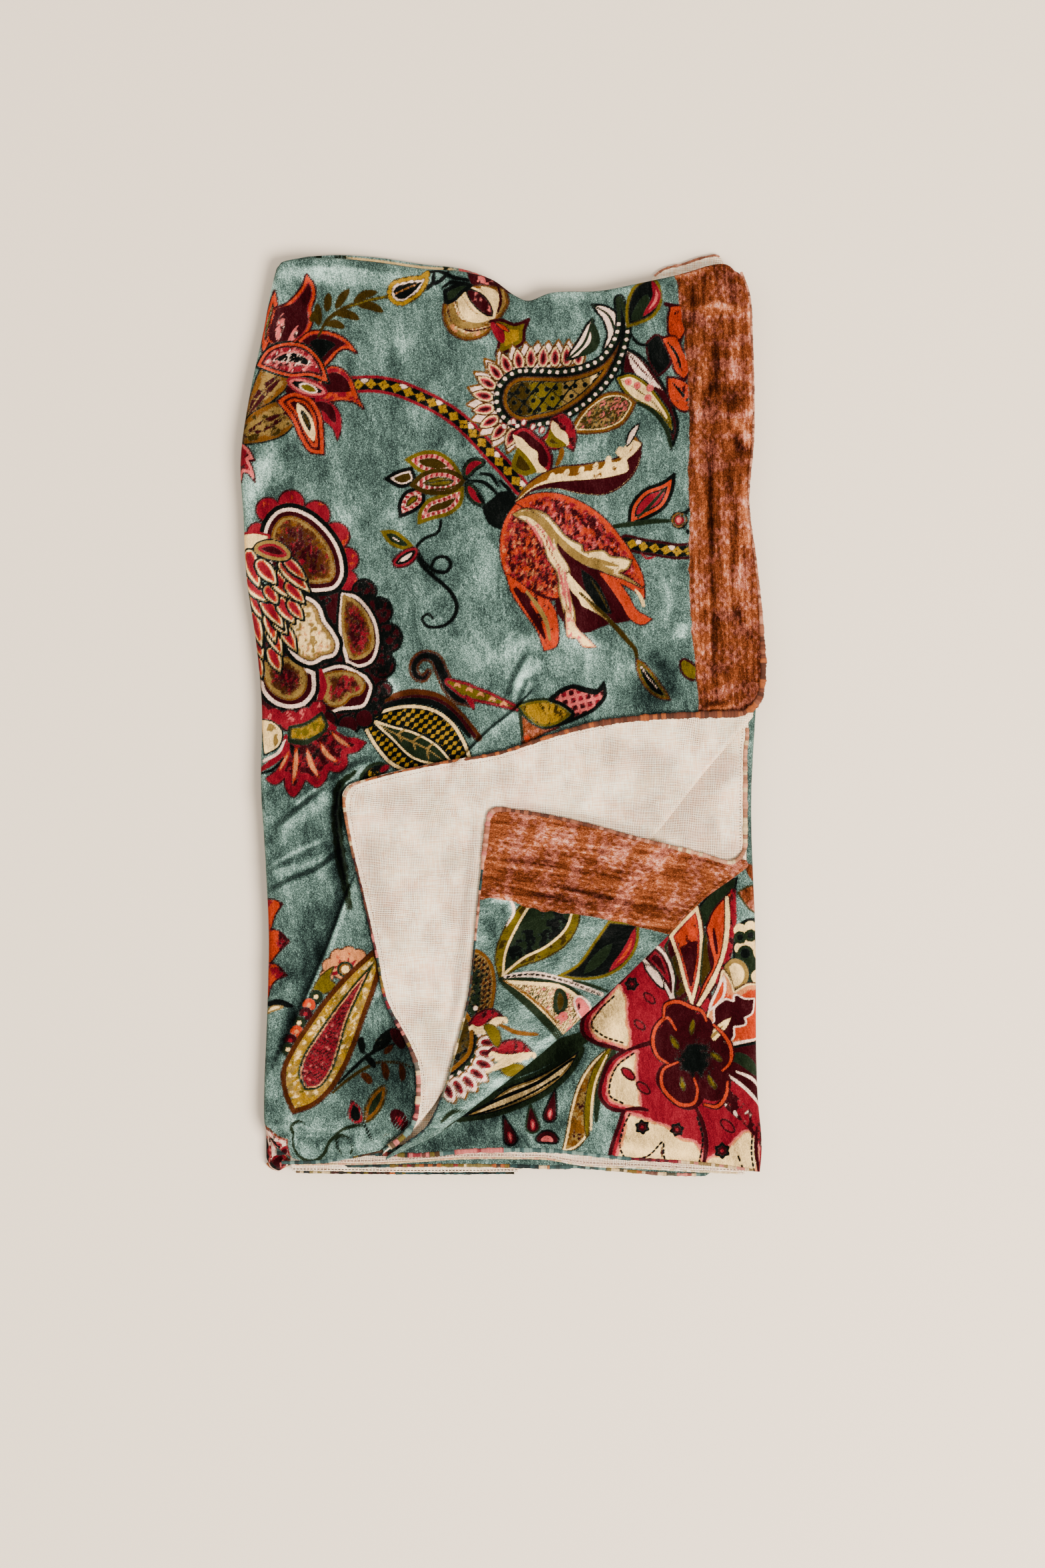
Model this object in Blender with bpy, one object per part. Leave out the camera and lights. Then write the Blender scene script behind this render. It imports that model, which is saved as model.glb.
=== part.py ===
"""A large printed velvet scarf, folded into a flat pack that lies on a table.

The cloth is folded in half along its length, then across into four panels.
Layer 1 is the top. Its lower corner and that of layer 2 are turned back.
Tables are in millimetres, in the pack's own frame: X to the right, Y up the
pack, Z out of the table. The model is built in metres.
"""

import bmesh
import bpy
import numpy as np

MM = 0.001

# The cloth, and how its layers lie on each other.
WALL = 1.2
PITCH = 1.55
FLAP_LIFT = 2.0
BEND_RADIUS = 1.7
BEND_END = 0.8 * np.pi
SEAM_GAP = 0.35
HIDDEN_INSET = 7.0
BACK_TUCK = 4.6

# The hidden stack: its height at the rim and in the middle.
RIM_HEIGHT = 10.6
MIDDLE_HEIGHT = 15.4
CROWN_REACH = 36.0
HEM_STEP = 4.9
HEM_STEP_Y = -227.5
HEM_STEP_RUN = 9.0

# Outlines. Each side is a table of (along, across) rows.
LEFT_SIDE = [  # (y, x)
    (-259.0, -133.4), (-215.0, -133.8), (-166.0, -132.0), (-127.0, -131.1), (-83.0, -132.9),
    (-39.0, -135.5), (5.0, -135.1), (40.0, -138.2), (80.0, -143.9), (110.0, -145.3),
    (141.5, -147.0), (181.0, -141.7), (216.0, -134.2), (245.0, -128.5), (257.0, -125.0),
]
RIGHT_HEM_1 = [  # (y, x)
    (-20.0, 140.0), (0.7, 143.4), (14.0, 146.6), (49.0, 146.5), (84.0, 143.4), (119.0, 138.9),
    (155.0, 141.7), (190.0, 141.7), (216.0, 140.8), (238.0, 139.0), (255.0, 132.0),
]
RIGHT_SIDE = [  # (y, x)
    (-260.0, 145.2), (-246.0, 146.5), (-215.0, 144.3), (-127.0, 143.0), (-39.0, 140.8),
    (0.0, 143.0), (49.0, 145.5), (119.0, 138.0), (190.0, 140.5), (238.0, 138.0), (255.0, 131.0),
]
TOP_SIDE = [  # (x, y)
    (-130.0, 252.5), (-121.0, 255.4), (-98.0, 256.8), (-74.0, 255.0), (-45.0, 251.0),
    (-17.6, 248.4), (-4.0, 244.0), (7.0, 236.0), (13.0, 233.0), (26.4, 236.9), (57.0, 238.7),
    (75.0, 243.0), (92.0, 250.5), (118.0, 254.0), (132.0, 252.3), (142.0, 249.0),
]
HIDDEN_TOP = [  # (x, y)
    (-130.0, 248.5), (-60.0, 244.5), (-15.0, 235.0), (15.0, 226.5), (45.0, 229.0), (85.0, 238.0),
    (115.0, 246.0), (142.0, 245.0),
]
BOTTOM_SIDE = [  # (x, y)
    (-134.0, -256.0), (-118.0, -258.2), (-60.0, -258.8), (10.0, -258.6), (24.0, -255.4),
    (49.0, -255.2), (72.0, -257.4), (91.0, -259.0), (146.0, -259.6),
]

# The two fold lines, along which a corner is turned back, with the free hems.
FOLD_LINE_1 = [  # (x, y)
    (-75.0, -252.0), (-66.0, -242.0), (-40.0, -212.0), (10.0, -154.5), (50.0, -108.5),
    (88.0, -65.0), (114.0, -32.0), (134.0, -9.0), (143.0, 1.0),
]
FOLD_LINE_2 = [  # (x, y)
    (-64.0, -249.0), (-52.0, -243.0), (-35.0, -234.5), (-12.0, -217.0), (26.4, -186.3),
    (61.6, -154.2), (92.4, -124.7), (114.4, -102.7), (132.0, -90.0), (140.0, -84.0),
]
LOWER_HEM_1 = [  # (x, y)
    (-134.0, -251.5), (-117.7, -251.8), (-103.0, -251.4), (-85.0, -249.0), (-64.0, -244.5),
]
LOWER_HEM_3 = [  # (x, y)
    (-134.0, -247.0), (-64.0, -247.5), (-52.0, -248.0), (-12.6, -245.4), (33.0, -245.9),
    (60.4, -249.0), (114.2, -253.0), (146.0, -257.2),
]
FLAP_1_TOP = [  # (x, y)
    (-92.0, -41.0), (-70.4, -34.5), (-35.2, -26.6), (0.0, -20.5), (26.4, -11.7), (52.8, -4.6),
    (79.2, -1.1), (114.4, 0.7), (143.0, 1.2),
]
FLAP_1_LEFT = [  # (y, x)
    (-252.0, -61.5), (-239.0, -59.5), (-228.0, -51.9), (-208.0, -47.5), (-186.0, -51.5),
    (-162.0, -63.8), (-133.5, -69.5), (-100.5, -77.0), (-74.0, -84.5), (-38.0, -89.3),
]
FLAP_2_TOP = [  # (x, y)
    (-10.0, -51.5), (8.8, -53.5), (44.0, -60.1), (79.2, -69.7), (114.4, -78.5), (127.6, -82.5),
    (141.0, -79.5),
]
FLAP_2_LEFT = [  # (y, x)
    (-252.0, -52.0), (-241.0, -50.0), (-232.5, -42.5), (-215.0, -34.3), (-188.5, -26.4),
    (-157.7, -18.9), (-127.0, -15.4), (-91.7, -11.9), (-51.0, -7.0),
]

# Stretches of the lower layers that show past the hem of layer 3.
HEM_4_EDGE = [  # (x, y)
    (-119.0, -253.6), (-60.0, -252.4), (-20.0, -249.8), (8.0, -249.8), (28.0, -250.6),
    (40.0, -253.0), (77.5, -255.3), (112.0, -257.4), (139.0, -258.6),
]
HEM_5_EDGE = [  # (x, y)
    (-90.0, -254.6), (10.0, -254.6), (24.0, -255.2), (49.0, -255.2), (72.0, -257.4),
    (91.0, -259.0), (118.0, -259.6),
]
HEM_6_EDGE = [(-119.0, -258.0), (-60.0, -258.8), (10.0, -258.6)]  # (x, y)

# Side of the hidden stack: (height, inset left, right, top, bottom).
STACK_RINGS = [
    (0.0, 5.0, 5.5, 9.0, 5.0),
    (0.9, 2.6, 3.6, 7.2, 3.0),
    (2.4, 1.2, 2.6, 6.2, 2.0),
    (3.8, 2.4, 3.8, 7.4, 3.4),
    (5.0, 0.8, 2.2, 5.6, 2.0),
    (6.4, 1.4, 3.6, 6.6, 3.2),
]
STACK_TOP_INSET = (4.6, 5.2, 7.2, 4.6)
STACK_LAST_RING = (3.0, 4.4, 5.8, 3.4)
STACK_LAST_DROP = 1.0

# Creases of layer 1: a path, its height, and its reach on the high and low side.
# The low side is on the left of the path.
CREASES = [
    {"path": [(-80.0, -86.0), (-86.0, -99.0), (-97.0, -129.0), (-108.0, -155.0),
              (-123.0, -186.0), (-133.0, -208.0)],
     "height": 3.4, "high": 26.0, "low": 3.6},
    {"path": [(20.0, 24.0), (8.0, 3.0), (-6.6, -8.6), (-24.0, -26.0)],
     "height": 2.4, "high": 22.0, "low": 4.5},
    {"path": [(-128.0, -62.0), (-108.0, -50.0), (-88.6, -35.5)],
     "height": 1.3, "high": 12.0, "low": 9.0},
    {"path": [(-129.0, -99.0), (-107.0, -89.0), (-88.6, -78.0)],
     "height": 1.6, "high": 10.0, "low": 6.0},
    {"path": [(-120.0, 236.0), (-60.0, 232.0), (0.0, 218.0)],
     "height": 0.9, "high": 14.0, "low": 14.0},
    {"path": [(112.0, 110.0), (136.0, 96.0)],
     "height": 1.1, "high": 9.0, "low": 9.0},
]

COLOURS = {  # part: base colour, roughness
    "velvet": ((0.12, 0.24, 0.22, 1.0), 0.75),
    "reverse": ((0.76, 0.68, 0.60, 1.0), 0.90),
    "hidden": ((0.20, 0.30, 0.28, 1.0), 0.85),
}


def side(table):
    """A smooth function through the rows of a table, straight past its ends."""
    along, across = np.array(sorted(table), float).T
    slope = np.gradient(across, along)

    def value(at):
        at = np.asarray(at, float)
        inside = np.clip(at, along[0], along[-1])
        row = np.clip(np.searchsorted(along, inside) - 1, 0, len(along) - 2)
        step = along[row + 1] - along[row]
        t = (inside - along[row]) / step
        return (
            (2 * t**3 - 3 * t**2 + 1) * across[row]
            + (t**3 - 2 * t**2 + t) * step * slope[row]
            + (3 * t**2 - 2 * t**3) * across[row + 1]
            + (t**3 - t**2) * step * slope[row + 1]
        )

    return value


left_side, right_side = side(LEFT_SIDE), side(RIGHT_SIDE)
top_side, bottom_side = side(TOP_SIDE), side(BOTTOM_SIDE)
hidden_top = side(HIDDEN_TOP)
right_hem_1 = side(RIGHT_HEM_1)
lower_hem_1, lower_hem_3 = side(LOWER_HEM_1), side(LOWER_HEM_3)
fold_1, fold_2 = side(FOLD_LINE_1), side(FOLD_LINE_2)


def smooth_step(value):
    t = np.clip(value, 0.0, 1.0)
    return t * t * (3 - 2 * t)


def fold_normal(line):
    """Unit vector across a fold line, towards the cloth that is turned back over."""
    x0, x1 = -40.0, 110.0
    run, rise = x1 - x0, float(line(x1) - line(x0))
    length = np.hypot(run, rise)
    return -rise / length, run / length


NORMAL_1, NORMAL_2 = fold_normal(fold_1), fold_normal(fold_2)


def inside_fold(x, y, line, normal):
    """Distance from a fold line, positive on the side of the turned corner."""
    return (y - line(x)) * normal[1]


def path_distance(x, y, path):
    """Signed distance to an open path (positive on its right) and a taper at its ends."""
    points = np.array(path, float)
    lengths = np.hypot(*np.diff(points, axis=0).T)
    total, before = lengths.sum(), 0.0
    best = np.full(np.shape(x), 1e9)
    signed = np.zeros(np.shape(x))
    along = np.zeros(np.shape(x))
    for (x0, y0), (x1, y1), length in zip(points[:-1], points[1:], lengths):
        ux, uy = (x1 - x0) / length, (y1 - y0) / length
        t = np.clip((x - x0) * ux + (y - y0) * uy, 0, length)
        dx, dy = x - x0 - t * ux, y - y0 - t * uy
        distance = np.hypot(dx, dy)
        nearer = distance < best
        best = np.where(nearer, distance, best)
        signed = np.where(nearer, distance * np.sign(dy * ux - dx * uy + 1e-12), signed)
        along = np.where(nearer, (before + t) / total, along)
        before += length
    return signed, smooth_step(along * 5) * smooth_step((1 - along) * 5)


def creases(x, y):
    """How far the creases raise layer 1."""
    height = np.zeros(np.shape(x))
    for crease in CREASES:
        signed, taper = path_distance(x, y, crease["path"])
        high = np.exp(-np.maximum(signed, 0) / crease["high"])
        low = smooth_step(1 + signed / crease["low"])
        height += crease["height"] * taper * np.where(signed > 0, high, low)
    return height


def stack_height(x, y):
    """Top of the hidden layers under layer 3."""
    crown = np.ones(np.shape(x))
    edges = (x - left_side(y), right_side(y) - x, hidden_top(x) + HIDDEN_INSET - y,
             y - bottom_side(x))
    for edge in edges:
        crown = crown * (1 - np.exp(-np.maximum(edge, 0) / CROWN_REACH))
    billow = 0.5 * np.sin(x / 41.0 + 0.8) * np.sin(y / 57.0)
    return RIM_HEIGHT + (MIDDLE_HEIGHT - RIM_HEIGHT + billow) * crown


def core_height(x, y):
    """Top of the hidden layers, stepped down under the hems that show at the bottom."""
    return stack_height(x, y) - HEM_STEP * smooth_step((HEM_STEP_Y - y) / HEM_STEP_RUN)


def height_3(x, y):
    return stack_height(x, y) + SEAM_GAP + WALL / 2


def height_2(x, y):
    return height_3(x, y) + PITCH


def height_1(x, y):
    return height_2(x, y) + PITCH + creases(x, y)


def puff(distance):
    """A turned corner stands higher along its fold line, where the cloth bends round."""
    return (2 * BEND_RADIUS - FLAP_LIFT) * np.exp(-np.maximum(distance, 0) / 9.0)


def height_corner_1(x, y):
    return (height_1(x, y) + FLAP_LIFT + 0.3 * creases(x, y)
            + puff(inside_fold(x, y, fold_1, NORMAL_1)))


def height_corner_2(x, y):
    """It lies on layer 2 beside its fold line, and climbs over the first turned corner."""
    low = height_2(x, y) + FLAP_LIFT + puff(inside_fold(x, y, fold_2, NORMAL_2))
    high = height_corner_1(x, y) + FLAP_LIFT
    climb = smooth_step((inside_fold(x, y, fold_1, NORMAL_1) + 21.0) / 18.0)
    return low + (high - low) * climb


def spread(u, v, sides):
    """Points of a four-sided region. sides: left(y), right(y), bottom(x), top(x)."""
    left, right, bottom, top = sides
    x, y = np.zeros(np.shape(u)), np.zeros(np.shape(u))
    for _ in range(12):
        x = left(y) + u * (right(y) - left(y))
        y = bottom(x) + v * (top(x) - bottom(x))
    return x, y


def closer_at_ends(count):
    """Parameters from 0 to 1 that lie closer together near both ends."""
    even = np.linspace(0, 1, count)
    return 0.45 * even + 0.55 * (1 - np.cos(np.pi * even)) / 2


def with_lip(count, share):
    """The same, with four rows more over a rolled edge that takes this share at the start."""
    rest = 1.6 * share
    return np.concatenate(
        [share * np.linspace(0, 1, 4), rest + (1 - rest) * closer_at_ends(count)])


def grid(columns, rows):
    """Parameters from 0 to 1 across a patch, as two arrays."""
    return np.meshgrid(closer_at_ends(columns), closer_at_ends(rows))


def lip(distance, reach, drop):
    """Rolls a flat distance from an outline over a quarter-round edge: (distance, fall)."""
    angle = np.clip((reach - distance) / reach, 0, 1.75)
    beyond = distance < reach
    return (
        np.where(beyond, reach - reach * np.sin(angle), distance),
        np.where(beyond, drop * (1 - np.cos(angle)), 0.0),
    )


def bend(x, y, line, normal, lower):
    """Rolls a turned corner round its fold line, down to the layer that it comes from."""
    distance = inside_fold(x, y, line, normal)
    angle = np.clip((BEND_RADIUS - distance) / BEND_RADIUS, 0, BEND_END)
    rolled = distance < BEND_RADIUS
    new = np.where(rolled, BEND_RADIUS * (1 - np.sin(angle)), distance)
    x = x + normal[0] * (new - distance)
    y = y + normal[1] * (new - distance)
    round_it = lower + BEND_RADIUS * (1 + np.cos(angle))
    return x, y, rolled, round_it


def material(name):
    colour, roughness = COLOURS[name]
    made = bpy.data.materials.get(name)
    if made is None:
        made = bpy.data.materials.new(name)
        made.use_nodes = True
        shader = made.node_tree.nodes["Principled BSDF"]
        shader.inputs["Base Color"].default_value = colour
        shader.inputs["Roughness"].default_value = roughness
        shader.inputs["Metallic"].default_value = 0.0
    return made


def add_object(name, mesh, finish):
    mesh.materials.append(material(finish))
    made = bpy.data.objects.new(name, mesh)
    bpy.context.collection.objects.link(made)
    mesh.shade_smooth()
    return made


def cloth(name, x, y, z, finish):
    """A wall of cloth through a grid of points on its middle surface."""
    rows, columns = x.shape
    points = np.stack([x, y, z], axis=-1).reshape(-1, 3) * MM
    faces = []
    for r in range(rows - 1):
        for c in range(columns - 1):
            a = r * columns + c
            faces.append((a, a + 1, a + columns + 1, a + columns))
    mesh = bpy.data.meshes.new(name)
    mesh.from_pydata([tuple(p) for p in points], [], faces)
    made = add_object(name, mesh, finish)
    wall = made.modifiers.new("wall", "SOLIDIFY")
    wall.thickness = WALL * MM
    wall.offset = 0.0
    return made


def hidden_layers():
    """Layers 4 to 8 as one rounded solid, with a step or a lip for each fold at its side."""
    columns, rows = 17, 25

    def inset_sides(inset):
        left, right, top, bottom = inset
        return (
            lambda y: left_side(y) + left,
            lambda y: right_side(y) - right,
            lambda x: bottom_side(x) + bottom,
            lambda x: hidden_top(x) + HIDDEN_INSET - top,
        )

    u, v = np.meshgrid(closer_at_ends(columns), np.concatenate(
        [[0.0, 0.016, 0.032, 0.054], closer_at_ends(rows - 4) * 0.93 + 0.07]))
    around = (
        [(0, c) for c in range(columns)]
        + [(r, columns - 1) for r in range(1, rows)]
        + [(rows - 1, c) for c in range(columns - 2, -1, -1)]
        + [(r, 0) for r in range(rows - 2, 0, -1)]
    )
    around_u = np.array([u[at] for at in around])
    around_v = np.array([v[at] for at in around])
    body = bmesh.new()
    x, y = spread(u, v, inset_sides(STACK_TOP_INSET))
    z = core_height(x, y)
    top = [[body.verts.new((x[r, c] * MM, y[r, c] * MM, z[r, c] * MM)) for c in range(columns)]
           for r in range(rows)]
    for r in range(rows - 1):
        for c in range(columns - 1):
            body.faces.new((top[r][c], top[r][c + 1], top[r + 1][c + 1], top[r + 1][c]))
    above = [top[r][c] for r, c in around]

    x, y = spread(around_u, around_v, inset_sides(STACK_LAST_RING))
    last = core_height(x, y) - STACK_LAST_DROP
    rings = [(x, y, last)]
    for height, *inset in reversed(STACK_RINGS):
        x, y = spread(around_u, around_v, inset_sides(inset))
        share = last / (RIM_HEIGHT - STACK_LAST_DROP)
        rings.append((x, y, height * share))
    for x, y, z in rings:
        ring = [body.verts.new((px * MM, py * MM, pz * MM)) for px, py, pz in zip(x, y, z)]
        for i in range(len(ring)):
            after = (i + 1) % len(ring)
            body.faces.new((above[after], above[i], ring[i], ring[after]))
        above = ring
    body.faces.new(list(reversed(above)))
    mesh = bpy.data.meshes.new("hidden_layers")
    body.to_mesh(mesh)
    body.free()
    return add_object("hidden_layers", mesh, "hidden")


def panel_1():
    """Layer 1, velvet up: it rolls over the folds at the left and at the top."""
    reach, arc = 3.2, 5.0
    clear = (BEND_RADIUS + SEAM_GAP) / NORMAL_1[1]

    def bottom(x):
        return np.maximum(lower_hem_1(x), fold_1(x) + clear)

    sides = (
        lambda y: left_side(y) + reach - arc,
        right_hem_1,
        bottom,
        lambda x: top_side(x) - reach + arc,
    )
    u, v = np.meshgrid(with_lip(18, 0.018), 1 - with_lip(22, 0.014)[::-1])
    x, y = spread(u, v, sides)
    z = height_1(np.maximum(x, left_side(y) + reach), np.minimum(y, top_side(x) - reach))
    inward, fall_left = lip(x - left_side(y), reach, 4.6)
    x = left_side(y) + inward
    inward, fall_top = lip(top_side(x) - y, reach, 2.4)
    y = top_side(x) - inward
    return cloth("panel_1", x, y, z - np.maximum(fall_left, fall_top), "velvet")


def turned_corner_1():
    """The lower corner of layer 1, turned back over it: the plain reverse is up."""
    arc = BEND_RADIUS * (BEND_END - 1)
    sides = (
        side(FLAP_1_LEFT),
        lambda y: np.full(np.shape(y), 139.5),
        lambda x: fold_1(x) - arc / NORMAL_1[1],
        side(FLAP_1_TOP),
    )
    u, v = grid(17, 15)
    v = np.where(v < 0.3, v * v / 0.3, v)
    x, y = spread(u, v, sides)
    z = height_corner_1(x, y)
    x, y, rolled, round_it = bend(x, y, fold_1, NORMAL_1, height_1(x, y))
    return cloth("turned_corner_1", x, y, np.where(rolled, round_it, z), "reverse")


def panel_2():
    """Layer 2, reverse up, between layer 1 and layer 3."""
    clear = (BEND_RADIUS + SEAM_GAP) / NORMAL_2[1]
    hidden_hem = -241.5

    def bottom(x):
        return np.maximum(hidden_hem, fold_2(x) + clear)

    def right(y):
        open_edge = smooth_step((-y + 2.0) / 16.0)
        return np.minimum(right_side(y), right_hem_1(y)) - 4.5 + 2.0 * open_edge

    sides = (
        lambda y: left_side(y) + HIDDEN_INSET,
        right,
        bottom,
        lambda x: hidden_top(x),
    )
    u, v = grid(17, 21)
    x, y = spread(u, v, sides)
    return cloth("panel_2", x, y, height_2(x, y), "reverse")


def turned_corner_2():
    """The lower corner of layer 2, turned back: its velvet is up."""
    arc = BEND_RADIUS * (BEND_END - 1)
    sides = (
        side(FLAP_2_LEFT),
        lambda y: np.full(np.shape(y), 137.2),
        lambda x: fold_2(x) - arc / NORMAL_2[1],
        side(FLAP_2_TOP),
    )
    u, v = grid(15, 15)
    v = np.where(v < 0.3, v * v / 0.3, v)
    x, y = spread(u, v, sides)
    z = height_corner_2(x, y)
    x, y, rolled, round_it = bend(x, y, fold_2, NORMAL_2, height_2(x, y))
    return cloth("turned_corner_2", x, y, np.where(rolled, round_it, z), "velvet")


def panel_3():
    """Layer 3, velvet up: it rolls over the fold at the right, and its hem shows below."""
    reach, arc = 3.0, 4.6
    sides = (
        lambda y: left_side(y) + HIDDEN_INSET,
        lambda y: right_side(y) - reach + arc,
        lower_hem_3,
        lambda x: hidden_top(x),
    )
    u, v = np.meshgrid(1 - with_lip(16, 0.0165)[::-1], closer_at_ends(22))
    x, y = spread(u, v, sides)
    z = height_3(np.minimum(x, right_side(y) - reach), y)
    inward, fall = lip(right_side(y) - x, reach, 3.2)
    return cloth("panel_3", right_side(y) - inward, y, z - fall, "velvet")


def lower_hem(name, edge_table, layers_down, finish):
    """A stretch of a lower layer that shows past the hem above it."""
    edge = side(edge_table)
    start, end = edge_table[0][0], edge_table[-1][0]
    sides = (
        lambda y: np.full(np.shape(y), start),
        lambda y: np.full(np.shape(y), end),
        edge,
        lambda x: np.full(np.shape(x), HEM_STEP_Y - HEM_STEP_RUN - 4.0),
    )
    x, y = spread(*grid(17, 4), sides)
    drop = min(layers_down * PITCH, HEM_STEP - 0.3)
    z = height_3(x, y) - drop
    return cloth(name, x, y, z, finish)


def fold_end():
    """The end of the left fold of the lower layers, which flares out at the bottom corner."""
    sides = (
        lambda y: left_side(y) + 0.3,
        lambda y: np.full(np.shape(y), -119.6),
        lambda x: bottom_side(x) + 1.2,
        lambda x: np.full(np.shape(x), -242.0),
    )
    x, y = spread(*grid(5, 5), sides)
    z = height_3(x, y) - 2 * PITCH
    return cloth("fold_end", x, y, z, "velvet")


def far_end_corner():
    """The corner of the cloth's far end, which pokes out past the top fold."""
    start, end = 92.0, 124.5
    edge = side([(92.0, 249.5), (104.0, 256.0), (114.0, 258.6), (121.0, 259.2), (124.5, 256.5)])
    sides = (
        lambda y: np.full(np.shape(y), start),
        lambda y: np.full(np.shape(y), end),
        lambda x: hidden_top(x) + HIDDEN_INSET - BACK_TUCK,
        edge,
    )
    x, y = spread(*grid(9, 4), sides)
    z = 5.4 - 3.6 * smooth_step((y - top_side(x) + 4.0) / 9.0)
    return cloth("far_end_corner", x, y, z, "reverse")


def back_fold():
    """A lower layer that shows as a thin line past the top fold, at the left."""
    start, end = -112.0, -6.0
    sides = (
        lambda y: np.full(np.shape(y), start),
        lambda y: np.full(np.shape(y), end),
        lambda x: hidden_top(x) + HIDDEN_INSET - BACK_TUCK,
        lambda x: top_side(x) + 1.0 + 1.2 * np.sin((x - start) / (end - start) * np.pi),
    )
    x, y = spread(*grid(12, 3), sides)
    z = 5.4 - 2.0 * smooth_step((y - top_side(x) + 4.0) / 6.0)
    return cloth("back_fold", x, y, z, "velvet")


def main():
    for old in list(bpy.data.objects):
        bpy.data.objects.remove(old, do_unlink=True)
    hidden_layers()
    panel_3()
    panel_2()
    turned_corner_2()
    panel_1()
    turned_corner_1()
    lower_hem("panel_4_hem", HEM_4_EDGE, 1, "reverse")
    lower_hem("panel_5_hem", HEM_5_EDGE, 2, "velvet")
    lower_hem("panel_6_hem", HEM_6_EDGE, 3, "reverse")
    fold_end()
    far_end_corner()
    back_fold()


main()
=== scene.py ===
"""Looks of a large printed velvet scarf, folded into a flat pack and seen from straight above.

Tables are in millimetres, in the pack's own frame: X to the right, Y up the pack, Z out of
the table. The cloth's surfaces follow the same outlines, layers and creases as the solids.
The print is drawn by formulas: each ink has a signed distance at each point of the cloth,
positive inside, which the material turns into a fuzzy printed edge.
"""

import bpy
import numpy as np
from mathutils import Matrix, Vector


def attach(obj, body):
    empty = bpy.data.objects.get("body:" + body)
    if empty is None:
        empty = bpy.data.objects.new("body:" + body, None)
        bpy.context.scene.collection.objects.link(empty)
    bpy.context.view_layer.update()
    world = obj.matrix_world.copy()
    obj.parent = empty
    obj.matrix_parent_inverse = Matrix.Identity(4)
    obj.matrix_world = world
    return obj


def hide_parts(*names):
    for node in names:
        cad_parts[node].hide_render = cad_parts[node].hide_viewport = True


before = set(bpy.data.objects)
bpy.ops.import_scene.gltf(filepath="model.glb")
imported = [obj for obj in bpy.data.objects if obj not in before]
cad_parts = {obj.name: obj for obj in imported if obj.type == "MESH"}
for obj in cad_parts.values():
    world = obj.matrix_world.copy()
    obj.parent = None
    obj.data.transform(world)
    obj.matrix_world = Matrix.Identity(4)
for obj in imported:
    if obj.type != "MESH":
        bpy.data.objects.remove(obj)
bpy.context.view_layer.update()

MM = 0.001

# The cloth, and how its layers lie on each other.
WALL = 1.1
PITCH = 1.55
FLAP_LIFT = 2.0
BEND_RADIUS = 1.7
BEND_END = 0.86 * np.pi
SEAM_GAP = 0.35
HIDDEN_INSET = 7.0
BACK_TUCK = 4.6

# The hidden stack: its height at the rim and in the middle.
RIM_HEIGHT = 10.6
MIDDLE_HEIGHT = 15.4
CROWN_REACH = 36.0
HEM_STEP = 4.9
HEM_STEP_Y = -227.5
HEM_STEP_RUN = 9.0

# A cloth's edge is turned down by RIM. Where it rolls over a fold it turns by LIP_TURN radians.
RIM = 1.2
LIP_TURN = 1.75

# How finely things are worked out: cells of the noise, rounds that settle a point between
# curved sides, points of a strip, and how fast a stroke tapers at its ends.
NOISE_CELLS = 64
SPREAD_ROUNDS = 9
TIP_ROUNDS = 40
RIBBON_POINTS = 60
END_TAPER = 5

# Outlines. Each side is a table of (along, across) rows.
LEFT_SIDE = [  # (y, x)
    (-259, -133.4), (-215, -133.8), (-166, -132), (-127, -131.1), (-83, -132.9), (-39, -135.5),
    (5, -135.1), (40, -138.2), (80, -143.9), (110, -145.3), (141.5, -147), (181, -141.7), (216, -134.2),
    (245, -128.5), (257, -125),
]
RIGHT_HEM_1 = [  # (y, x)
    (-20, 140), (0.7, 143.4), (14, 146.6), (49, 146.5), (84, 143.4), (119, 138.9), (155, 141.7),
    (190, 141.7), (216, 140.8), (238, 139), (255, 132),
]
RIGHT_SIDE = [  # (y, x)
    (-260, 145.2), (-246, 146.5), (-215, 144.3), (-127, 143), (-39, 140.8), (0, 143), (49, 145.5),
    (119, 138), (190, 140.5), (238, 138), (255, 131),
]
TOP_SIDE = [  # (x, y)
    (-130, 252.5), (-121, 255.4), (-98, 256.8), (-74, 255), (-45, 251), (-17.6, 248.4), (-4, 244),
    (7, 236), (13, 233), (26.4, 236.9), (57, 238.7), (75, 242.2), (88, 245), (98, 247.2), (108, 250),
    (117, 252.7), (125, 253.6), (132, 252.3), (142, 249),
]
HIDDEN_TOP = [  # (x, y)
    (-130, 248.5), (-60, 244.5), (-15, 235), (15, 226.5), (45, 229), (85, 238), (115, 246), (142, 245),
]
BOTTOM_SIDE = [  # (x, y)
    (-134, -256), (-118, -258.2), (-60, -258.8), (10, -258.6), (24, -255.4), (49, -255.2), (72, -257.4),
    (91, -259), (146, -259.6),
]
FOLD_LINE_1 = [  # (x, y)
    (-75, -254), (-66, -245.4), (-56, -238), (-47, -229.5), (-39, -220), (-20, -193), (10, -156),
    (50, -108.5), (88, -65), (114, -32), (134, -9), (143, 1),
]
FOLD_LINE_2 = [  # (x, y)
    (-64, -249), (-52, -243), (-35, -234.5), (-12, -217), (26.4, -186.3), (61.6, -154.2), (92.4, -124.7),
    (114.4, -102.7), (132, -90), (140, -84),
]
LOWER_HEM_1 = [  # (x, y)
    (-134, -251.5), (-117.7, -251.8), (-103, -251.4), (-85, -249), (-64, -244.5),
]
LOWER_HEM_3 = [  # (x, y)
    (-134, -247), (-64, -247.5), (-52, -248), (-12.6, -245.4), (33, -245.9), (60.4, -249), (114.2, -253),
    (146, -257.2),
]
FLAP_1_TOP = [  # (x, y)
    (-92, -41), (-70.4, -34.5), (-35.2, -26.6), (0, -20.5), (26.4, -11.7), (52.8, -4.6), (79.2, -1.1),
    (114.4, 0.7), (143, 1.2),
]
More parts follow.
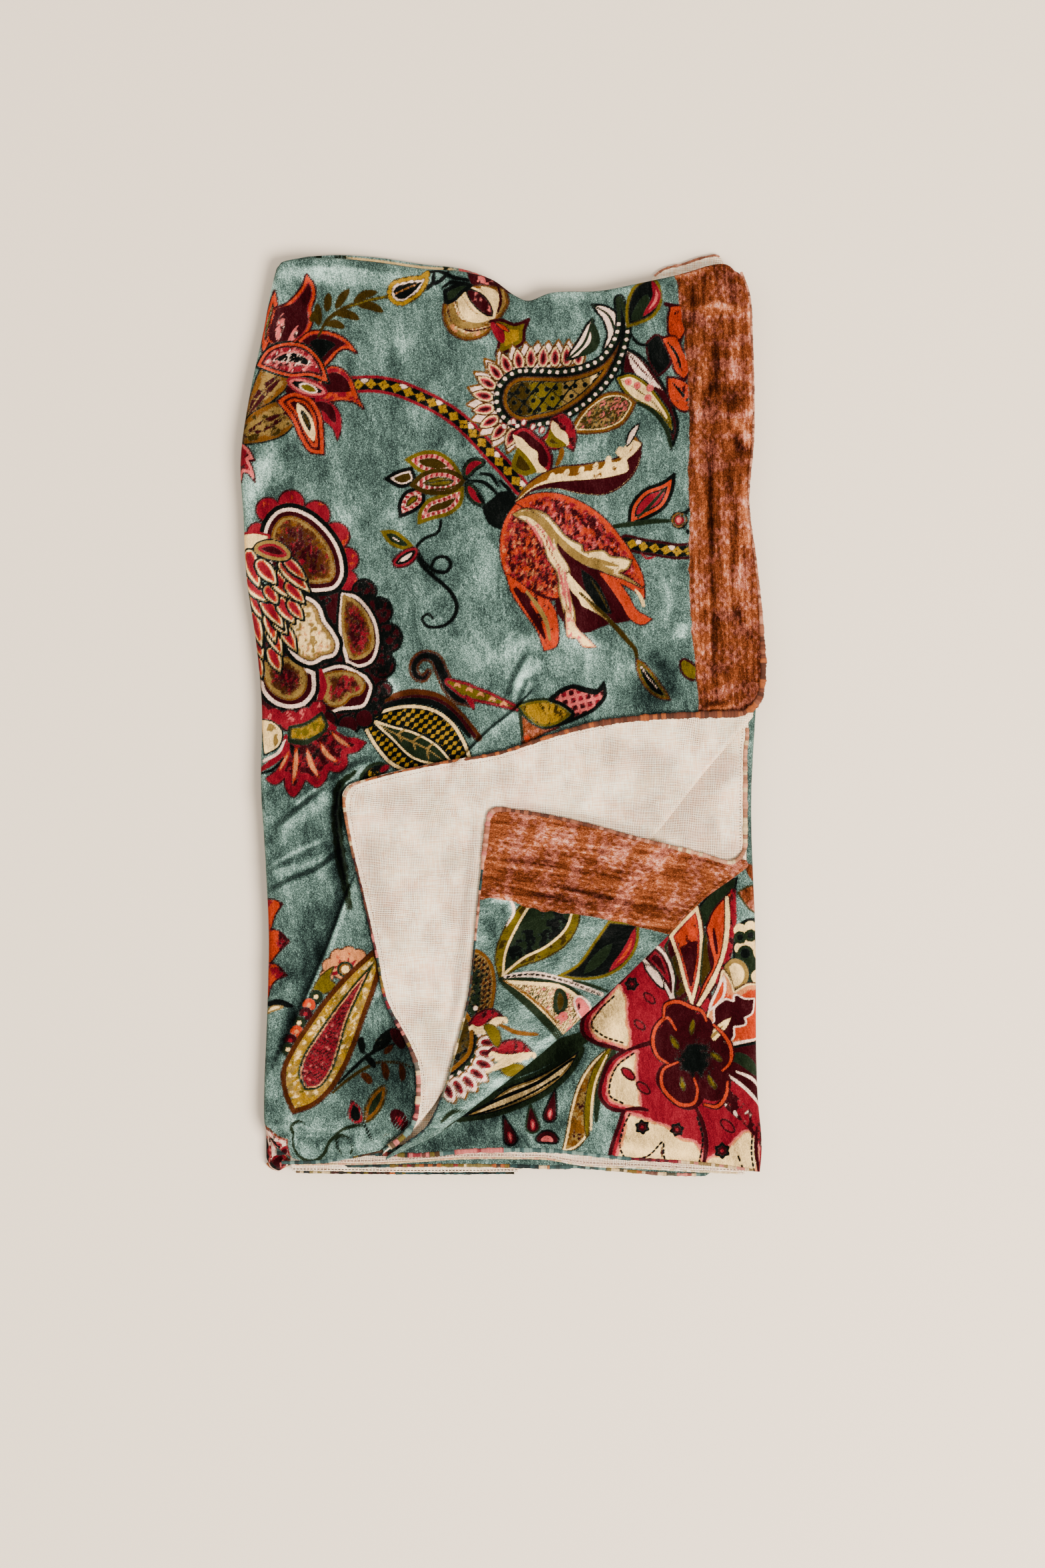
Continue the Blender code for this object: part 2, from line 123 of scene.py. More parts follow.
FLAP_1_LEFT = [  # (y, x)
    (-252, -68), (-243, -64.5), (-238, -57.5), (-234, -53.2), (-228, -49.4), (-216, -47.4), (-208, -46.9),
    (-198, -47.6), (-186, -51.8), (-162, -64.4), (-133.5, -70.5), (-100.5, -78), (-74, -84.5),
    (-50, -88.6), (-38, -89.6),
]
FLAP_2_TOP = [  # (x, y)
    (-10, -51.5), (8.8, -53.5), (44, -60.1), (79.2, -69.7), (114.4, -78.5), (127.6, -82.5), (141, -79.5),
]
FLAP_2_LEFT = [  # (y, x)
    (-252, -68), (-245.5, -62), (-240, -54.5), (-232.5, -44), (-222, -37.4), (-215, -34.3),
    (-188.5, -26.4), (-157.7, -18.9), (-127, -15.4), (-91.7, -11.9), (-51, -7),
]
HEM_4_EDGE = [  # (x, y)
    (-119, -253.6), (-60, -252.4), (-20, -249.8), (8, -249.8), (28, -250.6), (40, -253), (77.5, -255.3),
    (112, -257.4), (139, -258.6),
]
HEM_5_EDGE = [  # (x, y)
    (-90, -254.6), (10, -254.6), (24, -255.2), (49, -255.2), (72, -257.4), (91, -259), (118, -259.6),
]
HEM_6_EDGE = [  # (x, y)
    (-119, -258), (-60, -258.8), (10, -258.6),
]

# The rust band's inner edge, and its lower edge on the second turned corner.
BAND_EDGE_1 = [  # (y, x)
    (-10, 112), (14, 110), (40, 107.4), (66.7, 105.6), (110.7, 105.6), (137, 104.7), (172, 105.6),
    (203, 103.4), (229.5, 100.3), (256, 96),
]
BAND_EDGE_2 = [  # (x, y)
    (-20, -103.2), (6.4, -104.5), (13.9, -107.6), (43.8, -112), (92.4, -121.9), (120, -128),
]

# Steps in layer 1, where the cloth laps over itself or stands up in a fold. The high side is on
# the left of the path.
CREASES = [  # (height, reach on the high side, reach on the low side, path)
    (4, 24, 1.2, [(-80, -86), (-86, -99), (-97, -129), (-108, -155), (-123, -186), (-133, -208)]),
    (3.2, 18, 1.2, [(20, 16), (8, 3), (-6.6, -8.6), (-24, -26), (-32, -34)]),
    (2.6, 13, 4.2, [(-66, -25), (-80, -28.5), (-92, -36), (-104, -46.5), (-116, -56.5), (-131, -68)]),
    (2.6, 9, 3.6, [(-86, -75), (-96, -82.5), (-104, -88.5), (-118, -93.5), (-132, -101)]),
    (3, 12, 1.6, [(-84, -104), (-87.5, -90), (-90.5, -74), (-93, -56), (-91, -42), (-80, -31),
     (-66, -27)]),
    (0.9, 14, 14, [(-120, 236), (-60, 232), (0, 218)]),
]

# Soft ridges of layer 1, and troughs, whose height is below zero.
FORMS = [  # (half-width, height, path)
    (2.4, 1.3, [(-131, -88), (-123, -84.5), (-115, -83.5)]),
    (3, 0.8, [(-133, -76), (-126, -70), (-122, -62)]),
    (4, 0.9, [(-135, -50), (-128, -46), (-124, -40)]),
    (2.3, 1.9, [(5, 6), (7, 18), (12, 28), (17, 36)]),
    (1.8, 1.4, [(10, 4), (12.5, 12), (16, 21)]),
    (6, -0.8, [(-4, 22), (0, 34), (8, 46)]),
    (9, -2, [(56, 9), (80, 13), (106, 14)]),
    (4, 1.6, [(88, 30), (96, 20), (101, 6)]),
    (4, 1.4, [(-66, 24), (-62, 12), (-66, 2)]),
    (5, 1, [(-98, 122), (-84, 104), (-76, 86)]),
    (6, 0.9, [(-121, 152), (-112, 138), (-104, 124)]),
    (4, 1.2, [(-12, 240), (-6, 226), (-4, 214)]),
    (3.5, 1.2, [(28, 238), (30, 224), (36, 212)]),
    (3.5, -0.7, [(44, 238), (46, 226), (50, 216)]),
    (3, -0.6, [(-124, 243), (-60, 240), (-10, 230)]),
    (2, 0.8, [(-122, 251), (-90, 251.5), (-50, 246)]),
    (4, -1.6, [(108, 168), (124, 176), (138, 158)]),
    (4, 1.6, [(116, 186), (130, 172), (141, 168)]),
    (3.4, 1.3, [(106, 226), (122, 229), (140, 224)]),
    (4, -0.8, [(106, 217), (122, 219), (138, 215)]),
    (4, 1.2, [(114, 108), (126, 102), (138, 96)]),
    (5, 1.2, [(112, 60), (126, 52), (142, 56)]),
    (2.2, 0.9, [(112, 150), (112, 110), (113, 70), (116, 22)]),
    (2.4, 1, [(123, 150), (124, 110), (125, 74), (126, 30)]),
    (2.4, 0.9, [(111, 212), (112, 196), (110, 176)]),
    (2.6, 0.9, [(127, 212), (128, 198), (127, 184)]),
    (2.2, -1.4, [(130, 66), (135, 50), (142, 44)]),
    (2.2, -1.4, [(128, 160), (134, 151), (141, 147)]),
    (3.4, 1.2, [(134, 140), (137, 112), (138, 92)]),
    (2.2, 1.8, [(112, 4), (122, 5), (131, 6)]),
    (4, 0.8, [(106, 72), (107, 40), (110, 10)]),
    (2, 1.2, [(-134, -229), (-104, -231), (-72, -233)]),
    (2.6, -0.9, [(-134, -236), (-108, -236), (-82, -236)]),
    (3.6, 1.3, [(-116, -242), (-108, -242), (-100, -243)]),
    (3, 1.2, [(-94, -241), (-88, -242), (-80, -240)]),
    (3, 1.1, [(-76, -237), (-70, -237), (-66, -234)]),
    (5, -1.2, [(-122, -160), (-128, -190), (-133, -214)]),
    (6, -2, [(-70, -150), (-66, -176), (-56, -206)]),
    (4, 0.8, [(-134, -142), (-120, -150), (-110, -148)]),
]

# Where the open reverse lies loose, so that its holes show, and where painted shade darkens it along the
# first fold and beside the second turned corner's hems.
OPEN_AND_SHADE_1 = [  # (half-width, strength, path)
    (6, 0.9, [(-78, -62), (-72, -84), (-66, -108), (-64, -130)]),
    (7, 0.4, [(-86, -50), (-60, -46), (-20, -40), (20, -32)]),
    (9, 0.7, [(50, -20), (80, -24), (104, -30)]),
    (8, 0.5, [(60, -50), (78, -56), (90, -50)]),
    (6, 0.6, [(-50, -160), (-36, -184), (-30, -208)]),
    (10, 0.4, [(-40, -70), (-20, -90), (-16, -130)]),
    (2.6, 1.1, [(-8, -49), (9, -51), (44, -57.5), (79, -67), (112, -76)]),
    (2.4, 0.9, [(-14, -54), (-18.5, -92), (-22, -127), (-25, -158), (-33, -190)]),
]
OPEN_AND_SHADE_2 = [  # (half-width, strength, path)
    (7, 1.1, [(84, -74), (100, -56), (118, -36), (134, -14)]),
    (7, 0.8, [(96, -72), (112, -66), (120, -50)]),
    (5, 0.7, [(110, -78), (124, -80), (134, -74)]),
    (4, 0.6, [(118, -30), (126, -36), (132, -28)]),
    (3, 0.5, [(116, -56), (119, -64), (122, -74)]),
]

# Where the pile is painted pale (strength above zero) or dark (below zero): crushed pile, painted
# highlights along fold crests and edges, and painted shade in hollows, troughs and beside the turned
# corners and their hems.
PILE_AND_PAINTED_LIGHT_1 = [  # (half-width, strength, path)
    (1.5, 1.3, [(94, 245), (108, 248.5), (118, 251)]),
    (15, -0.75, [(-62, -168), (-66, -195), (-78, -226)]),
    (5, 0.5, [(-118, -215), (-122, -235), (-112, -246)]),
    (6, 0.7, [(-6, 26), (14, 40), (34, 44), (52, 36)]),
    (5, -0.5, [(-92, -18), (-70, -2), (-52, 8)]),
    (13, -0.4, [(-128, -52), (-112, -66), (-104, -88)]),
    (4, 1, [(-128, 247), (-116, 249), (-98, 246)]),
    (2, 1.2, [(-135, 225), (-132, 238), (-128, 246)]),
    (4, 0.9, [(-141, 118), (-137, 134), (-133, 146)]),
    (1.4, 1.5, [(-118, -52), (-104, -42), (-92, -35)]),
    (1.4, 1.3, [(-134, -88), (-118, -78), (-96, -68)]),
    (9, 0.8, [(-140, 160), (-132, 220), (-124, 252)]),
    (8, 0.9, [(-136, 40), (-144, 110), (-146, 150)]),
    (5, 0.6, [(-134, -130), (-135, -60), (-136, 20)]),
    (8, 0.8, [(-122, 246), (-70, 246), (-24, 243)]),
    (5, 0.7, [(14, 236), (40, 236), (64, 236), (84, 246)]),
    (9, 0.45, [(-76, 205), (-60, 210), (-48, 203)]),
    (9, 0.7, [(-138, 148), (-128, 138), (-122, 128)]),
    (5, 0.7, [(-100, 122), (-88, 108), (-82, 96)]),
    (5, 1.3, [(-66, 20), (-61, 14), (-62, 9)]),
    (7, 0.55, [(-28, 44), (-18, 34), (-12, 22)]),
    (8, 0.3, [(-20, 62), (-10, 80), (-8, 96)]),
    (6, 0.5, [(-60, 118), (-54, 104), (-44, 90)]),
    (3, 1.2, [(8, 12), (14, 22), (24, 32)]),
    (11, 0.5, [(26, 26), (40, 34), (54, 24)]),
    (4, 0.8, [(40, 46), (48, 42), (55, 36)]),
    (3.5, 1.2, [(102, 52), (101, 46), (101, 42)]),
    (6, 0.5, [(92, 78), (94, 66), (98, 58)]),
    (4, 0.7, [(-8, -12), (0, -5), (8, 2)]),
    (7, 0.35, [(10, 160), (40, 150), (66, 156)]),
    (6, 0.25, [(12, 222), (30, 214), (44, 206)]),
    (5, 0.5, [(-24, 152), (-30, 148), (-16, 146)]),
    (4, 0.8, [(-128, -66), (-110, -56), (-90, -43)]),
    (2.6, 0.9, [(-128, -92), (-112, -85), (-96, -78)]),
    (1.6, 0.9, [(-79, -88), (-85, -101), (-95.5, -129), (-107, -155), (-121, -185)]),
    (4.2, -0.9, [(-84, -87), (-90, -101), (-101, -131), (-112, -157), (-127, -188)]),
    (5, 0.9, [(-120, -186), (-128, -200), (-132, -220)]),
    (2, 0.7, [(-126, -227), (-108, -229), (-84, -230)]),
    (5, 0.35, [(-80, -168), (-78, -180), (-72, -196)]),
    (4.5, -1.6, [(-84, -34), (-92, -44), (-92, -72), (-88, -100)]),
    (5, -0.5, [(-134, -50), (-112, -42), (-96, -34)]),
    (10, -0.5, [(-104, -100), (-108, -130), (-116, -158)]),
    (4, -0.6, [(-112, -160), (-124, -186), (-130, -204)]),
    (7, -0.5, [(-90, -80), (-94, -100), (-100, -120)]),
    (9, -0.9, [(-60, -176), (-56, -196), (-54, -226)]),
    (9, -0.8, [(58, 8), (84, 12), (108, 14)]),
    (9, -0.6, [(86, 40), (94, 24), (104, 20)]),
    (8, -0.5, [(-14, -10), (-20, -2), (-28, 4)]),
    (6, -0.6, [(-84, -16), (-74, -22), (-60, -28)]),
    (5, -0.3, [(101, 250), (102, 200), (103, 150)]),
    (26, -0.12, [(-60, 170), (-20, 120), (-10, 60)]),
    (8, -0.3, [(112, 246), (130, 240), (138, 226)]),
    (2.2, 1.2, [(102, 227), (120, 230), (139, 226)]),
    (2.2, 0.9, [(139, 250), (140.5, 200), (140.5, 150)]),
    (6, -0.7, [(112, 172), (126, 180), (136, 172)]),
    (2.4, 1.1, [(128, 168), (136, 160), (141, 150)]),
    (2.6, 0.8, [(109, 170), (110, 120), (110, 80), (113, 10)]),
    (2, -1.1, [(118, 172), (117, 120), (118, 70), (121, 20)]),
    (2.2, -0.7, [(128, 150), (129, 110), (131, 70)]),
    (2.4, 0.6, [(123, 160), (124, 110), (124, 60)]),
    (2.6, -0.7, [(105, 214), (108, 226), (106, 244)]),
    (3, 0.7, [(116, 246), (124, 238), (120, 226)]),
    (2.2, -0.8, [(120, 214), (121, 196), (119, 178)]),
    (2.6, 0.6, [(111, 214), (112, 196), (110, 178)]),
    (2.6, 0.6, [(130, 215), (131, 198), (133, 184)]),
    (3.4, 0.9, [(134, 146), (137, 110), (138, 90)]),
    (4, 0.8, [(130, 92), (137, 76), (140, 44)]),
    (1.8, -1.2, [(131, 62), (136, 47), (143, 43)]),
    (1.8, -1.2, [(129, 158), (134, 150), (141, 146)]),
    (4, 0.9, [(112, 66), (120, 60), (128, 64)]),
    (3, -0.6, [(109, 34), (118, 26), (130, 24)]),
]
PILE_AND_PAINTED_LIGHT_2 = [  # (half-width, strength, path)
    (2.2, -0.9, [(-8, -86), (30, -95), (80, -108), (110, -112)]),
    (2.2, -0.7, [(-8, -97), (30, -102), (84, -114)]),
    (5, 0.25, [(-6, -62), (30, -68), (70, -78), (110, -88)]),
    (1.8, -0.6, [(-8, -78), (30, -84), (80, -95)]),
    (4, 0.2, [(92, -80), (98, -96), (94, -112)]),
    (2.4, 1.2, [(-8, -103), (4, -104), (7, -112), (3, -118)]),
    (4, -0.6, [(-10, -112), (-6, -118), (-9, -124)]),
    (3, 0.7, [(6, -112), (9, -122), (4, -132)]),
    (2.4, 0.7, [(-14, -106), (-17, -130), (-20, -160), (-34, -212)]),
    (6, 0.4, [(20, -170), (8, -196), (-10, -212)]),
    (2.6, 0.9, [(-36, -232), (-14, -216), (20, -188), (60, -152)]),
    (6, 0.35, [(60, -130), (84, -128), (88, -124)]),
    (4, 0.7, [(-34, -222), (-30, -232), (-42, -240)]),
]
PILE_AND_PAINTED_LIGHT_3 = [  # (half-width, strength, path)
    (13, -0.5, [(-10, -232), (16, -224), (40, -204), (56, -190)]),
    (4, 0.5, [(140, -90), (142, -140), (144, -200), (145, -250)]),
    (7, -0.9, [(-40, -244), (0, -222), (40, -186), (80, -146)]),
    (6, -0.6, [(-50, -244), (-20, -240), (20, -240)]),
    (5, 0.6, [(24, -228), (34, -218), (42, -210)]),
    (4, 0.5, [(54, -236), (58, -226), (60, -214)]),
    (3, 0.7, [(62, -243), (90, -246), (130, -249)]),
    (8, 0.25, [(78, -160), (88, -196), (90, -226)]),
    (6, 0.3, [(62, -164), (64, -176), (68, -206)]),
]


def hermite(t, step, start, end, start_slope, end_slope):
    """A cubic curve from start to end, one step apart, at the share t of the way."""
    return ((2 * t**3 - 3 * t**2 + 1) * start + (t**3 - 2 * t**2 + t) * step * start_slope
            + (3 * t**2 - 2 * t**3) * end + (t**3 - t**2) * step * end_slope)


def side(table):
    """A smooth function through the rows of a table, level past its ends."""
    along, across = np.array(sorted(table), float).T
    slope = np.gradient(across, along)

    def value(at):
        at = np.asarray(at, float)
        inside = np.clip(at, along[0], along[-1])
        row = np.clip(np.searchsorted(along, inside) - 1, 0, len(along) - 2)
        step = along[row + 1] - along[row]
        t = (inside - along[row]) / step
        return hermite(t, step, across[row], across[row + 1], slope[row], slope[row + 1])

    return value


left_side, right_side = side(LEFT_SIDE), side(RIGHT_SIDE)
top_side, bottom_side = side(TOP_SIDE), side(BOTTOM_SIDE)
hidden_top = side(HIDDEN_TOP)
right_hem_1 = side(RIGHT_HEM_1)
lower_hem_1, lower_hem_3 = side(LOWER_HEM_1), side(LOWER_HEM_3)
fold_1, fold_2 = side(FOLD_LINE_1), side(FOLD_LINE_2)
flap_1_top, flap_1_left = side(FLAP_1_TOP), side(FLAP_1_LEFT)
flap_2_top, flap_2_left = side(FLAP_2_TOP), side(FLAP_2_LEFT)
band_edge_1, band_edge_2 = side(BAND_EDGE_1), side(BAND_EDGE_2)


def smooth_step(value):
    t = np.clip(value, 0.0, 1.0)
    return t * t * (3 - 2 * t)


def soft_noise(x, y, pitch, seed):
    """Smooth noise from 0 to 1, with about one bump for each pitch millimetres."""
    values = np.random.default_rng(seed).random((NOISE_CELLS, NOISE_CELLS))
    u, v = x / pitch + 17.3, y / pitch + 31.7
    column, row = np.floor(u).astype(int), np.floor(v).astype(int)
    s, t = smooth_step(u - column), smooth_step(v - row)
    left, right = column % NOISE_CELLS, (column + 1) % NOISE_CELLS
    row, above = row % NOISE_CELLS, (row + 1) % NOISE_CELLS
    low = values[row, left] * (1 - s) + values[row, right] * s
    high = values[above, left] * (1 - s) + values[above, right] * s
    return low * (1 - t) + high * t


def fold_normal(line):
    """Unit vector across a fold line, towards the cloth that is turned back over."""
    x0, x1 = -40.0, 110.0
    run, rise = x1 - x0, float(line(x1) - line(x0))
    length = np.hypot(run, rise)
    return -rise / length, run / length


NORMAL_1, NORMAL_2 = fold_normal(fold_1), fold_normal(fold_2)


def inside_fold(x, y, line, normal):
    """Distance from a fold line, positive on the side of the turned corner."""
    return (y - line(x)) * normal[1]


def path_distance(x, y, path):
    """Signed distance to an open path (positive on its left) and a taper at its ends."""
    points = np.array(path, float)
    lengths = np.hypot(*np.diff(points, axis=0).T)
    total, before = lengths.sum(), 0.0
    best = np.full(np.shape(x), 1e9)
    signed = np.zeros(np.shape(x))
    along = np.zeros(np.shape(x))
    for (x0, y0), (x1, y1), length in zip(points[:-1], points[1:], lengths):
        ux, uy = (x1 - x0) / length, (y1 - y0) / length
        t = np.clip((x - x0) * ux + (y - y0) * uy, 0, length)
        dx, dy = x - x0 - t * ux, y - y0 - t * uy
        distance = np.hypot(dx, dy)
        nearer = distance < best
        best = np.where(nearer, distance, best)
        signed = np.where(nearer, distance * np.sign(dy * ux - dx * uy + 1e-12), signed)
        along = np.where(nearer, (before + t) / total, along)
        before += length
    return signed, smooth_step(along * END_TAPER) * smooth_step((1 - along) * END_TAPER)


def creases(x, y):
    """How far the creases raise layer 1."""
    height = np.zeros(np.shape(x))
    for step, high_reach, low_reach, path in CREASES:
        signed, taper = path_distance(x, y, path)
        high = np.exp(-np.maximum(signed, 0) / high_reach)
        low = smooth_step(1 + signed / low_reach)
        height += step * taper * np.where(signed > 0, high, low)
    return height


def forms(x, y):
    """How far the soft ridges and troughs raise layer 1."""
    return strokes_at(x, y, FORMS)


def strokes_at(x, y, strokes):
    """The sum of soft strokes, (half-width, strength, path) each."""
    tone = np.zeros(np.shape(x))
    for width, strength, path in strokes:
        signed, taper = path_distance(x, y, path)
        tone += strength * taper * np.exp(-(signed / width) ** 2)
    return tone


def painted_slope_light(x, y, height):
    """Painted light and shade from the slope: how far a surface leans towards the light at the lower
    right; painted paler above zero, darker below.
    """
    half = 0.4
    dx = (height(x + half, y) - height(x - half, y)) / (2 * half)
    dy = (height(x, y + half) - height(x, y - half)) / (2 * half)
    return np.tanh(1.3 * (0.6 * dy - 0.8 * dx))


def stack_height(x, y):
    """Top of the hidden layers under layer 3."""
    crown = np.ones(np.shape(x))
    edges = (x - left_side(y), right_side(y) - x, hidden_top(x) + HIDDEN_INSET - y,
             y - bottom_side(x))
    for edge in edges:
        crown = crown * (1 - np.exp(-np.maximum(edge, 0) / CROWN_REACH))
    billow = 0.5 * np.sin(x / 41.0 + 0.8) * np.sin(y / 57.0)
    return RIM_HEIGHT + (MIDDLE_HEIGHT - RIM_HEIGHT + billow) * crown


def core_height(x, y):
    """Top of the hidden layers, stepped down under the hems that show at the bottom."""
    return stack_height(x, y) - HEM_STEP * smooth_step((HEM_STEP_Y - y) / HEM_STEP_RUN)


def height_3(x, y):
    return stack_height(x, y) + SEAM_GAP + WALL / 2


def height_2(x, y):
    return height_3(x, y) + PITCH


def height_1(x, y):
    ripple = 1.1 * (soft_noise(x, y * 0.7, 34.0, 1) - 0.5) + 0.5 * (soft_noise(x, y, 13.0, 2) - 0.5)
    lowest = height_2(x, y) + WALL + 0.1
    height = height_2(x, y) + PITCH + creases(x, y) + forms(x, y) + ripple
    return np.maximum(height, lowest)


def puff(distance):
    """A turned corner stands higher along its fold line, where the cloth bends round."""
    return (2 * BEND_RADIUS - FLAP_LIFT) * np.exp(-np.maximum(distance, 0) / 9.0)


def rounded(x, y, left, top, reach, sign_x=1.0, sign_y=-1.0):
    """Rounds a sheet's corner between the sides x = left(y) and y = top(x)."""
    p = np.clip(reach - sign_x * (x - left(y)), 0, reach)
    q = np.clip(reach - sign_y * (y - top(x)), 0, reach)
    keep = np.maximum(p, q) / np.maximum(np.hypot(p, q), 1e-9)
    near = (p > 0) & (q > 0)
    return (np.where(near, x + sign_x * p * (1 - keep), x),
            np.where(near, y + sign_y * q * (1 - keep), y))


def height_corner_1(x, y):
    ripple = 1.4 * (soft_noise(x + y, y - x, 60.0, 3) - 0.4)
    soft = 1.3 * (soft_noise(x * 0.5 + y * 0.3, y - x, 11.0, 4) - 0.5)
    below = height_2(x, y) + PITCH + 1.2 * creases(x, y) + np.maximum(forms(x, y), 0)
    return below + FLAP_LIFT + ripple + soft + 0.5 + puff(inside_fold(x, y, fold_1, NORMAL_1))


def height_corner_2(x, y):
    """It lies on layer 2 beside its fold line, and climbs over the first turned corner."""
    low = height_2(x, y) + FLAP_LIFT + puff(inside_fold(x, y, fold_2, NORMAL_2))
    high = height_corner_1(x, y) + FLAP_LIFT
    climb = smooth_step((inside_fold(x, y, fold_1, NORMAL_1) + 21.0) / 18.0)
    return low + (high - low) * climb


def spread(u, v, sides):
    """Points of a four-sided region. sides: left(y), right(y), bottom(x), top(x)."""
    left, right, bottom, top = sides
    x, y = np.zeros(np.shape(u)), np.zeros(np.shape(u))
    for _ in range(SPREAD_ROUNDS):
        x = left(y) + u * (right(y) - left(y))
        y = bottom(x) + v * (top(x) - bottom(x))
    return x, y


def lip(distance, reach, drop):
    """Rolls a flat distance from an outline over a quarter-round edge: (distance, fall)."""
    angle = np.clip((reach - distance) / reach, 0, LIP_TURN)
    beyond = distance < reach
    return (
        np.where(beyond, reach - reach * np.sin(angle), distance),
        np.where(beyond, drop * (1 - np.cos(angle)), 0.0),
    )


def bend(x, y, line, normal, lower):
    """Rolls a turned corner round its fold line, down to the layer that it comes from."""
    distance = inside_fold(x, y, line, normal)
    angle = np.clip((BEND_RADIUS - distance) / BEND_RADIUS, 0, BEND_END)
    rolled = distance < BEND_RADIUS
    new = np.where(rolled, BEND_RADIUS * (1 - np.sin(angle)), distance)
    x = x + normal[0] * (new - distance)
    y = y + normal[1] * (new - distance)
    round_it = lower + BEND_RADIUS * (1 + np.cos(angle))
    return x, y, rolled, round_it


def to_tip(left, line, normal):
    """A turned corner's left side, drawn in square to its fold line where it rolls under."""
    x, y = left(line(-60.0)), line(-60.0)
    for _ in range(TIP_ROUNDS):
        x, y = 0.5 * (x + left(y)), 0.5 * (y + line(x))
    return lambda at: np.where(at < y, np.maximum(left(at), x + (at - y) * normal[0] / normal[1]),
                               left(at))


def level(value):
    """A side that is a straight line."""
    return lambda along: np.full(np.shape(along), float(value))


# Meshes

def add_mesh(name, points, faces, values=None, colours=None):
    """Makes an object from points in millimetres, with values and colours at its points."""
    mesh = bpy.data.meshes.new(name)
    mesh.vertices.add(len(points))
    mesh.vertices.foreach_set("co", (points * MM).astype(np.float32).ravel())
    sides = faces.shape[1]
    mesh.loops.add(faces.size)
    mesh.loops.foreach_set("vertex_index", faces.astype(np.int32).ravel())
    mesh.polygons.add(len(faces))
    mesh.polygons.foreach_set("loop_start", np.arange(0, faces.size, sides, dtype=np.int32))
    mesh.update(calc_edges=True)
    mesh.validate()
    mesh.shade_smooth()
    for key, column in (values or {}).items():
        layer = mesh.attributes.new(key, "FLOAT", "POINT")
        layer.data.foreach_set("value", column.astype(np.float32))
    for key, rows in (colours or {}).items():
        layer = mesh.attributes.new(key, "FLOAT_COLOR", "POINT")
        rows = np.concatenate([rows, np.ones((len(rows), 1))], axis=1)
        layer.data.foreach_set("color", rows.astype(np.float32).ravel())
    made = bpy.data.objects.new(name, mesh)
    bpy.context.scene.collection.objects.link(made)
    return made


def grid_faces(rows, columns, first=0):
    index = first + np.arange(rows * columns).reshape(rows, columns)
    quads = np.stack([index[:-1, :-1], index[:-1, 1:], index[1:, 1:], index[1:, :-1]], axis=-1)
    return quads.reshape(-1, 4)


def cloth_mesh(name, patches):
    """One cloth from patches (x, y, z, fields) that share borders, with its edge turned down."""
    points = np.concatenate([np.stack([x, y, z], axis=-1).reshape(-1, 3)
                             for x, y, z, _ in patches])
    faces, first = [], 0
    for x, _, _, _ in patches:
        faces.append(grid_faces(*x.shape, first))
        first += x.size
    faces = np.concatenate(faces)
    keys = patches[0][3].keys()
    values = {key: np.concatenate([fields[key].ravel() for _, _, _, fields in patches])
              for key in keys}

    near = np.round(points / 0.01).astype(np.int64)
    _, kept, welded = np.unique(near, axis=0, return_index=True, return_inverse=True)
    points, faces = points[kept], welded.ravel()[faces]
    values = {key: column[kept] for key, column in values.items()}

    edges = np.stack([faces, np.roll(faces, -1, axis=1)], axis=-1).reshape(-1, 2)
    code = np.sort(edges, axis=1) @ np.array([len(points), 1])
    _, where, count = np.unique(code, return_index=True, return_counts=True)
    border = edges[where[count == 1]]
    border = border[border[:, 0] != border[:, 1]]
    around = np.unique(border)
    lower = np.full(len(points), -1)
    lower[around] = len(points) + np.arange(len(around))
    skirt = np.stack([border[:, 1], border[:, 0], lower[border[:, 0]], lower[border[:, 1]]],
                     axis=-1)
    points = np.concatenate([points, points[around] - np.array([0.0, 0.0, RIM])])
    values = {key: np.concatenate([column, column[around]]) for key, column in values.items()}
    return add_mesh(name, points, np.concatenate([faces, skirt]), values)


# The print

INKS = {  # ink: linear colour, in the order in which the material lays them
    "black": (0.0022, 0.0030, 0.0024),
    "green": (0.0075, 0.0130, 0.0050),
    "bronze": (0.0300, 0.0165, 0.0016),
    "olive": (0.0950, 0.0630, 0.0016),
    "brown": (0.0480, 0.0110, 0.0022),
    "ochre": (0.1150, 0.0400, 0.0045),
    "tan": (0.2000, 0.1120, 0.0250),
    "gold": (0.2600, 0.1280, 0.0028),
    "peach": (0.5400, 0.1750, 0.0560),
    "cream": (0.8200, 0.5200, 0.1900),
    "white": (0.8200, 0.5300, 0.3800),
    "pink": (0.5000, 0.0780, 0.0700),
    "coral": (0.3700, 0.0270, 0.0050),
    "red": (0.1650, 0.0046, 0.0105),
    "maroon": (0.0240, 0.0014, 0.0026),
    "rust": (0.1100, 0.0280, 0.0120),
}
FAR = 6.0  # the distance at which an ink no longer counts
TUFT_PITCH = 2.4


class Print:
    """The printed side of one stretch of cloth: a signed distance for each ink."""

    def __init__(self, x, y):
        self.shape = x.shape
        self.x, self.y = x.ravel(), y.ravel()
        self.ink = {name: np.full(self.x.size, -FAR) for name in INKS}

    def near(self, points, pad):
        """Indices of the cloth's points in a box round some points, with a margin."""
        xs, ys = np.array(points, float).T
        inside = ((self.x > xs.min() - pad) & (self.x < xs.max() + pad)
                  & (self.y > ys.min() - pad) & (self.y < ys.max() + pad))
        return np.nonzero(inside)[0]

    def paint(self, name, at, distance):
        """Lays one ink over what is there. The ground's name takes all inks off."""
        for other, field in self.ink.items():
            if other == name:
                field[at] = np.maximum(field[at], distance)
            else:
                field[at] = np.minimum(field[at], -distance)

    def nest(self, shape, **rings):
        """Paints inks one inside the other, ink=inset each, from the outside in."""
        at, distance = shape
        for name, inset in rings.items():
            self.paint(name, at, distance - inset)
        return shape

    def fields(self):
        return {f"ink_{name}": field.reshape(self.shape) for name, field in self.ink.items()}


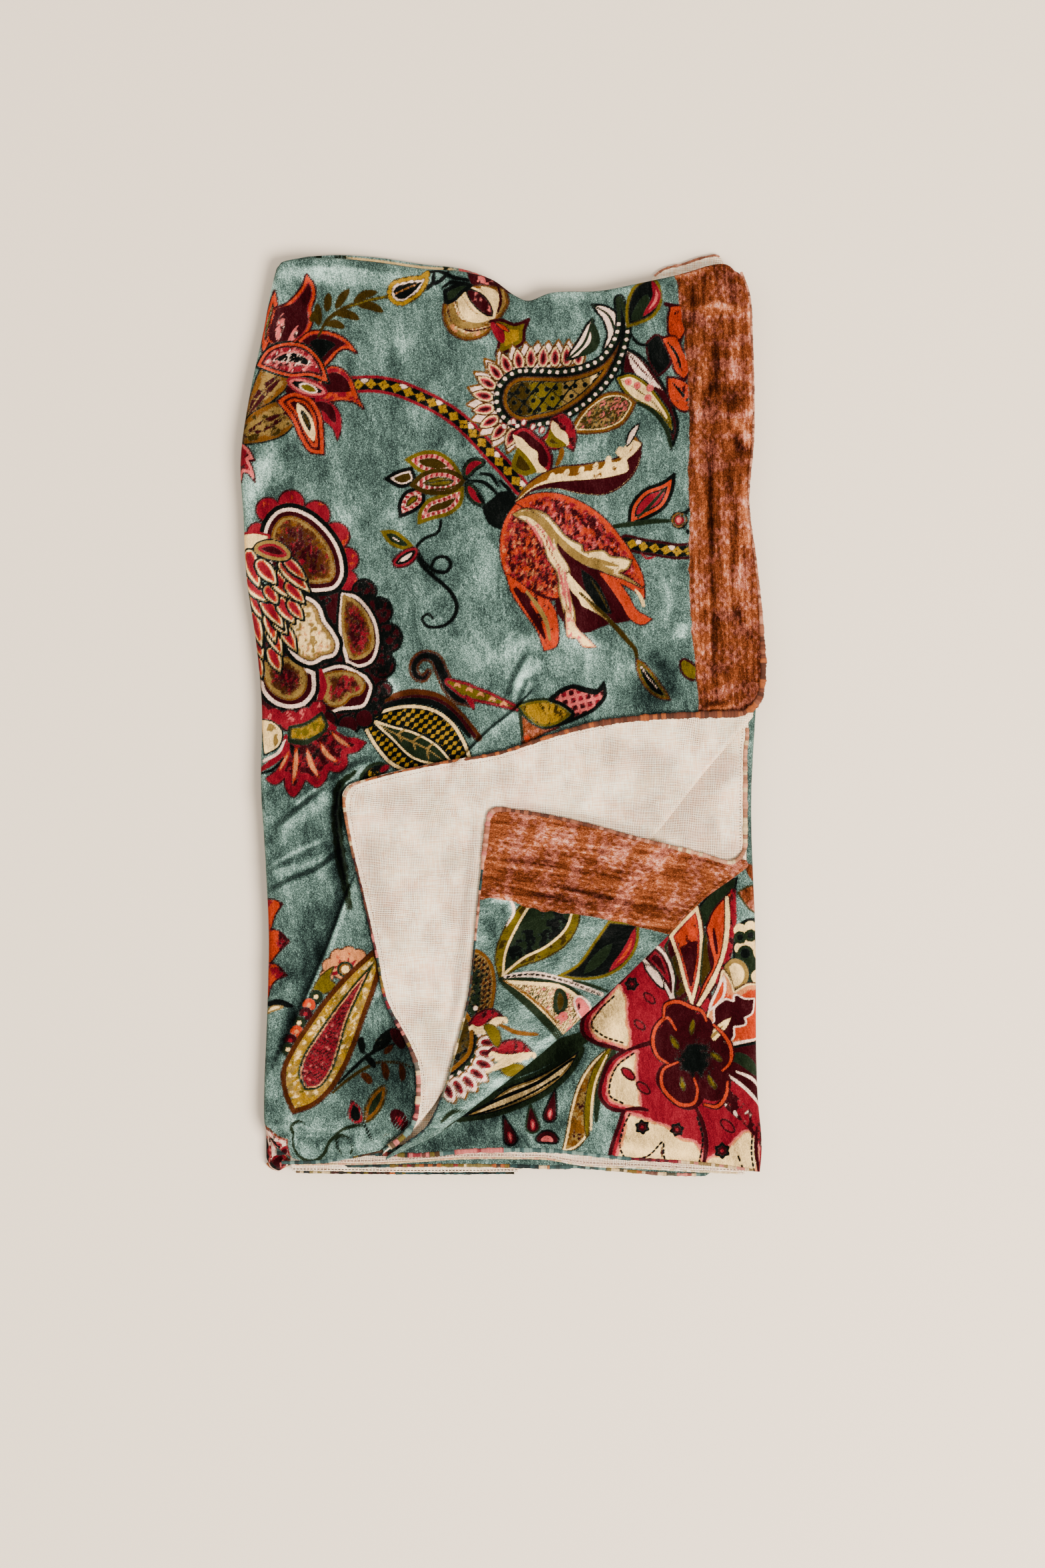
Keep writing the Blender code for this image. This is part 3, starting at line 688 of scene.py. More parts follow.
def spline(points, count):
    """Points of a smooth curve through the given ones, and the share of the way to each."""
    points = np.array(points, float)
    steps = np.hypot(*np.diff(points, axis=0).T)
    at = np.concatenate([[0], np.cumsum(steps)]) / steps.sum()
    tangent = np.gradient(points, at, axis=0)
    to = np.linspace(0, 1, count)
    row = np.clip(np.searchsorted(at, to) - 1, 0, len(at) - 2)
    h = (at[row + 1] - at[row])[:, None]
    t = (to - at[row])[:, None] / h
    return hermite(t, h, points[row], points[row + 1], tangent[row], tangent[row + 1]), to


# Shapes. Each is (indices of the cloth's points, distance inside). Inks that are given as
# ink=inset are painted inside it at once.

def brush(p, points, widths, count=18, **rings):
    """A curved stroke whose half-width changes along it."""
    curve, to = spline(points, count)
    radii = np.interp(to, np.linspace(0, 1, len(widths)), widths)
    at = p.near(curve, radii.max() + FAR)
    x, y = p.x[at], p.y[at]
    best = np.full(len(at), -99.0)
    for (x0, y0), (x1, y1), r0, r1 in zip(curve[:-1], curve[1:], radii[:-1], radii[1:]):
        dx, dy = x1 - x0, y1 - y0
        t = np.clip(((x - x0) * dx + (y - y0) * dy) / (dx * dx + dy * dy + 1e-9), 0, 1)
        best = np.maximum(best, r0 + (r1 - r0) * t - np.hypot(x - x0 - t * dx, y - y0 - t * dy))
    return p.nest((at, best), **rings)


def within(x, y, runs):
    """Distance inside a closed outline: smooth runs of points, which meet at corners."""
    outline = np.concatenate([spline(run, 5 * len(run))[0][:-1] for run in runs])
    inside = np.zeros(x.shape, bool)
    best = np.full(x.shape, 1e9)
    for (x0, y0), (x1, y1) in zip(outline, np.roll(outline, -1, axis=0)):
        dx, dy = x1 - x0, y1 - y0
        t = np.clip(((x - x0) * dx + (y - y0) * dy) / (dx * dx + dy * dy + 1e-9), 0, 1)
        best = np.minimum(best, np.hypot(x - x0 - t * dx, y - y0 - t * dy))
        if dy:
            inside ^= ((y0 > y) != (y1 > y)) & (x < x0 + (y - y0) * dx / dy)
    return np.where(inside, best, -best)


def chain(runs):
    """Each run goes on from the end of the one before, and the last one back to the start."""
    whole = [list(runs[0])]
    for run in runs[1:]:
        whole.append([whole[-1][-1], *run])
    whole[-1].append(runs[0][0])
    return whole


def region(p, runs, **rings):
    """A shape from whole runs of its outline."""
    at = p.near([point for run in runs for point in run], FAR)
    return p.nest((at, within(p.x[at], p.y[at], runs)), **rings)


def closed(p, *runs, **rings):
    """A shape from chained runs of its outline. An empty last run is a straight line back."""
    return region(p, chain(runs), **rings)


def grown(shape, by):
    """The same shape with its edge moved out."""
    at, distance = shape
    return at, distance + by


def both(p, shape, *runs):
    """The part of a shape that lies inside another outline."""
    at, distance = shape
    return at, np.minimum(distance, within(p.x[at], p.y[at], chain(runs)))


def disc(p, x, y, radius, **rings):
    at = p.near([(x, y)], radius + FAR)
    return p.nest((at, radius - np.hypot(p.x[at] - x, p.y[at] - y)), **rings)


def union(p, circles, **rings):
    """A shape from overlapping circles, (x, y, radius) each."""
    at = p.near([row[:2] for row in circles], max(row[2] for row in circles) + FAR)
    x, y = p.x[at], p.y[at]
    distance = np.max([r - np.hypot(x - cx, y - cy) for cx, cy, r in circles], axis=0)
    return p.nest((at, distance), **rings)


LENS = (0.0, 0.62, 0.9, 1.0, 0.9, 0.62, 0.0)
SPEAR = (0.85, 1.0, 0.97, 0.82, 0.58, 0.3, 0.0)


def leaf(p, points, width, profile=LENS, **rings):
    return brush(p, points, [width * share for share in profile], **rings)


# Strokes, and fillings of shapes.

def ribbon(p, points, half):
    """Where each point lies on a strip: (indices, distance inside, along, across)."""
    curve, _ = spline(points, RIBBON_POINTS)
    at = p.near(curve, half + FAR)
    x, y = p.x[at], p.y[at]
    best, along, across = (np.full(len(at), value) for value in (1e9, 0.0, 0.0))
    before = 0.0
    for (x0, y0), (x1, y1) in zip(curve[:-1], curve[1:]):
        length = np.hypot(x1 - x0, y1 - y0)
        ux, uy = (x1 - x0) / length, (y1 - y0) / length
        t = np.clip((x - x0) * ux + (y - y0) * uy, 0, length)
        gap = np.hypot(x - x0 - t * ux, y - y0 - t * uy)
        nearer = gap < best
        best = np.where(nearer, gap, best)
        along = np.where(nearer, before + t, along)
        across = np.where(nearer, (y - y0) * ux - (x - x0) * uy, across)
        before += length
    return at, half - best, along, across


def braid(p, points, half, edge, pitch):
    """A strip of gold diamonds on black, with white teeth, between two lines of an edge ink."""
    at, distance, along, across = ribbon(p, points, half)
    p.nest((at, distance), **{edge: 0, "black": 1.4})
    inner = half - 1.6
    share = np.abs(2 * (along / pitch % 1) - 1)
    diamond = (1 - np.abs(across) / inner - share - 0.04) * inner * 0.62
    p.paint("gold", at, np.minimum(distance - 1.5, diamond))
    shifted = np.abs(2 * ((along / pitch + 0.5) % 1) - 1)
    third = (np.floor(along / pitch + 0.5) % 3) == 1
    tooth = (0.62 - np.abs(across - inner * 0.72) / inner - shifted) * inner * 0.6
    p.paint("white", at, np.where(third, np.minimum(distance - 1.5, tooth), -FAR))
    for sign in (1, -1):
        slash = np.abs(across - sign * (along % pitch - pitch / 2) * inner / pitch * 2)
        p.paint("black", at, np.minimum(np.minimum(distance - 1.5, diamond), 0.22 - slash))


def turned(p, at, turn):
    """The chosen points' coordinates on axes that are turned by an angle."""
    c, s = np.cos(turn), np.sin(turn)
    return p.x[at] * c + p.y[at] * s, p.y[at] * c - p.x[at] * s


def speckle(p, shape, ink, inset, share, pitch=2.6, seed=5, slant=0.0):
    """Mottles the inside of a shape with another ink. slant turns the flecks."""
    at, distance = shape
    x, y = turned(p, at, slant)
    noise = 0.6 * soft_noise(x, y * 0.6, pitch, seed) + 0.4 * soft_noise(x, y, pitch * 0.55, seed + 1)
    p.paint(ink, at, np.minimum(distance - inset, (noise - 1 + share) * pitch * 1.4))


def blend(p, shape, ink, inset, reach, seed):
    """Lays an ink that comes in tuft by tuft, from inset inside a shape's edge over reach."""
    at, distance = shape
    depth = np.clip((distance - inset) / reach, 0, 1) - 0.5
    mottle = 0.8 * (soft_noise(p.x[at], p.y[at], TUFT_PITCH, seed) - 0.5)
    p.paint(ink, at, np.minimum(distance - inset, 1.2 * depth + mottle))


def off_line(along, pitch):
    """Distance from the nearest of a row of lines one pitch apart."""
    return np.abs(along - np.round(along / pitch) * pitch)


def dots(p, shape, ink, inset, pitch, radius, turn=0.0):
    """Round dots inside a shape, each second row shifted by half a pitch."""
    at, distance = shape
    u, v = turned(p, at, turn)
    row = np.round(v / pitch)
    shift = pitch / 2 * (row % 2)
    column = np.round((u - shift) / pitch)
    gap = np.hypot(u - shift - column * pitch, v - row * pitch)
    p.paint(ink, at, np.minimum(distance - inset, radius - gap))


def net(p, shape, ink, inset, pitch, width, turn=0.785):
    """Crossed lines inside a shape."""
    at, distance = shape
    for along in turned(p, at, turn):
        p.paint(ink, at, np.minimum(distance - inset, width - off_line(along, pitch)))


def stripes(p, shape, ink, inset, outset, path, pitch, share):
    """Bars across a ring of a shape, from inset to outset inside its edge."""
    at, distance = shape
    (x0, y0), (x1, y1) = path
    length = np.hypot(x1 - x0, y1 - y0)
    along = ((p.x[at] - x0) * (x1 - x0) + (p.y[at] - y0) * (y1 - y0)) / length
    ring = np.minimum(distance - inset, outset - distance)
    p.paint(ink, at, np.minimum(ring, pitch * share / 2 - off_line(along, pitch)))


def line(p, ink, points, width, count=24):
    """A line of one ink, width across, thinner at its ends."""
    half = width / 2
    p.paint(ink, *brush(p, points, (half * 0.6, half, half, half * 0.6), count))


def path_length(points):
    return np.hypot(*np.diff(np.array(points, float), axis=0).T).sum()


def dashes(p, ink, points, pitch, width):
    """A broken line: each second step of a curve."""
    curve, _ = spline(points, 2 * max(2, int(path_length(points) / pitch)))
    for start, end in zip(curve[0::2], curve[1::2]):
        p.paint(ink, *brush(p, [start, end], (width / 2, width / 2), 2))


def beads(p, ink, points, pitch, radius):
    """Round beads in a row along a curve."""
    curve, _ = spline(points, max(2, int(path_length(points) / pitch)))
    for x, y in curve:
        p.paint(ink, *disc(p, x, y, radius))


def star(p, x, y, radius, outer, inner):
    """A small pointed mark with a heart of another ink."""
    for turn in np.arange(6) * np.pi / 3 + 0.3 * x:
        tip = (x + radius * np.cos(turn), y + radius * np.sin(turn))
        p.paint(outer, *leaf(p, [(x, y), tip], radius * 0.45, SPEAR))
    p.paint(inner, *disc(p, x, y, radius * 0.34))


def fringe(p, path, count, length, width, lean=0.0, profile=LENS, **rings):
    """A row of small petals that stand out to the left of a path."""
    curve, _ = spline(path, count)
    tangent = np.gradient(curve, axis=0)
    tangent /= np.hypot(*tangent.T)[:, None]
    for (x, y), (tx, ty) in zip(curve, tangent):
        nx, ny = -ty + lean * tx, tx + lean * ty
        leaf(p, [(x, y), (x + nx * length / 2, y + ny * length / 2),
                 (x + nx * length, y + ny * length)], width, profile, **rings)


def fields_for(x, y, draw):
    """The ink fields of a stretch of cloth at points x, y of the flat print."""
    p = Print(x, y)
    draw(p)
    return p.fields()


def pointed_flower(p):
    """Coral petals with dark hearts, round a striped eye, on ochre leaves."""
    disc(p, -110, 188, 13, maroon=0)
    closed(p, [(-127.5, 238), (-126, 228), (-128.5, 215), (-134, 203)], [(-135, 214), (-131.5, 228)],
        maroon=-0.9, coral=0, black=1.6, olive=2.2)
    tall = closed(p, [(-128, 228), (-121, 230.5), (-115, 236), (-111.5, 241), (-109.5, 247)],
        [(-105.5, 241), (-104.8, 235), (-107, 228), (-106.5, 221), (-110, 213), (-116, 208)],
        [(-123, 207), (-130, 209)], maroon=-0.9, coral=0, red=1.5)
    p.nest(tall, maroon=2.2)
    closed(p, [(-127, 228), (-118, 230.5), (-110, 233.5)],
        [(-110.5, 227), (-111, 221), (-115, 213), (-118, 208)], [(-124, 207), (-129.5, 210)], maroon=0)
    for path, width in (([(-121, 227), (-124, 219), (-126, 209)], 3),
            ([(-114, 219), (-116, 214), (-120, 208.5)], 2.2)):
        flame = leaf(p, path, width)
        speckle(p, flame, "pink", 0.2, 0.5, 1.8, 11)
        speckle(p, flame, "white", 0.8, 0.3, 1.6, 12)
    right = closed(p, [(-115, 209), (-108, 214.5), (-99, 215), (-91, 212.5), (-85, 208), (-81.5, 203)],
        [(-87, 205.5), (-91, 204.5), (-95, 200), (-100, 194.5)], [(-106, 203)], maroon=-0.9, coral=0,
        red=1.4)
    p.nest(right, maroon=2)
    closed(p, [(-112, 210), (-104, 213), (-96, 212), (-88.5, 207.5)], [(-94, 203.5), (-101, 196)],
        [(-106, 203)], maroon=0, black=2.4)
    side_petal = closed(p, [(-101, 190), (-96, 195), (-90, 194), (-85, 189), (-81.5, 180),
        (-77.5, 171.5)], [(-82, 175), (-90, 176.5), (-99, 176), (-104, 181)], [(-103, 186)], maroon=-0.8,
        coral=0)
    speckle(p, side_petal, "red", 0.6, 0.5, 4, 8)
    closed(p, [(-101, 189), (-94, 192), (-88, 189), (-84, 181)], [(-101, 180.5)], [], maroon=0)
    closed(p, [(-104, 178), (-96, 175), (-91, 169), (-90, 161), (-92, 154)],
        [(-95, 161), (-101, 166), (-107, 171)], [], maroon=-0.6, red=0)
    leaf(p, [(-105, 175), (-98, 172), (-93, 163)], 2.6, maroon=0)
    for runs, vein in ((([(-147, 168), (-141, 180), (-137, 190), (-133.5, 197.5)],
            [(-133.5, 197.5), (-128, 194), (-120, 190)], [(-120, 190), (-121, 184), (-127, 178),
            (-136, 171), (-147, 162)]), [(-143, 168), (-135, 180), (-124, 190)]),
            (([(-150, 159), (-140, 169), (-131, 174), (-125, 176)],
            [(-125, 176), (-120, 172), (-116, 163.5)], [(-116, 163.5), (-122, 157.5), (-131, 154),
            (-146, 152)]), [(-147, 155), (-136, 161), (-120, 169)])):
        leafy = region(p, runs, black=-0.8, ochre=0)
        blend(p, leafy, "tan", 0.8, 4, 14)
        speckle(p, leafy, "bronze", 1.2, 0.36, 2.4, 15, 0.7)
        vein_shape = brush(p, vein, (0.5, 2.6, 3.2, 1.4))
        speckle(p, vein_shape, "maroon", 0, 0.62, 2.2, 16, 0.7)
        line(p, "tan", vein, 0.6)
    ringed = closed(p, [(-126, 176), (-118, 180.5), (-108, 178), (-101.5, 169), (-100, 158),
        (-99.5, 146)], [(-107, 147), (-113, 155), (-117.5, 165)], maroon=-0.7, coral=0.2)
    p.nest(ringed, maroon=2, coral=3.4)
    p.nest(ringed, maroon=4.8)
    leaf(p, [(-115, 175), (-110, 166), (-105, 153)], 3.3, cream=0)
    leaf(p, [(-113, 172), (-109, 164), (-107, 158)], 1.8, black=0, bronze=0.9)
    eye = closed(p, [(-138, 196), (-131, 205.5), (-120, 209), (-109, 206.5), (-102, 199.5), (-97, 186)],
        [(-108, 190), (-118, 189.5), (-128, 192)], black=-1, coral=0.2, maroon=1.6, red=2.8)
    blend(p, eye, "maroon", 3, 4, 13)
    speckle(p, eye, "pink", 2.6, 0.38, 1.5, 9)
    speckle(p, eye, "white", 3.4, 0.28, 1.5, 19)
    pupil = leaf(p, [(-129, 199), (-118, 200.5), (-105, 196)], 3.4, pink=0, black=0.7)
    speckle(p, pupil, "white", 0.4, 0.34, 1.3, 21)
    leaf(p, [(-121, 188), (-109, 183.5), (-97, 180)], 5.2, red=0, pink=1.2, black=2.4)
    leaf(p, [(-114, 185), (-108, 183), (-103, 181)], 2.6, white=0, olive=0.9)


def left_edge_bits(p):
    """Pink leaves that come round the left fold."""
    torn = closed(p, [(-150, 154), (-143, 150), (-139, 143)], [(-142.5, 143.5)],
        [(-140, 138), (-138.5, 131)], [(-143, 136), (-145.5, 136.5)], [(-147, 131)], [(-151, 136)],
        maroon=-0.8, pink=0, red=1.5)
    speckle(p, torn, "maroon", 1.6, 0.4, 1.8, 19)


TWIG_LEAVES = [  # (base x, base y, tip x, tip y)
    (-83, 231.5, -69.5, 237), (-93, 227.5, -85.5, 239), (-98, 226, -97, 236.5),
    (-102.5, 218, -103.5, 231), (-81, 229.5, -66, 225.5), (-93, 224.5, -79.5, 221.5),
    (-99, 219, -88, 217), (-104, 226, -107, 221),
]


def olive_twig(p):
    line(p, "bronze", [(-60, 235), (-74, 232.5), (-88, 228), (-98, 221), (-103, 212)], 2)
    for x0, y0, x1, y1 in TWIG_LEAVES:
        bow = 0.12 * (x1 - x0)
        leaf(p, [(x0, y0), ((x0 + x1) / 2, (y0 + y1) / 2 + bow), (x1, y1)], 2.2, bronze=0)
    line(p, "olive", [(-62, 235), (-74, 232.5), (-86, 228.8)], 0.9)


def small_paisley(p):
    for path in ([(-43, 248), (-36, 249.5), (-28, 246), (-14, 243)], [(-38, 249), (-39, 242), (-46, 237)],
            [(-40, 241), (-34, 244), (-30, 249)], [(-20, 240), (-27, 243), (-33, 240)]):
        line(p, "black", path, 2)
    at, distance = brush(p, [(-56.5, 237), (-50, 240), (-45, 243), (-41.5, 248.5)], (7.4, 6.2, 3.4, 0.8))
    drop = (at, distance + 0.5 * np.sin(p.x[at] * 1.9) * np.sin(p.y[at] * 1.9))
    p.nest(drop, bronze=-0.5, gold=0)
    p.nest(drop, bronze=1.9, white=2.4, black=3.3)
    line(p, "ochre", [(-60, 236), (-54, 239), (-48, 241.5)], 1)
    beads(p, "peach", [(-59, 236.5), (-54, 239), (-49, 241)], 2.4, 0.6)


def striped_bud(p):
    """A round bud of cream and tan segments, with a dark cap and a red tail."""
    closed(p, [(-20, 251), (-12, 249), (-3, 246), (6, 242), (11, 238)], [(2, 237), (-8, 239), (-16, 241)],
        maroon=0)
    top = closed(p, [(-17, 249), (-6, 245), (4, 241)], [(-6, 241), (-14, 243)])
    speckle(p, top, "pink", 0, 0.45, 2.4, 21)
    body = closed(p, [(-32.5, 229), (-29, 236), (-18, 240), (-7, 240.5), (1, 238.5), (3.5, 232), (1, 226),
        (-3, 221), (-9, 213.5), (-19, 210.5), (-28, 214), (-32, 221)], brown=-0.8, ochre=0, tan=1.2)
    blend(p, body, "cream", 1.8, 3.6, 31)
    speckle(p, body, "peach", 1.2, 0.42, 1.8, 33)
    speckle(p, body, "ochre", 1, 0.3, 1.8, 34)
    line(p, "maroon", [(-31, 235), (-28.5, 222), (-19, 215.5), (-5, 217.5)], 1.2)
    leaf(p, [(-29.5, 236), (-24.5, 220), (-6, 218.5)], 2.6, ochre=0, tan=0.7)
    line(p, "maroon", [(-27.5, 237), (-21, 223), (-6, 220)], 1.5)
    leaf(p, [(-25.5, 238), (-17, 223), (-4, 222)], 3.6, tan=0, cream=0.7)
    leaf(p, [(-13, 241), (-3.5, 234), (-4, 223)], 3.6, ochre=0, cream=0.7)
    line(p, "maroon", [(-2, 240.5), (-0.5, 233), (-2.5, 225)], 1.8)
    line(p, "tan", [(0.5, 239), (1.5, 233), (-0.5, 226)], 1.4)
    almond = leaf(p, [(-20, 239), (-12, 231.5), (-5, 223)], 4.4, cream=-1.2, black=0, maroon=0.9)
    speckle(p, almond, "pink", 1, 0.32, 1.6, 17)
    closed(p, [(-33, 238), (-28, 241), (-20, 243), (-15, 241)], [(-21, 237), (-26, 232), (-31, 230)],
        black=0, green=2.2)
    tail = closed(p, [(-6, 221), (0, 221.5), (7, 219), (15.5, 222)],
        [(13, 216), (12, 208.5), (6, 205), (3, 203.5), (-3.5, 201.5)], [(-1.5, 209)], maroon=-0.6)
    p.nest(tail, maroon=0.2, olive=1.1, gold=3.2)
    leaf(p, [(-6, 220), (-2, 215), (1, 208)], 2.8, red=0)
    leaf(p, [(-4, 220), (1, 217), (5, 214.5)], 1.6, maroon=0, coral=0.6)


PAISLEY_SPINE = [
    (13, 177), (32, 179.5), (47, 186), (58, 194.5), (65, 206), (68, 216), (67.5, 225), (66, 233),
]
PAISLEY_WIDTH = (16.0, 14.6, 11.4, 8.2, 5.2, 3.6, 2.6, 1.4)


def big_paisley(p):
    """A paisley with a beaded border, an ochre ring and a net of dots, and lace petals."""
    path = [(43, 198.5), (28, 197.5), (12, 196.5), (1, 192.5), (-6, 184), (-7.5, 175), (-4, 165),
        (3, 159), (13, 157)]
    fringe(p, path, 17, -12, 3.6, 0.1, SPEAR, ochre=-0.6, white=0.3)
    fringe(p, path, 15, -9.6, 3.2, 0.1, SPEAR, brown=-0.5, cream=0.3, pink=1, red=1.6, maroon=2.3)
    for run, width in (([(37, 199), (46, 208), (51, 222)], 3.4),
            ([(57, 204), (63, 212), (60, 224), (51, 230)], 4.2)):
        leaf(p, run, width, black=-0.9, white=0.4)
        line(p, "green", run, 1.6)
    leaf(p, [(42, 200), (52, 208), (51, 221)], 2.6, green=0)
    body = brush(p, PAISLEY_SPINE, PAISLEY_WIDTH, 40, black=-1.8, green=-0.6)
    p.nest(body, black=1.4, brown=3.4, ochre=4.2)
    p.nest(body, black=5.8, tan=6.5)
    at, distance = body
    x = p.x[at]
    p.paint("olive", at, np.minimum(distance - 6.6, (34 - x) * 0.2))
    p.paint("bronze", at, np.minimum(distance - 6.6, (16 - x) * 0.2))
    p.paint("cream", at, np.minimum(distance - 6.5, (x - 50) * 0.2))
    net(p, body, "black", 6.6, 7.6, 0.5, 0.9)
    dots(p, body, "black", 7, 5.4, 1.35, 0.9 - 0.785)
    points, to = spline(PAISLEY_SPINE, 40)
    tangent = np.gradient(points, axis=0)
    tangent /= np.hypot(*tangent.T)[:, None]
    width = np.interp(to, np.linspace(0, 1, len(PAISLEY_WIDTH)), PAISLEY_WIDTH)
    normal = np.stack([-tangent[:, 1], tangent[:, 0]], axis=-1)
    for sign in (1, -1):
        beside = points + sign * normal * np.maximum(width - 0.2, 2)[:, None]
        beads(p, "white", beside[1:-6], 4.1, 1.05)
    head = [(PAISLEY_SPINE[0][0] + 15.8 * np.cos(a),
        PAISLEY_SPINE[0][1] + 15.8 * np.sin(a)) for a in np.linspace(1.75, 4.45, 8)]
    beads(p, "white", head, 4.1, 1.1)


def paisley_leaves(p):
    """The leaves below and beside the large paisley."""
    closed(p, [(69, 206), (77, 202), (86, 192), (94, 178), (99, 160), (95, 148)],
        [(93, 160), (86, 172), (78, 180), (68, 190)], black=-0.4, maroon=1.2)
    upper = closed(p, [(70, 204.5), (77, 199), (84, 190), (90, 182)], [(82, 186), (74, 193)], white=0)
    line(p, "maroon", [(71, 203), (77, 195), (84, 188)], 1.3)
    speckle(p, upper, "pink", 0.8, 0.34, 1.6, 26)
    speckle(p, upper, "maroon", 1, 0.24, 1.5, 27)
    closed(p, [(64, 189), (72, 191), (80, 187), (88, 178), (95, 166), (96, 158)],
        [(90, 166), (82, 172), (74, 176), (67, 183)], black=-0.8, olive=0.2, cream=1.7)
    line(p, "bronze", [(66, 188), (76, 182), (86, 174), (94, 162)], 1)
    for x, y in ((71, 186.5), (76, 184.5), (83, 183), (82, 177.5)):
        disc(p, x, y, 2.1, pink=0, coral=1.5)
    line(p, "green", [(76, 175), (85, 170), (92, 161), (95, 150)], 2.4)
    oval = closed(p, [(75.5, 175.5), (69, 180), (60, 180.5), (50, 175), (42, 166), (38, 158)],
        [(49, 157.5), (60, 159), (68, 163), (72.5, 169)], brown=-0.3, ochre=0.4, cream=1.8, bronze=2.4)
    speckle(p, oval, "tan", 2.8, 0.5, 1.8, 28)
    speckle(p, oval, "pink", 3, 0.42, 1.6, 30)
    dots(p, oval, "green", 2.8, 2.6, 0.8)
    net(p, oval, "bronze", 3, 3.6, 0.3, 0.5)
    line(p, "ochre", [(33, 152), (33.5, 146), (31, 140)], 2.6)


def bells(p):
    """Two small bell flowers where the stem meets the paisley."""
    first = closed(p, [(28, 166), (34, 168.5), (39.5, 163), (41.5, 155), (40, 148)],
        [(36, 150.5), (30, 149), (23, 151), (21, 153)], [(26, 158)], maroon=-0.8, red=0)
    speckle(p, first, "maroon", 0.5, 0.4, 2.4, 3)
    closed(p, [(28, 165), (31, 163), (33, 160), (36, 158), (38, 151)], [(30, 150), (23, 151.5)],
        [(27, 158)], cream=0)
    closed(p, [(27, 161), (30, 156), (35, 152.5), (37, 150.5)], [(30, 149.5), (23, 151.5)], [(26, 156)],
        olive=0, bronze=2.2)
    second = closed(p, [(6, 158), (12, 161), (20, 156), (25, 151), (28, 144), (27, 136)],
        [(20, 138), (14, 146), (8, 152)], maroon=-0.8, red=0.4)
    p.nest(second, maroon=2)
    closed(p, [(6, 157), (11, 155), (16, 150), (20, 147), (20.5, 142), (26, 136)],
        [(18, 136), (12, 139), (10, 146)], cream=0)
    closed(p, [(9, 150), (14, 145), (17, 141), (20, 136)], [(12, 134), (6, 138)], olive=0, bronze=2.5)
    fringe(p, [(2, 160), (9, 163), (16, 160), (22, 158)], 5, 3.4, 1.5, red=-0.2, white=0.5)


STEM = [
    (-84, 185), (-70, 185.2), (-58, 182.8), (-46, 178), (-35, 172.5), (-24, 165), (-14, 155.5),
    (-5, 145.5), (3, 137), (11, 127),
]


def diamond_stem(p):
    """A stem of gold and black diamonds between crimson lines."""
    braid(p, STEM, 4.6, "red", 7.2)


def lotus_bud(p):
    """A bud of striped petals on a dark calyx, with a curled tendril."""
    def petal(shape, bars, inner="bronze"):
        p.nest(shape, white=2, bronze=4.2)
        p.nest(shape, **{inner: 5.2})
        stripes(p, shape, "red", 2, 4.1, bars, 3, 0.5)
        stripes(p, shape, "pink", 2, 4.1, bars, 3, 0.8)
        stripes(p, shape, "red", 2.1, 4, bars, 3, 0.42)

    closed(p, [(-66.5, 132), (-59, 136.5), (-50, 139)], [(-48, 131), (-55, 127)], black=0, white=2,
        bronze=2.9)
    low_left = closed(p, [(-57.5, 110), (-58, 118), (-54, 125), (-44, 128)], [(-43, 119), (-49, 113.5)],
        black=0)
    petal(low_left, ((-57, 110), (-44, 128)), "olive")
    low = closed(p, [(-47, 106.5), (-46.5, 113), (-42, 120), (-33, 123.5), (-21, 128)],
        [(-22.5, 118), (-29, 112), (-38, 109.5)], olive=0)
    petal(low, ((-47, 110), (-21, 122)))
    top = closed(p, [(-54.5, 143), (-46, 147), (-36, 147.5), (-28, 142.5), (-22, 134)],
        [(-34, 134), (-44, 135)], olive=0)
    petal(top, ((-54, 140), (-24, 140)))
    middle = closed(p, [(-51, 128.5), (-45, 134.5), (-36, 137.5), (-28, 136.5), (-20, 132)],
        [(-26, 125.5), (-36, 123.5), (-45, 125)], bronze=-0.6)
    petal(middle, ((-51, 129), (-20, 131)), "olive")
    line(p, "black", [(-42, 130), (-32, 131), (-23, 131)], 1)
    line(p, "bronze", [(-41, 126), (-31, 126.5), (-22, 130)], 1.2)
    for path in ([(-21, 132), (-16, 140), (-9, 141.5)], [(-20, 130), (-14, 121), (-10, 117)]):
        leaf(p, path, 3.6, black=-0.3, green=0.5, red=1.6)
    for path in ([(-20, 131), (-10, 130), (-3, 124), (0, 120)], [(-12, 135), (-6, 134), (-2, 128)],
            [(-14, 124), (-10, 118)], [(-1, 131), (4, 126), (8, 120)]):
        line(p, "black", path, 1.8)
    closed(p, [(-11, 116), (-5, 121), (0, 125), (7, 124)], [(9, 117), (3, 111), (1, 103)], [(-7, 107)],
        black=0)
    line(p, "black", [(-34, 109), (-35, 103), (-44, 98), (-48, 93), (-46, 86), (-40, 79), (-34, 74),
        (-28, 68), (-25, 60), (-29, 52), (-36, 49), (-43, 50.5), (-44.5, 54), (-41, 56.5), (-38.5, 54)],
        1.9, 60)
    line(p, "black", [(-47, 92), (-43, 85), (-37, 80.5), (-31, 80), (-28.5, 84), (-31, 88), (-36, 88),
        (-39, 84), (-38, 78)], 1.7, 40)
    closed(p, [(-68, 103), (-60, 103), (-54, 99), (-48, 93)], [(-57, 93), (-63, 96)], olive=0, green=1.8,
        white=3.4)
    leaf(p, [(-61, 84), (-55, 87), (-47, 93)], 4.2, maroon=-0.4, red=0.4, black=1.6, white=3)


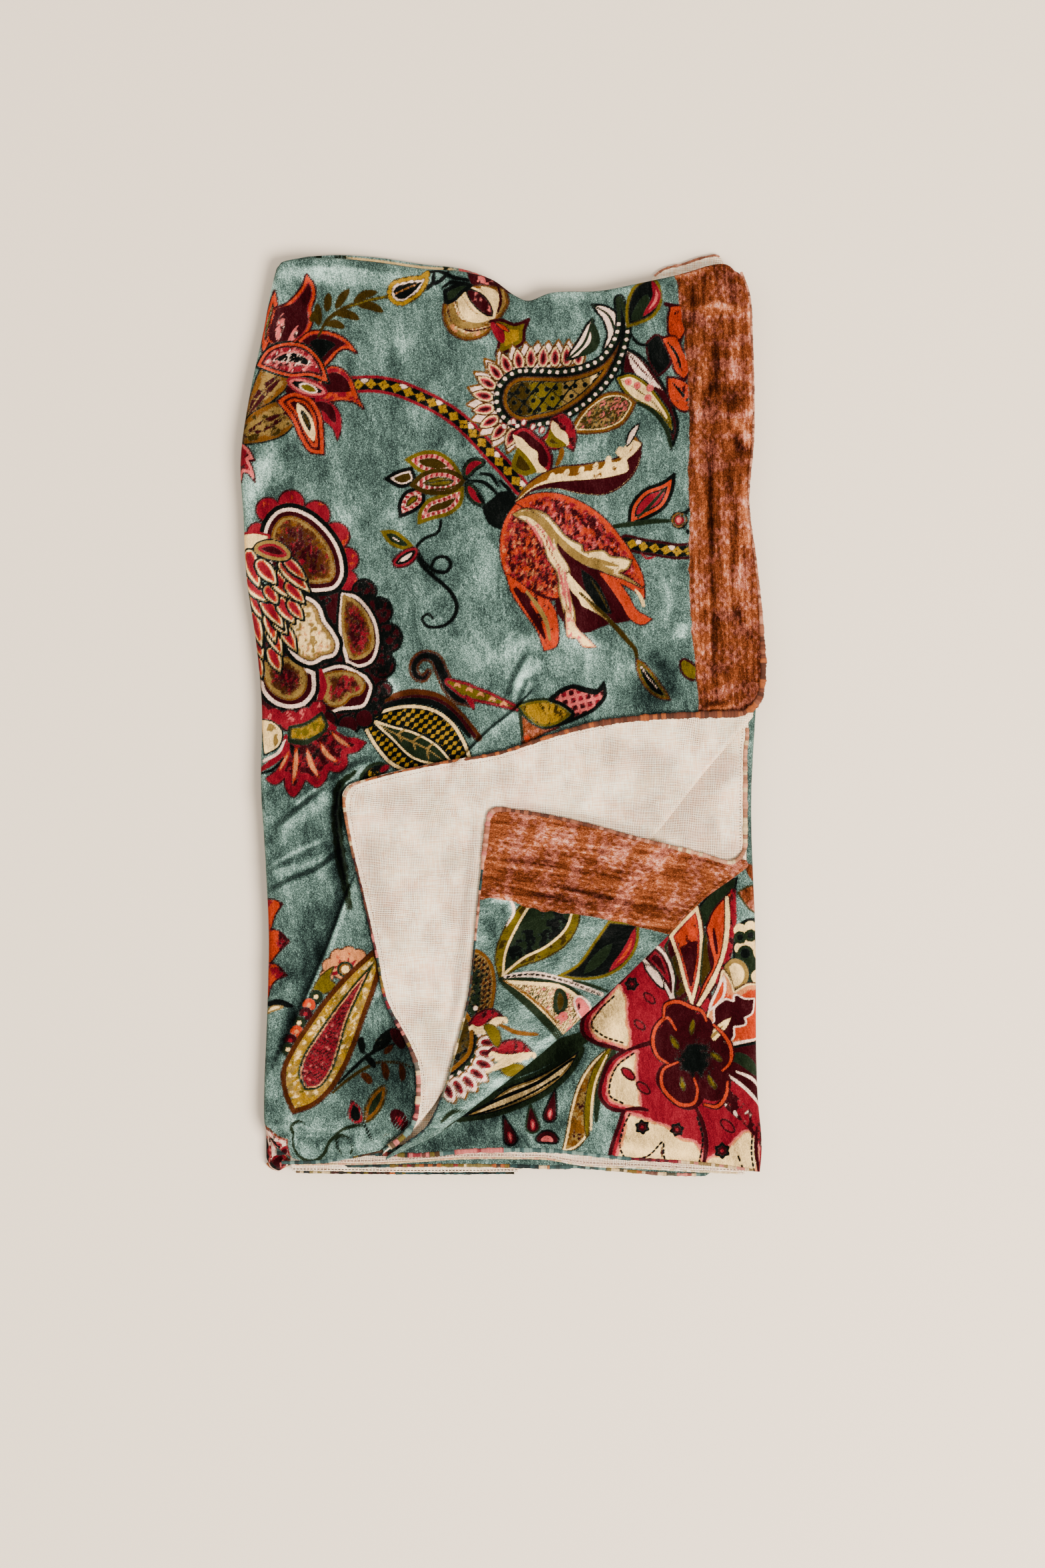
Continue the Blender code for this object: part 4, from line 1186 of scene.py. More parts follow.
def tulip(p):
    """A large coral tulip with twisted cream petals, and a feathered leaf above it."""
    outer = closed(p, [(8, 119), (17, 123), (29, 124), (42, 120), (55, 112), (66, 100), (74, 88),
        (79, 77), (80, 65)], [(72, 71), (62, 76), (50, 84), (38, 92), (30, 99), (24, 108)], maroon=-0.6,
        coral=0)
    speckle(p, outer, "red", 2, 0.5, 1.5, 40)
    speckle(p, outer, "maroon", 3.2, 0.48, 1.5, 41, 0.6)
    speckle(p, outer, "pink", 3.4, 0.3, 1.2, 42)
    closed(p, [(28, 102), (38, 90), (50, 82), (60, 79), (66, 70), (72, 60), (78, 54)],
        [(68, 52), (58, 50), (46, 46), (38, 49), (32, 56), (30, 68), (34, 80)], maroon=0)
    closed(p, [(44, 82), (52, 76), (58, 66), (62, 56)], [(56, 58), (48, 68)], black=0)
    line(p, "bronze", [(50, 76), (56, 66), (60, 58)], 1.2)
    closed(p, [(54, 80), (62, 77), (70, 68), (76, 58), (84, 53.5)],
        [(79, 50.5), (73, 53), (67, 62), (61, 71)], maroon=-0.6, coral=0)
    left = closed(p, [(8, 118), (3, 111), (-0.5, 98), (0.5, 84), (5, 74), (14, 68), (24, 64), (33, 66)],
        [(34, 78), (30, 90), (25, 99), (20, 108)], maroon=-0.6, coral=0)
    speckle(p, left, "red", 2, 0.5, 1.5, 45)
    speckle(p, left, "maroon", 3.4, 0.47, 1.5, 43, -0.2)
    speckle(p, left, "peach", 0.8, 0.28, 1.3, 47)
    curl = closed(p, [(2.5, 79), (6, 68), (13, 57), (20, 47), (24, 36)],
        [(30, 38), (31.5, 50), (29, 60), (23, 67), (14, 71)], maroon=-0.6, coral=0)
    brush(p, [(8, 70), (15, 60), (21, 50), (24, 43)], (1.4, 2.2, 2, 0.8), maroon=0)
    speckle(p, curl, "maroon", 1.6, 0.42, 2.2, 49)
    line(p, "tan", [(14, 69), (20, 61), (25, 52), (27, 42)], 2.4)
    line(p, "maroon", [(14, 71), (24, 66), (33, 64)], 1.6)
    twist = closed(p, [(6, 112), (13, 115.5), (22, 112), (29, 102), (32, 92), (38, 82), (38, 70),
        (41, 58), (42, 46)], [(38, 45), (35, 56), (32, 68), (31, 79), (26, 87), (23, 96), (17, 105)],
        maroon=-0.5, tan=0, cream=0.7)
    speckle(p, twist, "pink", 0.8, 0.3, 1.5, 44)
    brush(p, [(7, 112), (15, 112.5), (24, 106), (29, 96)], (0.6, 2, 1.8, 0.6), tan=0)
    for path in ([(14, 109), (20, 101), (23, 94)], [(31, 84), (34, 74), (36, 62)],
            [(35, 80), (37, 70), (39, 58)], [(26, 100), (29, 92)]):
        line(p, "pink", path, 1.5)
    line(p, "red", [(18, 108), (24, 100), (27, 92), (33, 82)], 0.9)
    closed(p, [(36, 81), (43, 73), (50, 65), (56, 55)], [(49, 59), (45, 61), (43, 65), (40, 68)],
        maroon=-0.4, cream=0)
    foot = closed(p, [(36, 62), (39, 56), (43, 48), (50, 41), (53, 38)],
        [(46, 38), (41, 43), (38, 43), (36, 52)], maroon=-0.4, peach=0, cream=0.8)
    speckle(p, foot, "pink", 0.4, 0.36, 1.5, 46)
    frill = closed(p, [(15, 115.5), (24, 113), (31, 106), (36, 100), (45, 95)], [(46, 91.5), (52, 92)],
        [(57, 92), (61, 89), (68, 88), (73, 86.5)], [(71, 82), (66, 79.5)], [(72, 76), (79, 71)],
        [(68, 76), (58, 79.5), (48, 85), (38, 91), (31, 100), (25, 108)], maroon=-0.6, tan=0, cream=0.9)
    speckle(p, frill, "ochre", 0.5, 0.28, 1.7, 48, 0.8)
    brush(p, [(22, 111), (32, 98), (42, 89), (52, 84), (62, 80)], (0.4, 1.6, 2.2, 2.2, 1), tan=0)
    brush(p, [(50, 88), (58, 85), (66, 83)], (0.4, 1.3, 0.4), tan=0)
    line(p, "cream", [(75, 70), (78, 66), (79.5, 61)], 1.7)
    line(p, "bronze", [(44, 68), (55, 58), (63, 50), (71, 41), (75, 36), (76, 30)], 2.6)
    line(p, "tan", [(46, 66), (53, 58), (59, 53)], 1.2)
    leaf(p, [(75.5, 31.5), (81, 22), (87, 14), (94.5, 8.5)], 4.2, maroon=-0.5, ochre=0, olive=1,
        black=1.9)
    dashes(p, "white", [(78, 27), (82, 21), (87, 15)], 1.4, 0.8)
    feather = closed(p, [(8, 119.5), (18, 126), (30, 127.5), (45, 124.5), (58, 124), (69, 130),
        (76.5, 141), (78, 152)], [(74, 156), (72, 150), (66, 144), (56, 141.5), (44, 139.5), (32, 138.5),
        (22, 134), (13, 127)], maroon=-0.7, ochre=0)
    closed(p, [(8, 119.5), (18, 126), (30, 127), (45, 124), (58, 124), (69, 130), (76.5, 141), (78, 152)],
        [(73, 154), (68, 149), (64, 147)], [(67, 143), (58, 141)], [(57, 139), (46, 136)],
        [(44, 134.5), (36, 133.5)], [(33, 135), (27, 132)], [(18, 128)], cream=0)
    fringe(p, [(27, 131), (36, 133.5), (47, 135.5), (58, 139), (66, 145)], 6, 3.6, 1.5, 0.9, cream=0)
    speckle(p, feather, "ochre", 0.8, 0.24, 1.8, 50, 0.3)
    closed(p, [(8, 119), (18, 125.5), (30, 127), (45, 124), (58, 124), (69, 130), (76.5, 141), (78, 151)],
        [(74, 146), (70, 143)], [(71, 137), (64, 134), (56, 132.5), (46, 131.5), (38, 131), (28, 130),
        (18, 127)], maroon=0)
    leaf(p, [(70, 150), (73, 157), (77, 163)], 1.8, black=-0.4, white=0.5)


def red_leaf_and_berry(p):
    diamond = closed(p, [(71, 106), (72.5, 117), (80, 126), (90, 130), (97, 135)],
        [(95.5, 125), (91, 116), (82, 110.5)], black=-0.6, coral=1.3)
    p.nest(diamond, black=3, red=3.9)
    line(p, "green", [(76, 110), (83, 117), (91, 126)], 1.8)
    line(p, "green", [(60, 105), (74, 107), (88, 108.5), (96, 108.5)], 2.6)
    disc(p, 99.5, 109, 4.6, black=-0.3, ochre=0.4, bronze=1.2, red=2, pink=3)
    for path in ([(103, 113), (106, 116), (108, 120)], [(102, 106), (105, 102), (108, 101)]):
        line(p, "black", path, 1.8)
    braid(p, [(70, 96.5), (78, 94.5), (88, 93), (98, 91.5), (108, 92)], 4.4, "maroon", 6.4)
    line(p, "red", [(78, 90.5), (82, 87.6), (86, 88.8)], 1)


SCALES = [  # (base x, base y, tip x, tip y, half width), the lowest layer first
    (-139, 33, -134.5, 20, 3.4), (-139, 44, -134, 31, 3.6), (-129, 35, -124, 23.5, 3.8),
    (-140, 55, -134.5, 38, 3.8), (-130, 48, -123, 33, 4), (-122, 48, -115, 35, 3.6),
    (-139, 66, -131, 51, 4), (-131, 57, -127, 40, 3.8), (-127, 54, -120, 45, 3.6),
    (-133, 64, -122, 48, 4.2), (-124, 63, -116, 51, 4), (-118, 62, -111, 53, 3.2),
    (-142, 75, -131, 63, 4.6), (-131, 70, -125.5, 62, 3.4), (-128, 78, -116, 64, 4.6),
    (-119, 72, -110, 62, 3.4), (-142, 89, -136, 71, 4.8), (-135, 84, -126, 73, 4.4),
    (-122, 84, -107, 68, 4.4), (-120, 86, -109, 75, 3.2),
]


def layered_flower(p):
    """A many-petalled flower: scalloped petals ringed in black and white, scales at its heart."""
    back = closed(p, [(-142, 66), (-120, 72), (-92, 72), (-72, 60), (-66, 40), (-64, 20), (-68, 2),
        (-88, -6), (-118, -4), (-136, 4), (-145, 30)], black=0)
    speckle(p, back, "maroon", 0.5, 0.74, 3.4, 51)
    crown = union(p, ((-137, 102, 5.5), (-131, 115, 6.5), (-118, 118.5, 7), (-104, 112, 7.5),
        (-93, 100, 7.5), (-87, 87, 6.5), (-87, 75, 6)), maroon=-0.8, red=0)
    speckle(p, crown, "coral", 0.4, 0.26, 2.6, 52)
    beside = union(p, ((-77, 69, 7), (-69, 58, 8), (-64, 43, 8.5), (-67, 28, 7.5), (-66, 14, 5),
        (-72, 5, 6)), black=-0.3, maroon=1)
    speckle(p, beside, "black", 1, 0.5, 2.4, 54)
    top = closed(p, [(-134.5, 97), (-131.5, 108), (-125, 114.8), (-118, 116), (-109, 113), (-100, 106),
        (-92.5, 96), (-89, 86), (-89, 77), (-93, 71), (-101, 69), (-112, 69.5)], [(-128, 80)], black=-2.6,
        white=0, maroon=1.9, ochre=4.4, tan=5.4)
    blend(p, top, "ochre", 5.6, 3, 55)
    blend(p, top, "maroon", 6.2, 7, 53)
    speckle(p, top, "red", 7, 0.4, 1.5, 72)
    speckle(p, top, "brown", 6.6, 0.42, 1.5, 73)
    closed(p, [(-90, 68.5), (-82, 67), (-75, 60.5), (-69.5, 49), (-69, 38), (-72.5, 29.5), (-80, 26.5),
        (-87, 29)], [(-91, 45)], black=-1.6, white=0, maroon=1.7)
    fill = closed(p, [(-89, 68), (-82, 64), (-75, 56), (-71.5, 46), (-72, 37), (-77, 32), (-84, 31),
        (-88, 38)], [(-90, 52)], tan=0)
    blend(p, fill, "ochre", 0.6, 2.4, 57)
    blend(p, fill, "maroon", 1.2, 5, 59)
    speckle(p, fill, "red", 2.2, 0.4, 1.4, 74)
    speckle(p, fill, "brown", 2, 0.4, 1.4, 75)
    closed(p, [(-104, 24), (-103, 12), (-104, 5), (-97, 0.5), (-90, 2.5), (-84, 3), (-77, 4.5),
        (-73.5, 11), (-72.5, 16), (-76, 22)], [(-90, 28)], black=-1.8, white=0, maroon=1.7)
    fill = closed(p, [(-101, 23), (-90, 25), (-79, 22), (-76, 16), (-79, 11), (-84, 9.5), (-88, 5.5),
        (-96, 4.5), (-101, 9)], [(-99, 16)], ochre=0, tan=1.2)
    blend(p, fill, "brown", 1.6, 4, 61)
    blend(p, fill, "maroon", 2.4, 7, 63)
    speckle(p, fill, "red", 2.6, 0.4, 1.4, 76)
    brush(p, [(-101.5, 25), (-100, 15), (-103, 6)], (1, 2.2, 1.2), red=0)
    closed(p, [(-137, 22), (-134.5, 13), (-127.5, 6), (-119, 3.6), (-110.5, 5.5), (-105, 12),
        (-104.5, 24)], [(-120, 30)], black=-2.2, white=0, maroon=2.2)
    fill = closed(p, [(-134, 30), (-132, 16), (-125, 9.5), (-117, 8), (-111, 12), (-109, 22), (-111, 27)],
        [(-122, 33)], ochre=0, tan=1)
    blend(p, fill, "brown", 1.8, 4, 65)
    blend(p, fill, "maroon", 2.6, 7, 67)
    speckle(p, fill, "red", 3, 0.42, 1.4, 77)
    speckle(p, fill, "brown", 2.8, 0.36, 1.4, 78)
    cream = closed(p, [(-117, 66.5), (-108, 66), (-101.5, 60.5), (-99, 53.5), (-94, 46.5), (-91, 39.5),
        (-93.5, 33), (-100, 31)], [(-106, 28), (-114, 30.5), (-121, 38)], [(-122, 52)], black=-2.4,
        white=0)
    p.nest(cream, black=1.8, ochre=2.3, tan=2.9)
    blend(p, cream, "cream", 3, 4, 69)
    speckle(p, cream, "tan", 3.6, 0.4, 1.5, 79)
    speckle(p, cream, "peach", 3.6, 0.3, 1.5, 80)
    closed(p, [(-146, 101), (-138, 101.5), (-131, 100)], [(-134, 94), (-132, 90)],
        [(-140, 86), (-146, 84)], [], red=-1.4, cream=0)
    first = leaf(p, [(-139, 93.5), (-129, 92.5), (-118.5, 88.5)], 5.4)
    for x0, y0, x1, y1, width in SCALES:
        brush(p, [(x0, y0), ((x0 + x1) / 2, (y0 + y1) / 2), (x1, y1)],
            (width * 0.8, width, width * 0.85, width * 0.45, 0), black=-1.1, tan=0, cream=0.5)
        brush(p, [(x0, y0), ((x0 + x1) / 2, (y0 + y1) / 2),
            (x0 + (x1 - x0) * 0.82, y0 + (y1 - y0) * 0.82)], (width * 0.5, width * 0.55, width * 0.35, 0),
            coral=-0.4, red=0.4)
    p.nest(first, black=-0.9, tan=0, red=1.8, maroon=3.4)


def leaf_at_fold(p):
    """The dark leaf at the top fold, and the half flower beside the band."""
    closed(p, [(70, 217), (69.5, 228), (73, 239), (84.5, 249)],
        [(89, 240), (89.5, 230), (85, 223), (78, 219.5)], olive=0, bronze=1.4, black=2)
    leaf(p, [(73, 221), (78, 227), (82, 236)], 3.6, green=0)
    leaf(p, [(84, 245), (87, 235), (79, 223)], 2.4, red=0, pink=1.5)
    closed(p, [(81, 208), (87, 213), (94, 206), (94, 196), (88, 190)], [(83, 198)], maroon=-0.6,
        black=0.5)
    line(p, "black", [(72, 214), (77, 208), (82, 207)], 1.6)
    line(p, "maroon", [(92, 230.5), (100, 228), (104, 212), (106, 196), (108, 178), (109, 160)], 3.2)
    for down, up in (([(95, 229), (102, 229), (104, 220), (100, 210)], [(95, 212), (93.5, 220)]),
            ([(90, 211), (97, 212), (101, 205), (105, 194), (103, 188)], [(98, 192), (95, 200)]),
            ([(93, 189), (99, 188), (108, 181), (109, 172)], [(101, 170.5), (95, 176)])):
        petal = closed(p, down, up, maroon=-0.9, coral=0.2)
        speckle(p, petal, "maroon", 2, 0.4, 2.6, 91)
    for path in ([(93, 209), (98, 202), (101, 193)], [(96, 186), (101, 180), (105, 175)]):
        line(p, "black", path, 1.6)


def red_fan(p):
    """The fan of red leaves below the layered flower."""
    closed(p, [(-138, 10), (-122, 2), (-104, 4), (-84, -2)],
        [(-92, -9), (-104, -12), (-122, -9), (-138, -4)], [], maroon=0)
    union(p, ((-98, -3, 6), (-86, -6, 6.5), (-77, -2, 6)), black=0, maroon=1.4)
    frill = union(p, ((-136, 1, 5), (-128, -1.5, 5), (-119, -3, 5.5), (-110, -1, 5), (-103, 3, 4.5)),
        maroon=-0.8, red=0)
    speckle(p, frill, "pink", 0.4, 0.28, 2, 92)
    fan = closed(p, [(-101, 0), (-88, -10), (-76, -15.5)], [(-81, -20.5), (-87, -22)],
        [(-86.5, -28), (-91, -32), (-97, -31)], [(-99, -37), (-103, -40.5), (-110, -36)],
        [(-113, -42), (-117, -46), (-121, -41), (-121.5, -35)],
        [(-127, -39), (-132, -36), (-127, -32), (-124, -28)], [(-121, -20), (-117, -8)], [(-109, -4)],
        maroon=-0.6, red=0)
    p.nest(fan, maroon=3.4)
    speckle(p, fan, "red", 3.6, 0.4, 1.8, 93, 1.2)
    heart = union(p, ((-110, -18, 9), (-101, -12, 8)))
    speckle(p, heart, "black", 0, 0.4, 1.8, 94)
    for path, width in (([(-119, -20), (-122, -26), (-125, -32)], 1.3),
            ([(-115, -17), (-115.5, -28), (-117, -39)], 1.7),
            ([(-109.5, -18), (-107, -27), (-102, -36)], 1.8),
            ([(-102, -15), (-98, -22), (-91, -27)], 1.7), ([(-96, -9), (-91, -14), (-84, -18.5)], 1.5)):
        leaf(p, path, width, coral=0, peach=0.6)
    bowl = closed(p, [(-119, -7), (-110, -5), (-101, 1)],
        [(-98, -6), (-104, -13), (-112, -15), (-119.5, -14)], [], green=-0.8, bronze=0.6, olive=1.2)
    speckle(p, bowl, "gold", 1.6, 0.45, 1.6, 95)
    line(p, "green", [(-119, -15), (-110, -15.5), (-102, -11)], 2.6)
    petal = closed(p, [(-136, -3), (-129, -4), (-123.5, -10), (-125, -17), (-133, -22)], [(-134.5, -12)],
        black=-0.9, cream=0)
    speckle(p, petal, "tan", 1, 0.4, 3, 97)
    line(p, "red", [(-121, -12), (-123, -21), (-131, -28), (-136, -31)], 3.2)
    line(p, "white", [(-121.5, -14), (-125, -21), (-134, -26)], 1.5)
    line(p, "black", [(-122, -24), (-129, -31), (-136, -33)], 1.4)
    closed(p, [(-92, -6), (-84, -8), (-79, -13)], [(-87, -12.5), (-93, -9)], [], ground=0)


def check_leaf(p):
    """A leaf with black and olive checks, and a veined leaf on it."""
    line(p, "brown", [(-72, 3), (-62, 8.5), (-49, 11), (-36, 8.5), (-25, 0), (-13, -13)], 6.6, 40)
    line(p, "maroon", [(-68, 5), (-50, 9.5), (-36, 7.6), (-25, -0.5), (-15, -12)], 3.4, 40)
    line(p, "black", [(-72, 2), (-62, 6), (-49, 8), (-37, 6), (-27, -1), (-18, -12)], 3.2, 40)
    shape = closed(p, [(-75.5, -1), (-64, 3.5), (-50, 5.5), (-38, 3.2), (-28, -3.5), (-21, -14),
        (-16, -27)], [(-30, -32), (-50, -33), (-62, -28), (-71, -18), (-77.5, -7)], [], black=-0.8,
        cream=0)
    p.nest(shape, black=1.7)
    at, distance = shape
    u, v = p.x[at] - 0.12 * p.y[at], p.y[at] + 0.12 * p.x[at]
    pitch = 5.1
    checks = np.sin(np.pi * u / pitch * 2) * np.sin(np.pi * v / pitch * 2) * pitch * 0.45
    p.paint("gold", at, np.minimum(distance - 2.4, checks - 0.3))
    closed(p, [(-76, -1), (-62, -6), (-48, -10), (-36, -17), (-27, -27)],
        [(-38, -28), (-50, -24.5), (-62, -13.5)], black=-1.2, cream=0, green=1.2)
    line(p, "tan", [(-72, -4), (-56, -12.5), (-44, -18), (-32, -26)], 1.1)
    for x0, y0, x1, y1 in ((-58, -11, -54, -8), (-58, -11.5, -56, -15), (-50, -15, -45, -11.5),
            (-50, -15.5, -48, -20), (-42, -19, -38, -16), (-42, -19.5, -41, -25)):
        line(p, "tan", [(x0, y0), (x1, y1)], 1.1, 6)


SCROLL = [
    (-17, 5), (-25, 10), (-30, 16), (-33.5, 24), (-38, 32), (-44, 33), (-49, 28), (-48, 22),
    (-43.5, 20.5), (-41, 24),
]


def scroll_and_stem(p):
    """A dark scroll, and the stem from it to an olive leaf and a checked one."""
    brush(p, SCROLL, (1.2, 3.6, 4, 4, 3.8, 3.2, 3, 2.8, 2), 50, brown=0.2, maroon=1.1, black=1.7)
    brush(p, [(-30, 18.5), (-19, 13), (-8, 9.5), (2, 6), (10, 3.2)], (2, 4.4, 3.6, 2.4, 1.4), 30,
        maroon=-0.5, red=0, bronze=1.2, olive=1.6)
    for row in range(5):
        x, y = -25 + row * 6.5, 16.6 - row * 2.6
        leaf(p, [(x - 2, y - 1), (x, y + 0.4), (x + 2.6, y - 1.8)], 0.9, peach=0)
    leaf(p, [(-20, 11), (-17, 6.5), (-15.5, 3)], 1.4, maroon=-0.4, red=0)
    olive = closed(p, [(9.5, 5), (18, 7.5), (28, 7.5), (35, 4), (39, 0)],
        [(30, -5.5), (22, -6.5), (14, -1)], green=-1.3, olive=0, gold=1.4)
    speckle(p, olive, "bronze", 0.8, 0.35, 1.7, 101)
    checked = closed(p, [(26, 8), (33, 13.5), (40, 16), (48, 13.5), (53, 13), (57.5, 18.5)],
        [(58.5, 11), (53, 3.5), (44, -1.5), (34, -5.5), (26, -8)], [(36, -3), (39.5, 0), (34, 5)],
        black=-0.4, maroon=1.6, red=2)
    speckle(p, checked, "maroon", 1.8, 0.55, 3, 103)
    net(p, checked, "pink", 1.6, 4.3, 0.75, 0.25)
    line(p, "black", [(27, 9), (34, 14), (40, 16), (49, 14), (54, 14), (57, 18)], 1.8)
    wedge = closed(p, [(10.5, 0), (16, -5), (24, -8.5), (32, -7)], [(22, -11), (12, -18)], [],
        maroon=-0.6, rust=0)
    speckle(p, wedge, "coral", 0.8, 0.35, 3, 105)
    line(p, "green", [(10, 3), (11, -6), (12, -14)], 1.6)
    leaf(p, [(101, 31), (105, 25), (111, 20)], 4.6, maroon=0, olive=1.2)


def draw_fold_end(p):
    """Part of a petal on the crumpled fold end, cream and maroon in a rust outline."""
    petal = closed(p, [(-136, -230), (-131, -233), (-128.5, -238), (-124, -245), (-119, -251)],
        [(-116, -256), (-126, -260), (-137, -258)], [(-138, -244)], rust=0, pink=1.2, white=2)
    closed(p, [(-128, -249), (-124, -247.5), (-121, -251)], [(-125, -256.5), (-130, -252.5)], [],
        red=-0.8, maroon=0.5)
    brush(p, [(-133.5, -238), (-132.5, -246), (-131, -252), (-126, -256.5)], (0.8, 1.8, 1.6, 0.8),
        black=0)
    brush(p, [(-130.5, -243), (-131, -246), (-130, -249)], (0.6, 1.4, 0.6), red=0)
    speckle(p, petal, "maroon", 1.4, 0.32, 2.2, 181)
    speckle(p, petal, "pink", 1.4, 0.3, 2, 183)


def draw_panel_1_lower(p):
    """The print below the flap's level, beside the turned corner."""
    for above, below in (([(-136, -104), (-127, -104), (-123, -106)], [(-127, -112), (-130, -122)]),
            ([(-137, -122), (-126, -121), (-119, -127)], [(-126, -134), (-131, -141)]),
            ([(-137, -140), (-127, -140), (-120.5, -146)], [(-127, -149), (-132, -159)])):
        thorn = closed(p, above, below, [(-138, below[-1][1])], maroon=-0.5, coral=0.3)
        at, distance = thorn
        p.paint("maroon", at, np.minimum(distance, (p.x[at] + 125) * 0.8))
        speckle(p, thorn, "red", 0.3, 0.35, 2.6, 111)
    leaf(p, [(-134, -163), (-126, -161.5), (-116, -164)], 1.9, black=0)
    leaf(p, [(-133, -168), (-129, -165), (-122, -163.5)], 1.6, tan=0, cream=0.7)
    rosette = union(p, ((-98, -146.5, 3.4), (-96, -140.5, 3.8), (-91.5, -135.5, 4), (-85.5, -134, 4),
        (-80, -135.5, 3.8), (-88, -141, 7)), brown=-0.7, peach=0)
    blend(p, rosette, "coral", 1.6, 5, 113)
    for x, y in ((-98, -146), (-95.5, -140.5), (-91.5, -136.5), (-85.5, -135.5), (-80.5, -136.5)):
        leaf(p, [(-87, -143), (x, y)], 1.3, SPEAR, red=0)
    disc(p, -87.5, -142.5, 4.6, green=0, ochre=1.3, cream=2.4)
    closed(p, [(-107, -157), (-103, -149), (-98, -143.5), (-94, -141)],
        [(-96, -148), (-92, -152), (-100, -156)], bronze=-0.6, olive=0.2)
    for i, (x, y) in enumerate(((-106, -156.5), (-110, -161), (-112, -166), (-115.5, -171), (-117, -176),
            (-120.5, -181), (-122, -186))):
        disc(p, x + 2.2, y - 1.4, 4, black=0, **{("green", "coral", "maroon")[i % 3]: 0.5},
            **{("cream", "peach", "red")[i % 3]: 2.7})
    outer = closed(p, [(-70.5, -130.5), (-84, -142.5), (-97, -156.5), (-108, -171.5), (-118, -187),
        (-123.5, -200), (-122.5, -212), (-117.5, -224)], [(-106, -220), (-96, -211.5), (-88, -199),
        (-81.5, -184), (-76, -168), (-70, -151), (-67.5, -140)], maroon=-0.3, brown=0.1, gold=2.6)
    speckle(p, outer, "tan", 3, 0.4, 1.6, 114)
    speckle(p, outer, "cream", 3.4, 0.36, 1.4, 115)
    speckle(p, outer, "olive", 2.8, 0.3, 1.2, 116)
    core = closed(p, [(-71, -138), (-82, -150), (-93, -164), (-103.5, -179), (-111.5, -192), (-114, -202),
        (-110.5, -210.5)], [(-103, -209.5), (-96, -201.5), (-91, -188), (-86.5, -172), (-79.5, -156)],
        olive=-0.4, green=0, peach=1.1, maroon=1.75, red=2.1)
    net(p, core, "maroon", 2.8, 2.1, 0.28, 1.08)
    speckle(p, core, "pink", 3, 0.24, 1.6, 117, 1.1)
    for path, ink, width in (([(-95, -212), (-87, -205), (-78, -199), (-70, -195), (-62, -194.5)],
            "bronze", 1.5), ([(-92, -207), (-84, -199), (-75, -191), (-68, -187), (-58, -184)], "black",
            1.6), ([(-66, -194.5), (-58, -195), (-50, -197.5)], "bronze", 1.2),
            ([(-76, -191), (-78.5, -186), (-78, -181)], "black", 1.8),
            ([(-111, -231), (-114, -228), (-118.5, -230.5), (-120.5, -237), (-118, -245), (-112, -249.5),
            (-104, -250), (-99.5, -246), (-97, -240), (-92, -236), (-86.5, -237), (-84, -241),
            (-84.5, -246)], "green", 1.7), ([(-92, -236), (-92.5, -241), (-90, -246.5)], "green", 1.4),
            ([(-95, -238), (-90, -233), (-83, -230.5), (-77, -230)], "green", 1.5),
            ([(-78, -227), (-75.5, -233), (-73, -238), (-69.5, -243)], "black", 1.8)):
        line(p, ink, path, width, 48)
    for x0, y0, x1, y1, ink, width in ((-79, -201, -73, -207, "brown", 2),
            (-67, -194, -64.5, -205, "brown", 1.9), (-57, -195, -55.5, -206, "brown", 1.7),
            (-66, -190, -61, -185, "brown", 1.6), (-72, -189, -60, -176, "black", 3.4),
            (-66, -182, -58, -176, "black", 3), (-62, -176, -55, -187, "maroon", 3.4),
            (-78, -190, -80, -181, "black", 1.9), (-76, -192, -71, -198, "black", 1.9),
            (-61, -222, -55, -233, "maroon", 4.4), (-59.5, -225, -56, -231, "red", 1.6),
            (-67, -236, -58, -241, "bronze", 2.6)):
        p.paint(ink, *leaf(p, [(x0, y0), ((x0 + x1) / 2 + 0.6, (y0 + y1) / 2 + 0.6), (x1, y1)], width))
    speckle(p, union(p, ((-68, -184, 3),)), "tan", 0.4, 0.4, 1.4, 118)
    # Dark green print in the hollow beside the corner's left hem, blended to black inside: print, and
    # painted shade of the hollow.
    shaded_hollow = brush(p, [(-82, -32), (-90, -39), (-92.5, -52), (-91.5, -70), (-88.5, -90), (-85, -108)],
        (1, 2.4, 2.6, 2.8, 2.6, 1.5), 40)
    blend(p, grown(shaded_hollow, 0.8), "green", 0, 2, 120)
    blend(p, shaded_hollow, "black", 0.4, 2.6, 121)
    leaf(p, [(-78, -37), (-72, -32), (-66, -28.5)], 2.8, green=-1.6, black=0)
    speckle(p, union(p, ((-72, -33, 3.4),)), "gold", 0.6, 0.5, 1.6, 119)
    leaf(p, [(-68, -32), (-65, -29.5), (-63, -28.5)], 1.4, maroon=-0.6, red=0)
    leaf(p, [(-65, -207), (-70, -216), (-77, -229)], 4.6, bronze=0, ochre=1, green=2.6)
    closed(p, [(-84, -216), (-79.5, -220), (-78, -228)], [(-82, -229), (-85.5, -226)], maroon=-0.4, red=0,
        black=1.2)
    draw_fold_end(p)


def draw_panel_1(p):
    for draw in (left_edge_bits, check_leaf, diamond_stem, pointed_flower, olive_twig, small_paisley,
            striped_bud, paisley_leaves, big_paisley, bells, leaf_at_fold, lotus_bud, red_leaf_and_berry,
            tulip, scroll_and_stem, layered_flower, red_fan, draw_panel_1_lower):
        draw(p)
    waver = 1.6 * (soft_noise(p.x, p.y, 5, 91) - 0.5)
    p.paint("rust", np.arange(p.x.size), p.x - band_edge_1(p.y) + waver)


